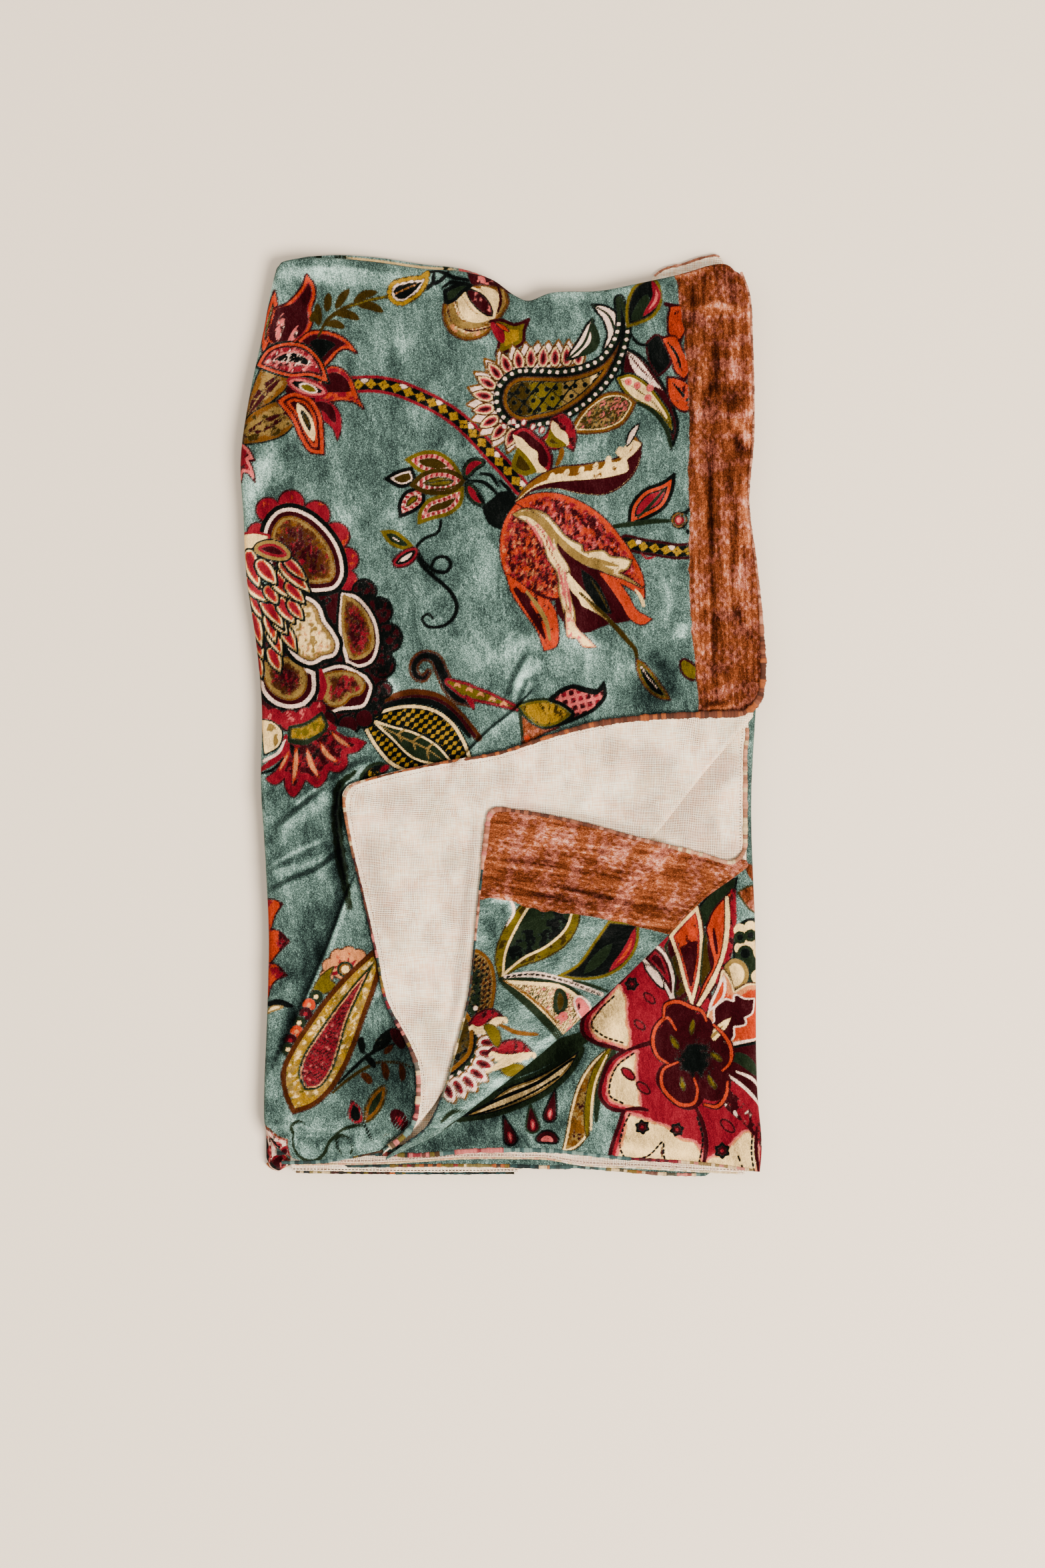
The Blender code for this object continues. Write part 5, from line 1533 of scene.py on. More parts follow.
def flap_leaves(p):
    """The three leaves on the second turned corner."""
    border = closed(p, [(-1, -148), (-3.5, -138), (-1.5, -127), (5, -114), (13, -104)], [(44, -109)],
        [(42, -119), (35, -129), (24, -136), (10, -141)], bronze=-0.4, olive=0.3)
    speckle(p, border, "bronze", 0.9, 0.4, 3, 131)
    green = closed(p, [(0, -147), (1.5, -133), (8, -118), (16.5, -104)], [(41, -106)],
        [(37, -119), (27, -129), (12, -137)], cream=0, green=1.3)
    speckle(p, green, "black", 1.5, 0.42, 3.4, 133)
    closed(p, [(30, -146.5), (42, -140), (51, -128), (60, -115)], [(77, -117)],
        [(76, -129), (70, -139), (60, -146), (46, -148.5)], olive=0, bronze=1.2, black=1.7)
    leaf(p, [(46, -145), (54, -137), (62, -128)], 3.2, green=0)
    leaf(p, [(75, -119), (71, -131), (60, -144)], 2.5, red=0, coral=1.6)
    lace = closed(p, [(0, -148), (18, -149), (33, -151), (45, -159), (51, -167)],
        [(45, -176), (38, -183)], [(27, -171), (16, -160)], green=-1.6, cream=0.2)
    net(p, lace, "bronze", 2, 2.3, 0.35, 0.2)
    speckle(p, lace, "green", 2, 0.42, 1.2, 135)
    speckle(p, lace, "pink", 2.4, 0.3, 1.4, 136)
    leaf(p, [(32, -153), (33, -161), (32, -168)], 4.2, green=0, bronze=2.2)
    patch = leaf(p, [(42, -158), (46, -165), (48, -171)], 3.8, white=-0.6, pink=0.4)
    speckle(p, patch, "maroon", 0.4, 0.4, 1.9, 137)
    for x, y in ((34.5, -169), (39, -177)):
        disc(p, x, y, 2.6, pink=0, coral=1.9)
    line(p, "ochre", [(1, -148.5), (10, -153.5), (22, -163), (38, -181)], 1.7)
    line(p, "green", [(1, -151), (12, -160), (23, -171), (34, -184)], 2.6)
    line(p, "white", [(2, -146.5), (17, -145), (34, -148.5), (56, -156.5)], 2.8)
    dashes(p, "black", [(3, -146.5), (17, -145), (34, -148.5), (55, -156.5)], 3, 1.3)
    line(p, "green", [(40, -149), (50, -151.5), (60, -155)], 1.6)


def flap_paisley(p):
    """The edge of a beaded paisley, with two carnations and pink petals."""
    lobe = closed(p, [(-22, -131), (-12, -132), (-6, -138), (-3.5, -147), (-4, -158), (-6, -168)],
        [(-16, -170), (-26, -166)], [], maroon=-0.2, ochre=0, tan=1.7)
    net(p, lobe, "brown", 2, 2.2, 0.5)
    blend(p, lobe, "green", 2.4, 9, 141)
    dots(p, lobe, "black", 2.2, 2.9, 0.9, 0.3)
    body = brush(p, [(-22, -158), (-20, -172), (-22, -186), (-32, -198)], (2, 8.4, 10.4, 8.8), 24,
        black=0, green=1.2)
    p.nest(body, black=3.2, ochre=4.6, bronze=6.8)
    beads(p, "white", [(-14.5, -164), (-12.5, -178), (-14, -189), (-19, -197), (-28, -202.5)], 4.2, 1.25)
    speckle(p, body, "black", 7, 0.35, 2.4, 145)
    fringe(p, [(-10, -183), (-13, -195), (-20, -203), (-31, -208)], 7, 10.5, 3.9, -0.1, SPEAR, ochre=-0.6,
        white=0.3, red=1.7, maroon=2.8)
    for base in ([(-18, -173), (-13, -167), (-5, -165), (2, -170)],
            [(-7, -188), (-1, -184), (10, -182.5), (18, -190)]):
        (x0, y0), (x1, y1) = base[0], base[-1]
        cap = closed(p, base, [((x0 + x1) / 2, (y0 + y1) / 2 - 4)], maroon=-0.9, red=0.2)
        speckle(p, cap, "maroon", 0.6, 0.42, 2.2, 147)
        frill = [(x0 + 1.5, y0 - 1), (x0 + 5, y0 - 3.2), ((x0 + x1) / 2, (y0 + y1) / 2 - 3.6),
            (x1 - 4, y1 - 0.5), (x1, y1 + 0.4)]
        brush(p, frill, (0.8, 2, 2.4, 2, 0.6), cream=0)
        fringe(p, frill, 7, -2.6, 1, cream=0)
    leaf(p, [(-10, -173), (-5, -177), (-2, -186)], 3.4, bronze=-0.4, olive=0.4)
    leaf(p, [(-1, -197), (6, -199), (13, -197)], 4.2, bronze=-0.4, olive=0.6)
    brush(p, [(-9, -200), (2, -195), (14, -190)], (0.5, 2.2, 0.8), cream=0)
    line(p, "ochre", [(-1, -173), (8, -177.5), (20, -179)], 2.2)
    for path in ([(-34, -228), (-27, -222), (-20, -222)], [(-33, -234), (-26, -229), (-16, -226)]):
        line(p, "green", path, 2.2)
    line(p, "white", [(4, -101), (7, -110), (3, -118)], 1.2)


def draw_corner_2(p):
    flap_leaves(p)
    flap_paisley(p)
    waver = 1.8 * (soft_noise(p.x, p.y, 5, 93) - 0.5)
    p.paint("rust", np.arange(p.x.size), p.y - band_edge_2(p.x) + waver)


PETAL_EDGE = [  # the red flower's outline, in runs
    [(104, -118), (90, -126), (78, -138), (66, -152), (54, -163), (47, -171), (46.5, -178), (55, -183.5),
     (64, -186), (71, -188.5)],
    [(62, -195), (57.5, -205), (56.5, -214), (61, -219.5), (70, -221.5)],
    [(67, -231), (63.5, -241), (61, -252)], [(100, -264), (150, -266)], [(150, -186), (128, -176)],
]
CREAM_ZONES = [  # outlines of the pale parts of the petals
    [[(66, -152), (69, -158), (70, -170), (72, -182), (71, -187)],
     [(62, -184), (52, -180), (50, -173), (57, -163)]],
    [[(76, -189), (75, -200), (77, -212), (78, -221)], [(68, -219), (61, -216), (60, -206), (65, -196)]],
    [[(71, -224), (78, -226), (86, -229), (94, -232), (100, -238), (108, -240), (112, -245)],
     [(112, -262), (64, -258), (68, -238)]],
    [[(132, -238), (139, -234), (143, -240), (143, -262)], [(116, -262), (116, -250), (124, -247)]],
]


def red_flower(p):
    """A large red flower with pale petal ends and broken stitches drawn round them."""
    closed(p, *PETAL_EDGE, maroon=-2.2, red=0)
    for zone in CREAM_ZONES:
        pale = both(p, closed(p, *zone), *PETAL_EDGE)
        blend(p, grown(pale, 2), "pink", 0, 1.6, 153)
        blend(p, grown(pale, 1), "peach", 0, 1.6, 155)
        blend(p, pale, "cream", 0, 1.8, 157)
    line(p, "maroon", [(71, -188), (84, -184), (96, -182)], 2.6)
    line(p, "maroon", [(70, -221.5), (77, -221), (82, -222)], 2.4)
    line(p, "maroon", [(90, -248), (90, -243)], 1.4)
    line(p, "maroon", [(108, -218), (113, -230), (115, -242), (113, -256)], 2.6)
    line(p, "maroon", [(143.5, -232), (143, -244), (145, -258)], 2.2)
    for path in ([(63, -158), (54, -167), (50.5, -174), (56, -179.5), (68, -184)],
            [(74, -190), (65, -197), (61, -206), (61, -214), (68, -218)],
            [(72, -224), (68, -233), (66.5, -243), (69, -249)], [(70, -250), (82, -248), (90, -240)],
            [(91, -241), (92, -250), (104, -252)], [(110, -226), (113, -238), (111, -252)],
            [(141, -236), (140.5, -246), (142, -257)], [(133, -248), (136, -256)]):
        dashes(p, "black", path, 2.9, 1.25)
    for x, y, r in ((79, -231.5, 4.6), (98.5, -233, 4.4), (124, -245, 5), (73, -151, 4.4)):
        star(p, x, y, r, "black", "maroon")
        star(p, x, y, r * 0.6, "maroon", "red")
    for x, y, r in ((71, -201.5, 3.8), (79.5, -209.5, 3.8), (83, -159, 3.4), (77.5, -174, 3.2),
            (127, -231, 4)):
        leaf(p, [(x - r, y + r * 0.9), (x, y), (x + r, y - r * 0.9)], r * 0.75, maroon=0, red=1.1)


LOBES = [  # the dark heart: (x, y, radius)
    (100, -172, 10), (93, -184, 9.5), (111, -176, 8), (96, -204, 9.5), (105, -213, 9), (119, -207, 10),
    (121, -192, 9), (107, -192, 15),
]
LOBE_EDGES = [
    [(98, -177), (93, -170), (87, -175), (85, -184), (88, -192), (94, -196)],
    [(91, -170), (92, -163), (99, -161), (106, -164), (113, -167), (115, -172)],
    [(99, -195), (91, -199), (90, -208), (95, -215), (101, -219), (108, -218), (110, -211), (108, -204)],
    [(114, -219), (121, -220), (126, -214), (127, -206)],
    [(119, -174), (125, -180), (129, -188), (128, -196), (124, -200)],
]


def flower_heart(p):
    for x, y, r in LOBES:
        disc(p, x, y, r, maroon=0)
    for path in LOBE_EDGES:
        line(p, "maroon", path, 3.8, 36)
        line(p, "coral", path, 1.8, 36)
    blend(p, disc(p, 109, -193, 13), "black", 0, 9, 161)
    for x, y, u, v in ((107, -175, 1, 6), (97, -184, -3, 5), (101.5, -207, -1, 5.5), (118, -206, 3, -5),
            (120.5, -192, 4, -3)):
        mark = leaf(p, [(x - u * 0.95, y - v * 0.95), (x, y), (x + u * 0.95, y + v * 0.95)], 2.5)
        blend(p, mark, "bronze", 0, 1.6, 163)
        blend(p, mark, "olive", 0.7, 1.8, 164)


def petals_behind(p):
    """The striped leaves above the red flower, and the coral petal at its right."""
    closed(p, [(110, -108), (119, -98), (128, -92), (133, -91)], [(130, -103), (124, -112), (112, -120)],
        [], black=0, green=1.2)
    first = closed(p, [(86, -128), (92, -134), (96, -143), (97.5, -155), (97, -164)],
        [(91, -152), (84, -143), (78, -137)], [], maroon=-0.8, white=0)
    p.nest(first, maroon=1.6, red=3)
    p.nest(first, maroon=4.2)
    leaf(p, [(80, -140), (86, -146), (91, -154)], 2.4, black=-0.7, white=0.4)
    brown = closed(p, [(96, -122), (103, -130), (106, -145), (104, -163)],
        [(98, -160), (97, -145), (91, -130)], [], green=0, bronze=1)
    speckle(p, brown, "maroon", 1, 0.45, 3, 161)
    broad = closed(p, [(94, -124), (101, -116), (110, -107)],
        [(112.5, -118), (113, -132), (111, -148), (107, -164)], [(102, -150), (99, -138)], maroon=-0.8,
        cream=0, red=1.8, coral=2.6)
    at, distance = broad
    p.paint("maroon", at, np.minimum(distance - 3.2, (-130 - p.y[at]) * 0.3))
    speckle(p, broad, "maroon", 3, 0.42, 2.6, 163)
    leaf(p, [(115, -120), (116, -138), (112, -156)], 4.2, green=0, bronze=1)
    closed(p, [(115, -120), (119, -110), (126, -102), (130, -98)],
        [(129, -118), (125, -140), (117, -156), (108, -166)], [(114, -150), (119, -140), (117, -130)],
        maroon=-0.6, coral=0.4)
    brush(p, [(126.5, -103), (127, -120), (124, -138), (116, -154), (108, -167)], (1, 1.6, 1.6, 1.5, 0.7),
        maroon=-0.7, cream=0)
    for start, end in (((116, -128), (118, -142)), ((119, -120), (121, -134))):
        line(p, "maroon", [start, end], 2, 6)
    seam = brush(p, [(130, -99), (130, -117), (127.5, -134), (121, -150)], (1.4, 1.7, 1.7, 1), red=0)
    speckle(p, seam, "maroon", 0, 0.4, 2.4, 165)
    closed(p, [(131, -120), (137, -115), (150, -115)], [(150, -152)],
        [(138, -152), (131, -142), (130, -130)], black=0, green=1.4)
    for x, y, r in ((134, -121, 3.6), (140, -119.5, 3.6), (146, -119, 3.6), (134, -131, 3.2),
            (140, -129, 3.6), (146, -133, 4.4), (144, -147, 3.6)):
        disc(p, x, y, r, cream=0)
    for x, y, r in ((134, -125, 3.6), (140, -124, 3.6), (146, -124.5, 4), (137, -134, 4.6)):
        disc(p, x, y, r, green=0, black=1.8)
    closed(p, [(125, -141), (130, -137), (136, -139), (139, -146), (136, -153), (129, -156)],
        [(127, -148)], black=-0.6, tan=0, cream=2.4)
    coral = closed(p, [(110, -183), (114, -172), (118, -160), (122, -150), (124, -143), (129, -149),
        (131, -155)], [(138, -151), (150, -152)], [(150, -190)], [(130, -187), (110, -189)], [],
        maroon=-0.5, cream=0.2, peach=1.2)
    blend(p, coral, "coral", 1.8, 4.5, 167)
    leaf(p, [(125, -146), (123, -156), (116, -167)], 3, white=0, coral=1.5)
    closed(p, [(108, -190), (114, -180), (120, -172)], [(120, -165), (126, -160)],
        [(131, -161), (131, -158), (137, -160), (142, -160)], [(140, -168), (136, -170)],
        [(137, -173), (130, -175)], [(130, -181), (120, -185)], white=-1, maroon=0)
    leaf(p, [(111, -188), (120, -179), (129, -170)], 2.7, cream=0, tan=1.8)
    closed(p, [(112, -189), (128, -186), (145, -183)], [(150, -200), (150, -225)],
        [(138, -212), (126, -203)], black=0, maroon=1.8)
    leaf(p, [(124, -192), (134, -193), (146, -204)], 3.4, green=0)
    for path in ([(127, -202), (136, -209), (147, -221)], [(132, -200.5), (140, -204), (148, -212)],
            [(112, -188), (124, -186), (145, -182)]):
        line(p, "white", path, 1.8)
    line(p, "red", [(122, -205), (134, -216), (148, -230)], 3.4)
    dark = closed(p, [(120, -204), (132, -214), (148, -232)], [(148, -244), (138, -232), (124, -218)])
    speckle(p, dark, "maroon", 0, 0.55, 3, 171)
    speckle(p, dark, "white", 0.5, 0.24, 2.6, 173)
    closed(p, [(133, -100), (138, -97), (150, -96)], [(150, -112), (141, -110)], bronze=-0.6, rust=0.3)
    leaf(p, [(138, -84), (141, -88), (146, -94)], 3, rust=0)


def long_leaves(p):
    """The striped and ochre leaves and the dark drops to the left of the red flower."""
    brush(p, [(2, -204), (20, -194), (38, -185), (52, -178)], (2.4, 4.8, 5.4, 2.2), green=0)
    brush(p, [(46, -177), (56, -184), (62, -188)], (1.2, 3, 1.2), green=0)
    closed(p, [(-24, -226), (-10, -219), (4, -209), (20, -203), (34, -195), (44, -188)],
        [(38, -199), (26, -210), (8, -219), (-8, -224)], green=-2.6, black=0, tan=0.8, cream=1.8)
    line(p, "black", [(-20, -224.5), (0, -215), (20, -206.5), (40, -193)], 2.2)
    dashes(p, "black", [(-16, -225), (2, -219), (20, -210.5), (32, -203)], 2.6, 1.4)
    dashes(p, "black", [(-2, -211), (12, -206), (26, -200)], 3, 1.3)
    yellow = closed(p, [(62, -186), (52, -194), (44, -206), (39, -222), (36, -238), (34, -246)],
        [(42, -243), (48, -236), (50, -224), (52, -210), (57, -197)], bronze=-0.6, cream=0, ochre=1.2)
    speckle(p, yellow, "tan", 1.4, 0.42, 2.6, 175)
    speckle(p, yellow, "maroon", 1.8, 0.3, 2.2, 177)
    brush(p, [(61, -187), (54, -198), (50, -212), (48, -226), (48, -236)], (0.8, 2, 2.4, 2, 0.8),
        bronze=-0.4, olive=0.3)
    line(p, "cream", [(59, -191), (53, -205), (50.5, -220), (50, -233)], 1.3)
    brush(p, [(63, -189), (58, -202), (54, -216), (53, -228)], (1.2, 2.2, 2, 0.8), green=0)
    for tip, base, ink in (((1, -225), (5, -238), "black"), ((16, -219), (17.5, -231), "green"),
            ((30, -210), (27, -225), "black")):
        (x0, y0), (x1, y1) = tip, base
        drop = brush(p, [tip, ((x0 + x1) / 2, (y0 + y1) / 2), base], (0.6, 2.6, 4.2))
        p.nest(drop, **{ink: 0}, maroon=0.9)
        leaf(p, [(x1 + (x0 - x1) * 0.3, y1 + 4.2), (x1, y1 + 0.4), (x1, y1 - 2.6)], 1.5, red=0, pink=0.8)
    leaf(p, [(19, -239), (26, -237), (32, -240)], 4, black=0, maroon=0.9)
    leaf(p, [(22, -239), (26, -238), (29, -239.5)], 1.7, pink=0)


def draw_panel_3(p):
    long_leaves(p)
    red_flower(p)
    petals_behind(p)
    flower_heart(p)


def draw_back_fold(p):
    """Teal with black specks at its left, the cream of its open edge further right."""
    at = np.arange(p.x.size)
    beyond = p.y - top_side(p.x)
    ends = np.minimum(p.x + 84, -30 - p.x) * 0.12
    p.paint("cream", at, np.minimum(ends, 0.8 - np.abs(beyond - 1.6)))
    p.paint("maroon", at, np.minimum(ends, 0.35 - np.abs(beyond - 0.9)))
    for start, end in ((-105, -102), (-94, -91), (-90, -88), (-33, -30)):
        along = np.minimum(p.x - start, end - p.x)
        flecks = 1.6 * (soft_noise(p.x, p.y, 1.3, 185) - 0.42)
        p.paint("green", at, np.minimum(np.minimum(along, beyond - 1), flecks))
    p.paint("pink", at, np.minimum(np.minimum(p.x + 24, beyond - 0.4),
        1.5 * (soft_noise(p.x, p.y, 2, 187) - 0.45)))


# Materials

# The ground shows where each ink's field is below GROUND_LEVEL. INK_CONTRAST says how hard the
# edge between two inks is. RUST_BLOCKS is the size of the band's faint woven blocks.
GROUND_LEVEL = -0.25
INK_CONTRAST = 1.8
RUST_BLOCKS = (4.6, 5.4, 1.0)
WEAVE_PITCH = 0.94
WEAVE_TURN = (0, 0, 0.04)


class Nodes:
    """A short way to write a material's nodes."""

    def __init__(self, name):
        self.material = bpy.data.materials.new(name)
        self.material.use_nodes = True
        self.tree = self.material.node_tree
        self.shader = self.tree.nodes["Principled BSDF"]

    def add(self, kind, **settings):
        node = self.tree.nodes.new("ShaderNode" + kind)
        for key, value in settings.items():
            setattr(node, key, value)
        return node

    def link(self, source, target):
        if isinstance(source, bpy.types.NodeSocket):
            self.tree.links.new(source, target)
        else:
            target.default_value = source

    def math(self, operation, a, b=0.0, c=0.0, clamp=False):
        node = self.add("Math", operation=operation, use_clamp=clamp)
        for value, socket in zip((a, b, c), node.inputs):
            self.link(value, socket)
        return node.outputs[0]

    def total(self, *values):
        out = values[0]
        for value in values[1:]:
            out = self.math("ADD", out, value)
        return out

    def mix(self, factor, a, b, blend="MIX"):
        node = self.add("Mix", data_type="RGBA", blend_type=blend)
        self.link(factor, node.inputs["Factor"])
        self.link(a if isinstance(a, bpy.types.NodeSocket) else (*a, 1.0), node.inputs[6])
        self.link(b if isinstance(b, bpy.types.NodeSocket) else (*b, 1.0), node.inputs[7])
        return node.outputs[2]

    def range(self, value, low, high, to_low=0.0, to_high=1.0):
        node = self.add("MapRange")
        for source, socket in zip((value, low, high, to_low, to_high), node.inputs):
            self.link(source, socket)
        return node.outputs[0]

    def ramp(self, value, stops):
        """A colour for each value from 0 to 1, from (value, colour) stops."""
        node = self.add("ValToRGB")
        elements = node.color_ramp.elements
        for i, (at, colour) in enumerate(stops):
            element = elements[i] if i < 2 else elements.new(at)
            element.position = at
            element.color = (*colour, 1.0)
        self.link(value, node.inputs[0])
        return node.outputs[0]

    def attribute(self, name):
        return self.add("Attribute", attribute_name=name).outputs["Fac"]

    def place(self, scale=(1, 1, 1), rotation=(0, 0, 0)):
        """Object coordinates in millimetres, scaled."""
        coordinates = self.add("TexCoord")
        mapping = self.add("Mapping", vector_type="TEXTURE")
        self.link(coordinates.outputs["Object"], mapping.inputs["Vector"])
        mapping.inputs["Rotation"].default_value = rotation
        mapping.inputs["Scale"].default_value = [MM * s for s in scale]
        return mapping.outputs["Vector"]

    def noise(self, vector, detail=2.0, rough=0.5, distortion=0.0):
        node = self.add("TexNoise")
        self.link(vector, node.inputs["Vector"])
        node.inputs["Scale"].default_value = 1.0
        node.inputs["Detail"].default_value = detail
        node.inputs["Roughness"].default_value = rough
        node.inputs["Distortion"].default_value = distortion
        return node

    def bump(self, height, strength, distance):
        node = self.add("Bump")
        self.link(height, node.inputs["Height"])
        node.inputs["Strength"].default_value = strength
        node.inputs["Distance"].default_value = distance * MM
        self.link(node.outputs["Normal"], self.shader.inputs["Normal"])


def printed_velvet(name, turn, streak_turn, lift):
    """Printed velvet: hairy edges to the inks, pale and dark tufts, soft crushed patches, and painted
    highlights and shade laid on from the cloth's points.
    """
    n = Nodes(name)
    tufts = n.noise(n.place((0.42, 0.85, 0.42), (0, 0, turn)), 3.0, 0.75)
    hairs = n.noise(n.place((0.34, 0.8, 0.34), (0, 0, turn)), 2.0, 0.6)
    split = n.add("SeparateColor")
    n.link(hairs.outputs["Color"], split.inputs["Color"])
    waver = [n.range(split.outputs[i], 0.25, 0.75, -0.5, 0.5) for i in range(3)]
    grain = n.range(tufts.outputs["Fac"], 0.3, 0.7, -1.1, 1.1)
    patch = n.noise(n.place((15, 27, 15), (0, 0, turn)), 3.0, 0.55, 0.8).outputs["Fac"]
    combed = n.noise(n.place((1.3, 4.6, 1.3), (0, 0, turn)), 4.0, 0.68, 0.6).outputs["Fac"]
    # Random crushed patches and combed streaks, and the painted highlights and shade that each point of
    # the cloth carries.
    crush_and_painted_light = n.total(
        n.range(patch, 0.3, 0.7, -0.45, 0.45),
        n.range(combed, 0.3, 0.7, -0.36, 0.36),
        n.math("MULTIPLY", n.attribute("pile_and_painted_light"), 0.8),
    )
    light = n.math("MULTIPLY_ADD", grain, 0.95, crush_and_painted_light)
    tone = n.math("MULTIPLY_ADD", grain, 0.55, crush_and_painted_light)

    best = GROUND_LEVEL
    colour = n.ramp(n.range(light, -1.45, 1.55), GROUND_TONES)
    for i, (ink, value) in enumerate(INKS.items()):
        field = n.math("ADD", n.attribute(f"ink_{ink}"), waver[i % 3])
        if ink == "rust":
            streak = n.noise(n.place((2.6, 30.0, 2.6), (0, 0, streak_turn)), 4.0, 0.62)
            blotch = n.noise(n.place((1.2, 2.6, 1.2), (0, 0, streak_turn)), 3.0, 0.6)
            rosy = n.noise(n.place((16.0, 7.0, 16.0), (0, 0, streak_turn)), 2.0, 0.5)
            check = n.add("SeparateXYZ")
            n.link(n.place(RUST_BLOCKS, (0, 0, streak_turn)), check.inputs[0])
            blocks = n.math("MULTIPLY", *[
                n.math("SINE", n.math("MULTIPLY", check.outputs[i], 2 * np.pi))
                for i in range(2)])
            # The band's tone: random streaks, blotches, grain and patches, with the painted highlights
            # and shade of the cloth's points.
            shade = n.total(n.range(streak.outputs["Fac"], 0.3, 0.7, -0.85, 0.85),
                            n.range(blotch.outputs["Fac"], 0.3, 0.7, -0.4, 0.4),
                            n.math("MULTIPLY", grain, 0.85),
                            n.math("MULTIPLY", n.attribute("pile_and_painted_light"), 1.0),
                            n.range(patch, 0.3, 0.7, -0.14, 0.14))
            shade = n.range(shade, -1.75 - lift, 1.85 - lift)
            pinker = n.range(n.total(rosy.outputs["Fac"], n.math("MULTIPLY", blocks, 0.1),
                                     n.math("MULTIPLY", blotch.outputs["Fac"], 0.3)), 0.64, 0.80)
            value = n.mix(pinker, n.ramp(shade, RUST_TONES), n.ramp(shade, RUST_PINK_TONES))
        else:
            # Each ink goes darker where the tone is low, and paler with a little painted sheen added
            # where it is high; the tone holds painted highlights and shade as well as random grain and
            # crush.
            dark = n.mix(n.range(tone, 0.25, -1.0, 0.0, 0.85), value, (0.0, 0.0, 0.0))
            bright = n.mix(1.0, n.mix(1.0, dark, (1.75, 1.75, 1.75), "MULTIPLY"),
                           (0.012, 0.010, 0.009), "ADD")
            value = n.mix(n.range(tone, 0.2, 1.3, 0.0, 1.0), dark, bright)
        mask = n.math("MULTIPLY_ADD", n.math("SUBTRACT", field, best), INK_CONTRAST, 0.5,
                      clamp=True)
        colour = n.mix(mask, colour, value)
        best = n.math("MAXIMUM", best, field)

    n.link(colour, n.shader.inputs["Base Color"])
    n.shader.inputs["Roughness"].default_value = 0.85
    n.shader.inputs["Specular IOR Level"].default_value = 0.01
    n.shader.inputs["Sheen Weight"].default_value = 0.02
    n.shader.inputs["Sheen Roughness"].default_value = 0.35
    n.shader.inputs["Sheen Tint"].default_value = (0.9, 0.95, 0.94, 1.0)
    n.bump(n.total(grain, n.math("MULTIPLY", combed, 1.6)), 0.6, 0.5)
    return n.material


def reverse_weave():
    """The plain cream reverse: a fine plain weave, more open where the cloth lies loose, and darker with
    painted shade along folds and hems.
    """
    n = Nodes("cream_weave")
    sway = n.noise(n.place((30, 30, 30)), 2.0, 0.5)
    split = n.add("SeparateColor")
    n.link(sway.outputs["Color"], split.inputs["Color"])
    place = n.add("SeparateXYZ")
    n.link(n.place((WEAVE_PITCH,) * 3, WEAVE_TURN), place.inputs[0])
    yarns = []
    for i in range(2):
        along = n.math("MULTIPLY_ADD", split.outputs[i], 5.0, place.outputs[i])
        yarns.append(n.math("SINE", n.math("MULTIPLY", along, 2 * np.pi)))
    grid = n.math("ADD", *yarns)
    warp = n.noise(n.place((0.5, 8.0, 1.0), WEAVE_TURN), 1.0, 0.5).outputs["Fac"]
    weft = n.noise(n.place((9.0, 0.5, 1.0), WEAVE_TURN), 1.0, 0.5).outputs["Fac"]
    slub = n.noise(n.place((0.9, 0.9, 0.9)), 2.0, 0.6).outputs["Fac"]
    patch = n.noise(n.place((13, 17, 13)), 3.0, 0.6).outputs["Fac"]
    # Looseness comes from random patches and from the laid-on strokes, which also carry painted shade;
    # both open the weave and darken it.
    looseness_and_shade = n.math("ADD", n.range(patch, 0.36, 0.7, 0.22, 0.95),
                   n.math("MULTIPLY", n.attribute("open_and_shade"), 0.6), clamp=True)
    hole = n.math("MULTIPLY", n.range(n.math("ADD", grid, slub), 0.9, -0.9), looseness_and_shade, clamp=True)
    colour = n.mix(n.range(n.math("ADD", warp, weft), 0.84, 1.16), (0.90, 0.58, 0.34),
                   (1.0, 0.86, 0.62))
    colour = n.mix(n.math("MULTIPLY", looseness_and_shade, 0.16), colour, (0.50, 0.28, 0.16))
    # Painted shade: the laid-on strokes darken the cream along folds and hems.
    colour = n.mix(n.math("MULTIPLY", n.attribute("open_and_shade"), 0.34, clamp=True), colour,
                   (0.30, 0.21, 0.15))
    colour = n.mix(n.math("MULTIPLY", hole, 1.3, clamp=True), colour, (0.110, 0.064, 0.045))
    show_through = n.noise(n.place((24, 17, 24)), 2.0, 0.5).outputs["Fac"]
    colour = n.mix(n.range(show_through, 0.52, 0.7, 0.0, 0.22), colour, (0.74, 0.34, 0.22))
    colour = n.mix(n.range(show_through, 0.48, 0.3, 0.0, 0.28), colour, (0.52, 0.42, 0.25))
    n.link(colour, n.shader.inputs["Base Color"])
    n.shader.inputs["Roughness"].default_value = 0.92
    n.shader.inputs["Specular IOR Level"].default_value = 0.1
    n.bump(n.total(n.math("MULTIPLY", grid, 0.5), warp, weft), 0.4, 0.2)
    return n.material


def hem_threads():
    """Overlock threads: each takes the colour that its mesh carries, a little uneven."""
    n = Nodes("hem_threads")
    thread = n.add("Attribute", attribute_name="thread").outputs["Color"]
    twist = n.noise(n.place((0.35, 0.35, 0.35)), 2.0, 0.6).outputs["Fac"]
    dark = n.mix(n.range(twist, 0.3, 0.7, 0.55, 0.0), thread, (0.01, 0.008, 0.008))
    n.link(dark, n.shader.inputs["Base Color"])
    n.shader.inputs["Roughness"].default_value = 0.7
    n.shader.inputs["Specular IOR Level"].default_value = 0.08
    n.shader.inputs["Sheen Weight"].default_value = 0.02
    n.bump(twist, 0.3, 0.15)
    return n.material


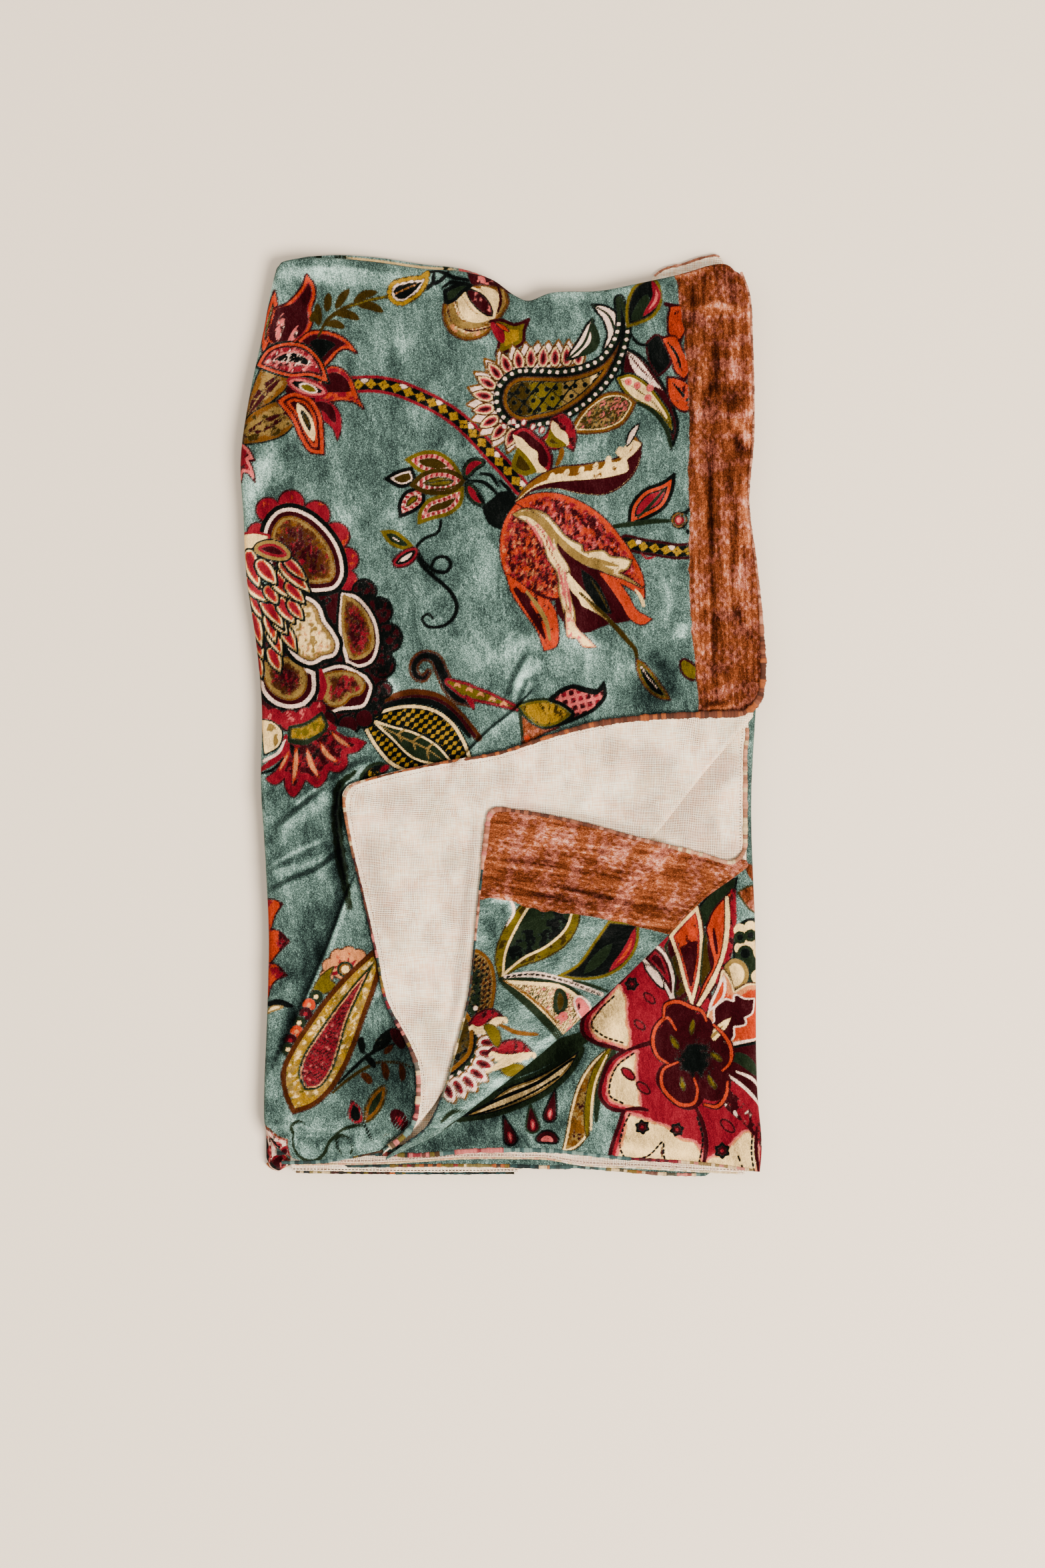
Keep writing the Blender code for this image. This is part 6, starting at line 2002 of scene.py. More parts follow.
GROUND_TONES = (  # teal pile, from dark to pale: random grain and crush, and painted shade and highlights
    (0.0, (0.0022, 0.0042, 0.0036)), (0.25, (0.0110, 0.0200, 0.0172)),
    (0.5, (0.0490, 0.0800, 0.0640)), (0.72, (0.1560, 0.2440, 0.1960)),
    (1.0, (0.5600, 0.7800, 0.6400)),
)
RUST_TONES = (  # the band along the cloth's end: brown to orange
    (0.0, (0.0060, 0.0011, 0.0004)), (0.26, (0.0260, 0.0048, 0.0014)),
    (0.5, (0.0880, 0.0180, 0.0050)), (0.74, (0.2300, 0.0510, 0.0140)),
    (1.0, (0.5600, 0.1800, 0.0750)),
)
RUST_PINK_TONES = (  # and where it lies rosy
    (0.0, (0.0120, 0.0026, 0.0018)), (0.26, (0.0500, 0.0100, 0.0056)),
    (0.5, (0.1600, 0.0390, 0.0210)), (0.74, (0.4000, 0.1150, 0.0660)),
    (1.0, (0.8000, 0.3800, 0.2500)),
)
VELVET = printed_velvet("printed_velvet", 0.15, 0.03, 0.0)
VELVET_ACROSS = printed_velvet("printed_velvet_turned", -1.2, 1.4, 0.42)
REVERSE = reverse_weave()
THREADS = hem_threads()

# Threads of the hems.
THREAD = {
    "rust": (0.095, 0.024, 0.010),
    "brown": (0.036, 0.010, 0.004),
    "teal": (0.016, 0.040, 0.036),
    "dark": (0.004, 0.007, 0.006),
    "olive": (0.100, 0.070, 0.008),
    "cream": (0.62, 0.42, 0.20),
    "pink": (0.46, 0.11, 0.09),
    "peach": (0.50, 0.20, 0.11),
    "maroon": (0.032, 0.003, 0.005),
    "crimson": (0.16, 0.006, 0.012),
    "orange": (0.300, 0.070, 0.014),
    "pale": (0.130, 0.200, 0.160),
    "white": (0.85, 0.66, 0.48),
    "taupe": (0.260, 0.150, 0.110),
    "clay": (0.240, 0.074, 0.034),
}


def dress(made, node, finish, hems=()):
    """Hands a sheet of cloth and its hems over to the frame."""
    made.data.materials.append(finish)
    for piece in (made, *hems):
        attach(piece, "root")
    if node:
        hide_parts(node)
    return made


def steps(*stops):
    """Parameters with named stops: (value, count) pairs, even between them."""
    out = [np.array([stops[0][0]])]
    for (start, _), (end, count) in zip(stops[:-1], stops[1:]):
        out.append(np.linspace(start, end, count + 1)[1:])
    return np.concatenate(out)


# Hems and stitches

def resample(path, step):
    """The same path with points one step apart, and their distance along it."""
    lengths = np.hypot(*np.diff(path[:, :2], axis=0).T)
    along = np.concatenate([[0.0], np.cumsum(lengths)])
    at = np.linspace(0, along[-1], max(int(along[-1] / step), 2))
    return np.stack([np.interp(at, along, path[:, i]) for i in range(3)], axis=-1), at


def round_off(path, reach):
    """Rounds the corners of a path that has points 0.5 mm apart."""
    count = int(reach / 0.5) | 1
    padded = np.concatenate([np.repeat(path[:1], count // 2, axis=0), path,
                             np.repeat(path[-1:], count // 2, axis=0)])
    kernel = np.ones(count) / count
    return np.stack([np.convolve(padded[:, i], kernel, "valid") for i in range(3)], axis=-1)


def edge_path(start, end, place, height, lift=0.0):
    """A path along a sheet's edge. place(t) gives its points for t from start to end."""
    t = np.linspace(start, end, int(abs(end - start) / 0.5) + 2)
    x, y = place(t)
    return np.stack([x, y, height(x, y) + lift], axis=-1)


def thread_colours(along, table, pitch, seed, group=1):
    """A colour for each group of a hem's threads, from (from this distance on, colours) rows."""
    number = np.floor(along / pitch).astype(int)
    rng = np.random.default_rng(seed)
    pick = rng.random(number.max() + 2)[number // group]
    shade = rng.uniform(0.75, 1.25, number.max() + 2)[number]
    starts = np.array([row[0] for row in table])
    row = np.clip(np.searchsorted(starts, (number + 0.5) * pitch, "right") - 1, 0, None)
    colours = np.zeros((len(along), 3))
    for i, (_, names) in enumerate(table):
        names = names.split()
        rows = np.array([THREAD[name] for name in names])
        here = row == i
        mixed = 0.75 * rows + 0.25 * rows.mean(axis=0)
        colours[here] = mixed[(pick[here] * len(names)).astype(int)]
    return colours * shade[:, None]


def roll(name, path, table, widths, seed, pitch=0.85):
    """An overlocked hem: a flattened roll of threads along a path, with (mm, width) rows."""
    step, sides = 0.27, 9
    path, along = resample(round_off(resample(path, 0.5)[0], 3.0), step)
    ahead = np.gradient(path, axis=0)
    ahead /= np.linalg.norm(ahead, axis=1, keepdims=True)
    across = np.stack([-ahead[:, 1], ahead[:, 0], np.zeros(len(path))], axis=-1)
    across /= np.linalg.norm(across, axis=1, keepdims=True)
    up = np.array([0.0, 0.0, 1.0])
    stops, sizes = np.array(widths, float).T
    width = np.interp(along, stops, sizes)
    wide = width / 2 * (0.74 + 0.52 * soft_noise(along, along * 0, 2.4, seed))
    tall = np.clip(width * 0.3, 0.5, 0.8)
    angles = np.linspace(0, 2 * np.pi, sides, endpoint=False)
    rings = []
    for i, angle in enumerate(angles):
        hair = 0.34 * (soft_noise(along, along * 0 + 7 * i, 0.6, seed + i) - 0.5)
        ridge = 1 + 0.12 * np.cos(along / pitch * 2 * np.pi) + hair
        out = across * (wide * ridge * np.cos(angle))[:, None]
        rings.append(path + out + up * (tall * ridge * np.sin(angle))[:, None])
    points = np.stack(rings, axis=1)
    colours = thread_colours(np.repeat(along, sides), table, pitch, seed, 4)
    faces = grid_faces(len(path), sides)
    index = np.arange(len(path) * sides).reshape(len(path), sides)
    close = np.stack([index[:-1, -1], index[:-1, 0], index[1:, 0], index[1:, -1]], axis=-1)
    made = add_mesh(name, points.reshape(-1, 3), np.concatenate([faces, close]),
                    colours={"thread": colours})
    made.data.materials.append(THREADS)
    return made


def bars(name, centres, ahead, length, width, colours):
    """Small rounded stitches: one short bar at each centre, along its own direction."""
    ahead = ahead / np.linalg.norm(ahead, axis=1, keepdims=True)
    across = np.stack([-ahead[:, 1], ahead[:, 0], np.zeros(len(ahead))], axis=-1)
    up = np.array([0.0, 0.0, 1.0])
    stations = ((-0.5, 0.45), (-0.3, 1.0), (0.3, 1.0), (0.5, 0.45))
    sides = 6
    rings = []
    for share, size in stations:
        for i in range(sides):
            angle = 2 * np.pi * i / sides
            rings.append(centres + ahead * share * length
                         + across * (np.cos(angle) * size * width / 2)
                         + up * (np.sin(angle) * size * width * 0.4))
    points = np.stack(rings, axis=1)
    faces = []
    for ring in range(len(stations) - 1):
        for i in range(sides):
            a, b = ring * sides + i, ring * sides + (i + 1) % sides
            faces.append((a, b, b + sides, a + sides))
    last = (len(stations) - 1) * sides
    faces += [(3, 2, 1, 0), (5, 4, 3, 0)]
    faces += [(last, last + 1, last + 2, last + 3), (last, last + 3, last + 4, last + 5)]
    count = len(stations) * sides
    faces = (np.arange(len(centres))[:, None, None] * count + np.array(faces)).reshape(-1, 4)
    made = add_mesh(name, points.reshape(-1, 3), faces,
                    colours={"thread": np.repeat(colours, count, axis=0)})
    made.data.materials.append(THREADS)
    return made


def stitch_line(name, path, pitch, length, width, table, across=False, seed=5):
    """A row of stitches along a path, or across it."""
    points, along = resample(path, pitch)
    ahead = np.gradient(points, axis=0)
    if across:
        ahead = np.stack([-ahead[:, 1], ahead[:, 0], ahead[:, 2] * 0], axis=-1)
    rng = np.random.default_rng(seed)
    ahead = ahead + rng.uniform(-0.12, 0.12, ahead.shape) * np.linalg.norm(ahead[0])
    return bars(name, points, ahead, length, width, thread_colours(along, table, pitch, seed))


# Pieces of cloth

def plain_fields(x, y):
    """The fields of velvet that shows no print."""
    fields = fields_for(x, y, lambda p: None)
    fields["pile_and_painted_light"] = np.zeros(x.shape)
    return fields


def weave_fields(x, y, strokes=()):
    return {"open_and_shade": strokes_at(x, y, strokes) if strokes else np.zeros(x.shape)}


def panel_1():
    """Layer 1: the large printed face, rolled over the folds at the left and at the top."""
    reach, arc = 3.2, 5.0
    clear = (BEND_RADIUS + SEAM_GAP) / NORMAL_1[1]
    hidden = 14.0
    blend_top, blend_run = -57.0, 20.0
    columns = steps((0.0, 0), (0.86, 245), (1.0, 20))
    seam, far = 62, 255

    def left(y):
        return left_side(y) + reach - arc

    def joint(x):
        return np.maximum(flap_1_top(x) - hidden, fold_1(x) + clear)

    def lowest(x):
        return np.maximum(lower_hem_1(x), fold_1(x) + clear)

    def share(column):
        return lambda y: left(y) + columns[column] * (right_hem_1(y) - left(y))

    def beside_flap(y):
        at_joint = share(seam)(y)
        return at_joint + (flap_1_left(y) + hidden - at_joint) * smooth_step(
            (blend_top - y) / blend_run)

    def highest(x):
        return top_side(x) - reach + arc

    def patch(across, rows, sides, draw):
        x, y = spread(*np.meshgrid(across, rows), sides)
        z = height_1(np.maximum(x, left_side(y) + reach), np.minimum(y, top_side(x) - reach))
        fields = fields_for(x, y, draw)
        # Crushed pile, painted highlights and painted shade from the listed strokes, and painted shading
        # from each point's slope towards the light.
        fields["pile_and_painted_light"] = strokes_at(x, y, PILE_AND_PAINTED_LIGHT_1) + 1.1 * painted_slope_light(x, y, height_1)
        inward, fall_left = lip(x - left_side(y), reach, 4.6)
        px = np.where(x - left_side(y) < reach, left_side(y) + inward, x)
        inward, fall_top = lip(top_side(px) - y, reach, 2.4)
        py = np.where(top_side(px) - y < reach, top_side(px) - inward, y)
        px, py = rounded(px, py, left_side, lower_hem_1, 26.0, 1.0, 1.0)
        px, py = rounded(px, py, left_side, top_side, 3.0)
        px, py = rounded(px, py, right_hem_1, top_side, 8.0, -1.0, -1.0)
        return px, py, z - np.maximum(fall_left, fall_top), fields

    under = (columns[seam:far] - columns[seam]) / (columns[far - 1] - columns[seam])
    made = cloth_mesh("velvet_panel_1", [
        patch(columns, np.linspace(0, 1, 306), (left, right_hem_1, joint, highest),
              draw_panel_1),
        patch(columns[:seam + 1] / columns[seam], np.linspace(0, 1, 196),
              (left, beside_flap, lowest, joint), draw_panel_1),
        patch(under, np.linspace(0, 1, 9), (beside_flap, share(far - 1), lowest, joint),
              lambda p: None),
    ])
    lower = edge_path(-124.0, -66.0, lambda x: (x, lower_hem_1(x) + 0.5), height_1, -0.2)
    hems = [roll("hem_panel_1", lower, [(0, "teal dark pale"), (24, "teal pale"),
                                        (40, "brown olive dark")],
                 [(0, 2.2), (24, 2.4), (34, 1.2), (58, 1.4)], pitch=0.6, seed=3)]
    return dress(made, "panel_1", VELVET,
                 hems=hems)


# The long hem of layer 1 and its turned corner, from the top right of the pack down the
# right side, along the corner's top, and down its left side.
LONG_HEM_THREADS = [  # (mm along the hem, threads)
    (0.0, "peach clay rust"), (90.0, "clay rust peach"), (200.0, "rust clay brown orange"),
    (256.0, "rust orange brown rust"), (372.0, "rust brown orange"), (470.0, "peach cream clay"),
    (486.0, "rust orange clay cream"), (520.0, "rust maroon brown"), (560.0, "pink maroon brown"),
    (578.0, "teal dark olive"), (588.0, "olive orange"), (598.0, "maroon teal dark crimson"),
    (616.0, "maroon olive pink dark"), (634.0, "pink cream teal maroon"), (646.0, "pink cream maroon"),
    (664.0, "maroon pink crimson"), (674.0, "pale teal pale"), (684.0, "olive"), (688.0, "pink"),
    (691.5, "brown cream dark"), (695.0, "olive brown"), (698.0, "pink cream"),
    (701.5, "olive olive dark"), (705.5, "pink crimson"), (709.0, "brown olive cream"),
]
LONG_HEM_WIDTHS = [  # (mm along the hem, width)
    (0, 1.5), (90, 1.4), (180, 1.7), (208, 3.4), (262, 4.0), (340, 3.4), (376, 2.2), (460, 1.2),
    (480, 1.9), (515, 1.9), (530, 1.3), (580, 1.4), (610, 2.0), (640, 2.6), (660, 3.2), (700, 3.6),
    (716, 3.0),
]


def corner_1():
    arc = BEND_RADIUS * (BEND_END - 1)
    sides = (
        to_tip(flap_1_left, fold_1, NORMAL_1),
        level(141.0),
        lambda x: fold_1(x) - arc / NORMAL_1[1],
        flap_1_top,
    )
    u, v = np.meshgrid(np.linspace(0, 1, 150), steps((0.0, 0), (0.08, 14), (1.0, 130)))
    x, y = spread(u, v, sides)
    x, y = rounded(x, y, flap_1_left, flap_1_top, 6.0)
    z = height_corner_1(x, y)
    px, py, rolled, round_it = bend(x, y, fold_1, NORMAL_1, height_1(x, y))
    made = cloth_mesh("reverse_corner_1", [(px, py, np.where(rolled, round_it, z),
                                            weave_fields(x, y, OPEN_AND_SHADE_1))])
    right = edge_path(250.0, 8.0, lambda y: (right_hem_1(y) - 0.5, y), height_1, -0.2)
    top = edge_path(137.0, -85.0, lambda x: (x, flap_1_top(x) - 0.7), height_corner_1, 0.0)
    down = edge_path(-46.0, -243.0, lambda y: (flap_1_left(y) + 0.5, y), height_corner_1, 0.0)
    path = round_off(resample(np.concatenate([right, top, down]), 0.5)[0], 8.0)
    inner_top = edge_path(60.0, -82.0, lambda x: (x, flap_1_top(x) - 3.6), height_corner_1, 0.1)
    inner_down = edge_path(-50.0, -228.0, lambda y: (flap_1_left(y) + 3.6, y),
                           height_corner_1, 0.1)
    inner = round_off(resample(np.concatenate([inner_top, inner_down]), 0.5)[0], 7.0)
    hems = [
        roll("hem_corner_1", path, LONG_HEM_THREADS, LONG_HEM_WIDTHS, pitch=0.6, seed=11),
        stitch_line("stitches_corner_1", inner, 1.7, 0.8, 0.34, [(0, "taupe"),
                    (155, "taupe brown"), (250, "taupe maroon")], seed=12),
    ]
    return dress(made, "turned_corner_1", REVERSE,
                 hems=hems)


def right_edge_2(y):
    open_edge = smooth_step((-y + 2.0) / 16.0)
    return np.minimum(right_side(y), right_hem_1(y)) - 4.5 + 2.0 * open_edge


def panel_2():
    clear = (BEND_RADIUS + SEAM_GAP) / NORMAL_2[1]
    sides = (
        lambda y: left_side(y) + HIDDEN_INSET,
        right_edge_2,
        lambda x: np.maximum(-241.5, fold_2(x) + clear),
        hidden_top,
    )
    x, y = spread(*np.meshgrid(np.linspace(0, 1, 100), np.linspace(0, 1, 150)), sides)
    fold = 0.5 * strokes_at(x, y, [(4.0, 1.2, [(104, -46), (117, -58), (126, -84)]),
                                   (3.0, 0.8, [(122, -20), (128, -34), (137, -40)])])
    made = cloth_mesh("reverse_panel_2", [(x, y, height_2(x, y) + fold,
                                           weave_fields(x, y, OPEN_AND_SHADE_2))])
    inner = edge_path(-8.0, -76.0, lambda y: (right_edge_2(y) - 3.4, y), height_2, 0.15)
    hems = [stitch_line("stitches_panel_2", inner, 1.7, 0.8, 0.4, [(0, "taupe brown maroon")],
                        across=True, seed=22)]
    return dress(made, "panel_2", REVERSE,
                 hems=hems)


def corner_2():
    arc = BEND_RADIUS * (BEND_END - 1)
    sides = (
        to_tip(flap_2_left, fold_2, NORMAL_2),
        level(138.2),
        lambda x: fold_2(x) - arc / NORMAL_2[1],
        flap_2_top,
    )
    u, v = np.meshgrid(np.linspace(0, 1, 200), steps((0.0, 0), (0.1, 14), (1.0, 190)))
    x, y = spread(u, v, sides)
    fields = fields_for(x, y, draw_corner_2)
    # Crushed pile, painted highlights and painted shade from the listed strokes, and painted shading from
    # each point's slope towards the light.
    fields["pile_and_painted_light"] = strokes_at(x, y, PILE_AND_PAINTED_LIGHT_2) + 0.5 * painted_slope_light(x, y, height_corner_2)
    x, y = rounded(x, y, flap_2_left, flap_2_top, 5.0)
    x, y = rounded(x, y, level(138.2), flap_2_top, 4.0, -1.0, -1.0)
    z = height_corner_2(x, y) + 0.8 * (soft_noise(x + y, y - 0.4 * x, 9.0, 14) - 0.5)
    px, py, rolled, round_it = bend(x, y, fold_2, NORMAL_2, height_2(x, y))
    made = cloth_mesh("velvet_corner_2", [(px, py, np.where(rolled, round_it, z), fields)])
    right = edge_path(-6.0, -76.0, lambda y: (right_edge_2(y) - 0.7, y), height_2, 0.1)
    top = edge_path(132.0, -4.0, lambda x: (x, flap_2_top(x) - 0.5), height_corner_2, -0.1)
    down = edge_path(-56.0, -240.0, lambda y: (flap_2_left(y) + 0.5, y), height_corner_2, -0.1)
    path = round_off(resample(np.concatenate([right, top, down]), 0.5)[0], 7.0)
    hems = [roll("hem_corner_2", path,
                 [(0, "peach cream clay"), (70, "cream peach clay"), (116, "clay peach rust clay"),
                  (160, "clay rust brown clay"),
                  (212, "peach pink clay"), (250, "teal dark"), (262, "rust peach"),
                  (290, "teal dark brown"), (330, "cream teal olive"), (380, "teal dark")],
                 [(0, 2.2), (60, 2.8), (84, 2.4), (150, 2.0), (207, 2.0), (216, 3.4), (240, 3.2),
                  (252, 1.3), (400, 1.2)], pitch=0.6, seed=31)]
    return dress(made, "turned_corner_2", VELVET_ACROSS,
                 hems=hems)


# The threads of layer 3's lower hem.
LOWER_HEM_THREADS = [  # (mm from its left end, threads)
    (0.0, "teal dark"), (60.0, "pink maroon"), (68.0, "olive dark"), (74.0, "pink maroon crimson"),
    (81.0, "brown pink"), (86.0, "olive brown"), (92.0, "teal pale"), (100.0, "crimson pink pink"),
    (128.0, "pale teal"), (166.0, "olive pale"), (173.0, "pale teal"), (200.0, "crimson maroon"),
    (226.0, "cream pink olive"),
]


def panel_3():
    reach, arc = 3.0, 4.6
    sides = (
        lambda y: left_side(y) + HIDDEN_INSET,
        lambda y: right_side(y) - reach + arc,
        lower_hem_3,
        hidden_top,
    )
    u, v = np.meshgrid(steps((0.0, 0), (0.24, 8), (1.0, 285)), np.linspace(0, 1, 265))
    x, y = spread(u, v, sides)
    low, high = sides[2](x), sides[3](x)
    seen = np.clip((fold_2(x) + 14.0 - low) / (high - low), 0.03, 1)
    fine = 0.92
    split = np.where(v < fine, v / fine * seen, seen + (v - fine) / (1 - fine) * (1 - seen))
    x, y = spread(u, split, sides)
    z = height_3(np.minimum(x, right_side(y) - reach), y)
    fields = fields_for(x, y, draw_panel_3)
    # Crushed pile, and painted highlights and painted shade from the listed strokes.
    fields["pile_and_painted_light"] = strokes_at(x, y, PILE_AND_PAINTED_LIGHT_3)
    inward, fall = lip(right_side(y) - x, reach, 3.2)
    px = np.where(right_side(y) - x < reach, right_side(y) - inward, x)
    made = cloth_mesh("velvet_panel_3", [(px, y, z - fall, fields)])
    edge = edge_path(-127.0, 142.0, lambda x: (x, lower_hem_3(x) + 0.6), height_3, 0.0)
    hems = [roll("hem_panel_3", edge, LOWER_HEM_THREADS,
                 [(0, 2.0), (75, 2.6), (130, 2.8), (190, 2.0), (269, 1.6)], pitch=0.6, seed=41)]
    return dress(made, "panel_3", VELVET,
                 hems=hems)


def lower_hem(name, node, edge_table, layers_down, finish, slot, table, widths, stitches=None):
    """The hem of a lower layer that shows below layer 3."""
    edge = side(edge_table)
    start, end = edge_table[0][0], edge_table[-1][0]
    drop = min(layers_down * PITCH, HEM_STEP - 0.3)

    def height(x, y):
        wave = 0.7 * (soft_noise(x, y * 0 + layers_down, 17.0, 71) - 0.5)
        return height_3(x, y) - drop + wave

    sides = (
        level(start),
        level(end),
        edge,
        level(HEM_STEP_Y - HEM_STEP_RUN - 4.0),
    )
    x, y = spread(*np.meshgrid(np.linspace(0, 1, 160), np.linspace(0, 1, 16)), sides)
    # The reverse hems get a darker strip along their edge: open weave, and painted shade where it lies
    # under the layer above.
    fields = plain_fields(x, y) if slot == "velvet" else weave_fields(x, y, [
        (3.4, 0.9, [(-130, -250), (-40, -249), (20, -250), (145, -256)])])
    px, py = rounded(x, y, level(start), edge, 4.0, 1.0, 1.0)
    px, py = rounded(px, py, level(end), edge, 4.0, -1.0, 1.0)
    made = cloth_mesh(name, [(px, py, height(x, y), fields)])
    path = edge_path(start + 2.5, end - 2.5, lambda x: (x, edge(x) + 0.5), height, 0.0)
    hems = [roll("roll_" + name, path, table, widths, pitch=0.6, seed=51)]
    if stitches:
        inner = edge_path(start + 2, end - 2, lambda x: (x, edge(x) + 2.2), height, 0.15)
        hems.append(stitch_line("stitches_" + name, inner, 1.9, 1.4, 0.5, [(0, stitches)]))
    return dress(made, node, finish,
                 hems=hems)


def fold_end():
    """The crumpled flare where the fold of the lower layers ends, printed with a petal."""
    outline = side([(-134, -252), (-131, -255.6), (-127, -257.6), (-122, -255.4), (-117, -252.6),
                    (-108, -251.0)])
    sides = (lambda y: left_side(y) + 0.4, level(-112.0), outline, level(-226.0))
    x, y = spread(*np.meshgrid(np.linspace(0, 1, 60), np.linspace(0, 1, 70)), sides)
    px, py = rounded(x, y, sides[0], outline, 4.0, 1.0, 1.0)
    inward = np.minimum(px - sides[0](py), py - outline(px))
    crumple = 1.6 * (soft_noise(x, y, 4.5, 81) - 0.5) + 0.7 * (soft_noise(x, y, 2.0, 82) - 0.5)
    z = 2.2 + 9.2 * (1 - np.exp(-np.maximum(inward, 0) / 2.6)) + crumple
    z = np.minimum(z, height_1(np.maximum(px, left_side(py) + 3.2), py) - 2.2)
    fields = fields_for(x, y, draw_fold_end)
    fields["pile_and_painted_light"] = np.zeros(x.shape)
    made = cloth_mesh("velvet_fold_end", [(px, py, z, fields)])
    path = edge_path(-133.0, -119.0, lambda x: (x, outline(x) + 0.6),
                     lambda x, y: np.full(x.shape, 2.4))
    hems = [roll("hem_fold_end", path, [(0, "orange olive dark"), (5, "olive cream"),
                                        (9, "cream white")], [(0, 1.6), (14, 1.2)], seed=83)]
    return dress(made, "fold_end", VELVET,
                 hems=hems)


def far_end_corner():
    """The cream reverse of the cloth's far end, in two lobes past the top fold."""
    start, end = 85.0, 125.5
    edge = side([(85.0, 247.6), (90.0, 251.6), (97.0, 254.2), (104.0, 255.8), (110.0, 258.0),
                 (117.0, 259.8), (122.0, 260.2), (125.5, 257.6)])

    def height(x, y):
        lobe = 1.0 * np.exp(-((x - 98.0 - 0.5 * (y - 250.0)) / 1.6) ** 2)
        return 6.0 - 3.6 * smooth_step((y - top_side(x) + 4.0) / 9.0) - lobe

    sides = (
        level(start),
        level(end),
        lambda x: hidden_top(x) + HIDDEN_INSET - BACK_TUCK,
        edge,
    )
    x, y = spread(*np.meshgrid(np.linspace(0, 1, 60), np.linspace(0, 1, 24)), sides)
    px, py = rounded(x, y, level(end), edge, 3.0, -1.0, -1.0)
    made = cloth_mesh("reverse_far_end", [(px, py, height(x, y), weave_fields(x, y))])
    path = edge_path(start + 1, end - 2, lambda x: (x, edge(x) - 0.3), height, 0.0)
    hems = [roll("hem_far_end", path, [(0, "rust peach clay")], [(0, 1.2), (22, 1.6), (40, 1.2)],
                 seed=61)]
    return dress(made, "far_end_corner", REVERSE,
                 hems=hems)


def back_fold():
    """A lower layer's fold, which shows past the top fold as a teal line that turns cream."""
    start, end = -119.0, -6.0
    sides = (
        level(start),
        level(end),
        lambda x: hidden_top(x) + HIDDEN_INSET - BACK_TUCK,
        lambda x: top_side(x) + 0.4 + 3.6 * np.sin((x - start) / (end - start) * np.pi) ** 0.5,
    )
    x, y = spread(*np.meshgrid(np.linspace(0, 1, 200), np.linspace(0, 1, 16)), sides)
    z = 7.4 - 3.4 * smooth_step((y - top_side(x) + 3.0) / 6.0)
    fields = fields_for(x, y, draw_back_fold)
    # The whole fold is painted pale: a painted highlight on its rolled lip.
    fields["pile_and_painted_light"] = np.full(x.shape, 0.7)
    made = cloth_mesh("velvet_back_fold", [(x, y, z, fields)])
    return dress(made, "back_fold", VELVET)


def hidden_stack():
    """Layers 4 to 8: five soft folds, one on the other, whose rounded edges show at the sides."""
    count, around, per_layer = 5, 840, 8
    squareness, girth = 14, 1500.0
    turn = np.linspace(0, 2 * np.pi, around, endpoint=False)
    square = (np.abs(np.cos(turn)) ** squareness
              + np.abs(np.sin(turn)) ** squareness) ** (-1 / squareness)
    u, v = square * np.cos(turn), square * np.sin(turn)
    distance = turn / (2 * np.pi) * girth
    rings = []

    def ring(inset, share, scale=1.0):
        sides = (
            lambda y: left_side(y) + inset,
            lambda y: right_side(y) - inset,
            lambda x: bottom_side(x) + inset,
            lambda x: hidden_top(x) + HIDDEN_INSET - inset,
        )
        x, y = spread(0.5 + 0.5 * scale * u, 0.5 + 0.5 * scale * v, sides)
        top = core_height(x, y) - 0.3
        rings.append(np.stack([x, y, top * share], axis=-1))

    for scale in (0.001, 0.5, 0.9):
        ring(6.0, 0.0, scale)
    for layer in range(count):
        sway = 2.6 * soft_noise(distance, distance * 0, 46.0, 90 + layer)
        small = 0.7 * soft_noise(distance, distance * 0, 9.0, 95 + layer)
        base = 1.6 + sway + small + (0.9 if layer % 2 else 0.0)
        for step in range(per_layer + 1):
            height = step / per_layer
            lip_in = 1.5 * (1 - np.sqrt(np.maximum(1 - (2 * height - 1) ** 2, 0)))
            ring(base + lip_in, (layer + height) / count)
    for scale in (0.97, 0.9, 0.6, 0.001):
        ring(6.0, 1.0, scale)
    points = np.concatenate(rings)
    rows = len(rings)
    index = np.arange(rows * around).reshape(rows, around)
    following = np.roll(index, -1, axis=1)
    faces = np.stack([index[:-1], following[:-1], following[1:], index[1:]], axis=-1)
    x, y = points[:, 0], points[:, 1]
    fields = plain_fields(x, y)
    made = add_mesh("velvet_hidden_layers", points, faces.reshape(-1, 4), fields)
    return dress(made, "hidden_layers", VELVET)


# The stage

def floor():
    bpy.ops.mesh.primitive_plane_add(size=6.0, location=(0, 0, -0.0002))
    made = bpy.context.object
    made.name = "floor"
    n = Nodes("pale_floor")
    n.shader.inputs["Base Color"].default_value = (0.800, 0.645, 0.484, 1.0)
    n.shader.inputs["Roughness"].default_value = 0.95
    n.shader.inputs["Specular IOR Level"].default_value = 0.1
    made.data.materials.append(n.material)


def area_light(name, place, size, power, colour):
    light = bpy.data.lights.new(name, "AREA")
    light.shape = "DISK"
    light.size = size
    light.energy = power
    light.color = colour
    made = bpy.data.objects.new(name, light)
    made.location = place
    bpy.context.scene.collection.objects.link(made)
    made.rotation_mode = "QUATERNION"
    made.rotation_quaternion = (-Vector(place)).to_track_quat("-Z", "Y")


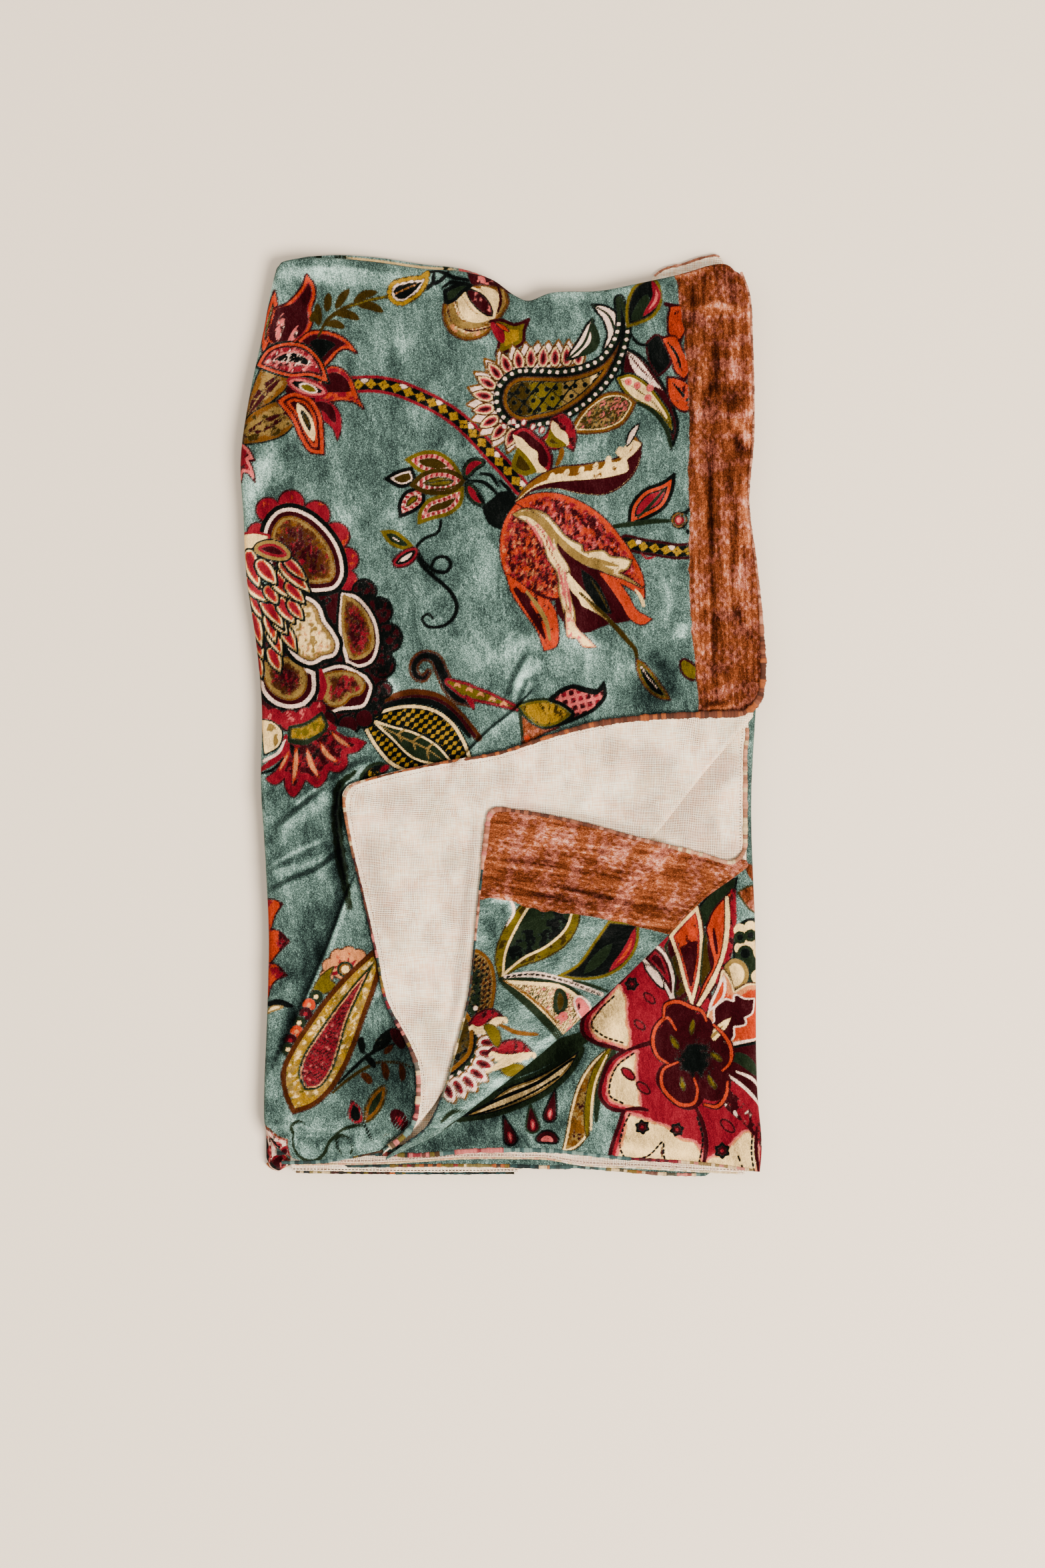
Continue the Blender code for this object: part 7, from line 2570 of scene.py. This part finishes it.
def studio():
    area_light("key", (1.3, -0.95, 2.3), 1.4, 212.0, (1.0, 0.98, 0.95))
    area_light("fill", (-1.0, 0.9, 1.8), 1.8, 12.0, (0.97, 0.98, 1.0))
    world = bpy.data.worlds.new("studio")
    world.use_nodes = True
    world.node_tree.nodes["Background"].inputs["Color"].default_value = (1.0, 0.99, 0.98, 1.0)
    world.node_tree.nodes["Background"].inputs["Strength"].default_value = 0.95
    bpy.context.scene.world = world


def camera():
    view_height, lens, sensor = 0.8796, 70.0, 36.0
    centre_x, centre_y, table_height = 0.0117, -0.0388, 0.016
    made = bpy.data.objects.new("camera", bpy.data.cameras.new("camera"))
    bpy.context.scene.collection.objects.link(made)
    made.data.lens = lens
    made.data.sensor_width = sensor
    made.location = (centre_x, centre_y, view_height * lens / sensor + table_height)
    bpy.context.scene.camera = made


camera()
floor()
studio()
panel_1()
corner_1()
panel_2()
corner_2()
panel_3()
lower_hem("reverse_hem_4", "panel_4_hem", HEM_4_EDGE, 1, REVERSE, "reverse",
          [(0, "cream cream peach"), (150, "cream white cream")], [(0, 1.0), (250, 1.2)],
          stitches="taupe")
lower_hem("velvet_hem_5", "panel_5_hem", HEM_5_EDGE, 2, VELVET, "velvet",
          [(0, "teal dark"), (24, "maroon crimson olive"), (36, "olive orange dark"),
           (56, "olive crimson olive"), (66, "cream olive dark"), (80, "dark olive orange"),
           (92, "teal dark"), (108, "orange cream"), (114, "teal dark pale"),
           (146, "olive cream dark"), (158, "olive orange"), (166, "pink maroon cream"),
           (178, "dark teal cream"), (186, "crimson pink cream"), (197, "teal pale")],
          [(0, 1.8), (150, 2.4), (208, 1.8)])
lower_hem("reverse_hem_6", "panel_6_hem", HEM_6_EDGE, 3, REVERSE, "reverse",
          [(0, "cream brown"), (4, "dark"), (8, "olive dark cream"), (20, "olive maroon dark"),
           (50, "orange dark"), (56, "teal olive dark"), (62, "teal dark"), (118, "dark olive")],
          [(0, 1.6), (129, 1.4)], stitches="brown")
hidden_stack()
fold_end()
far_end_corner()
back_fold()
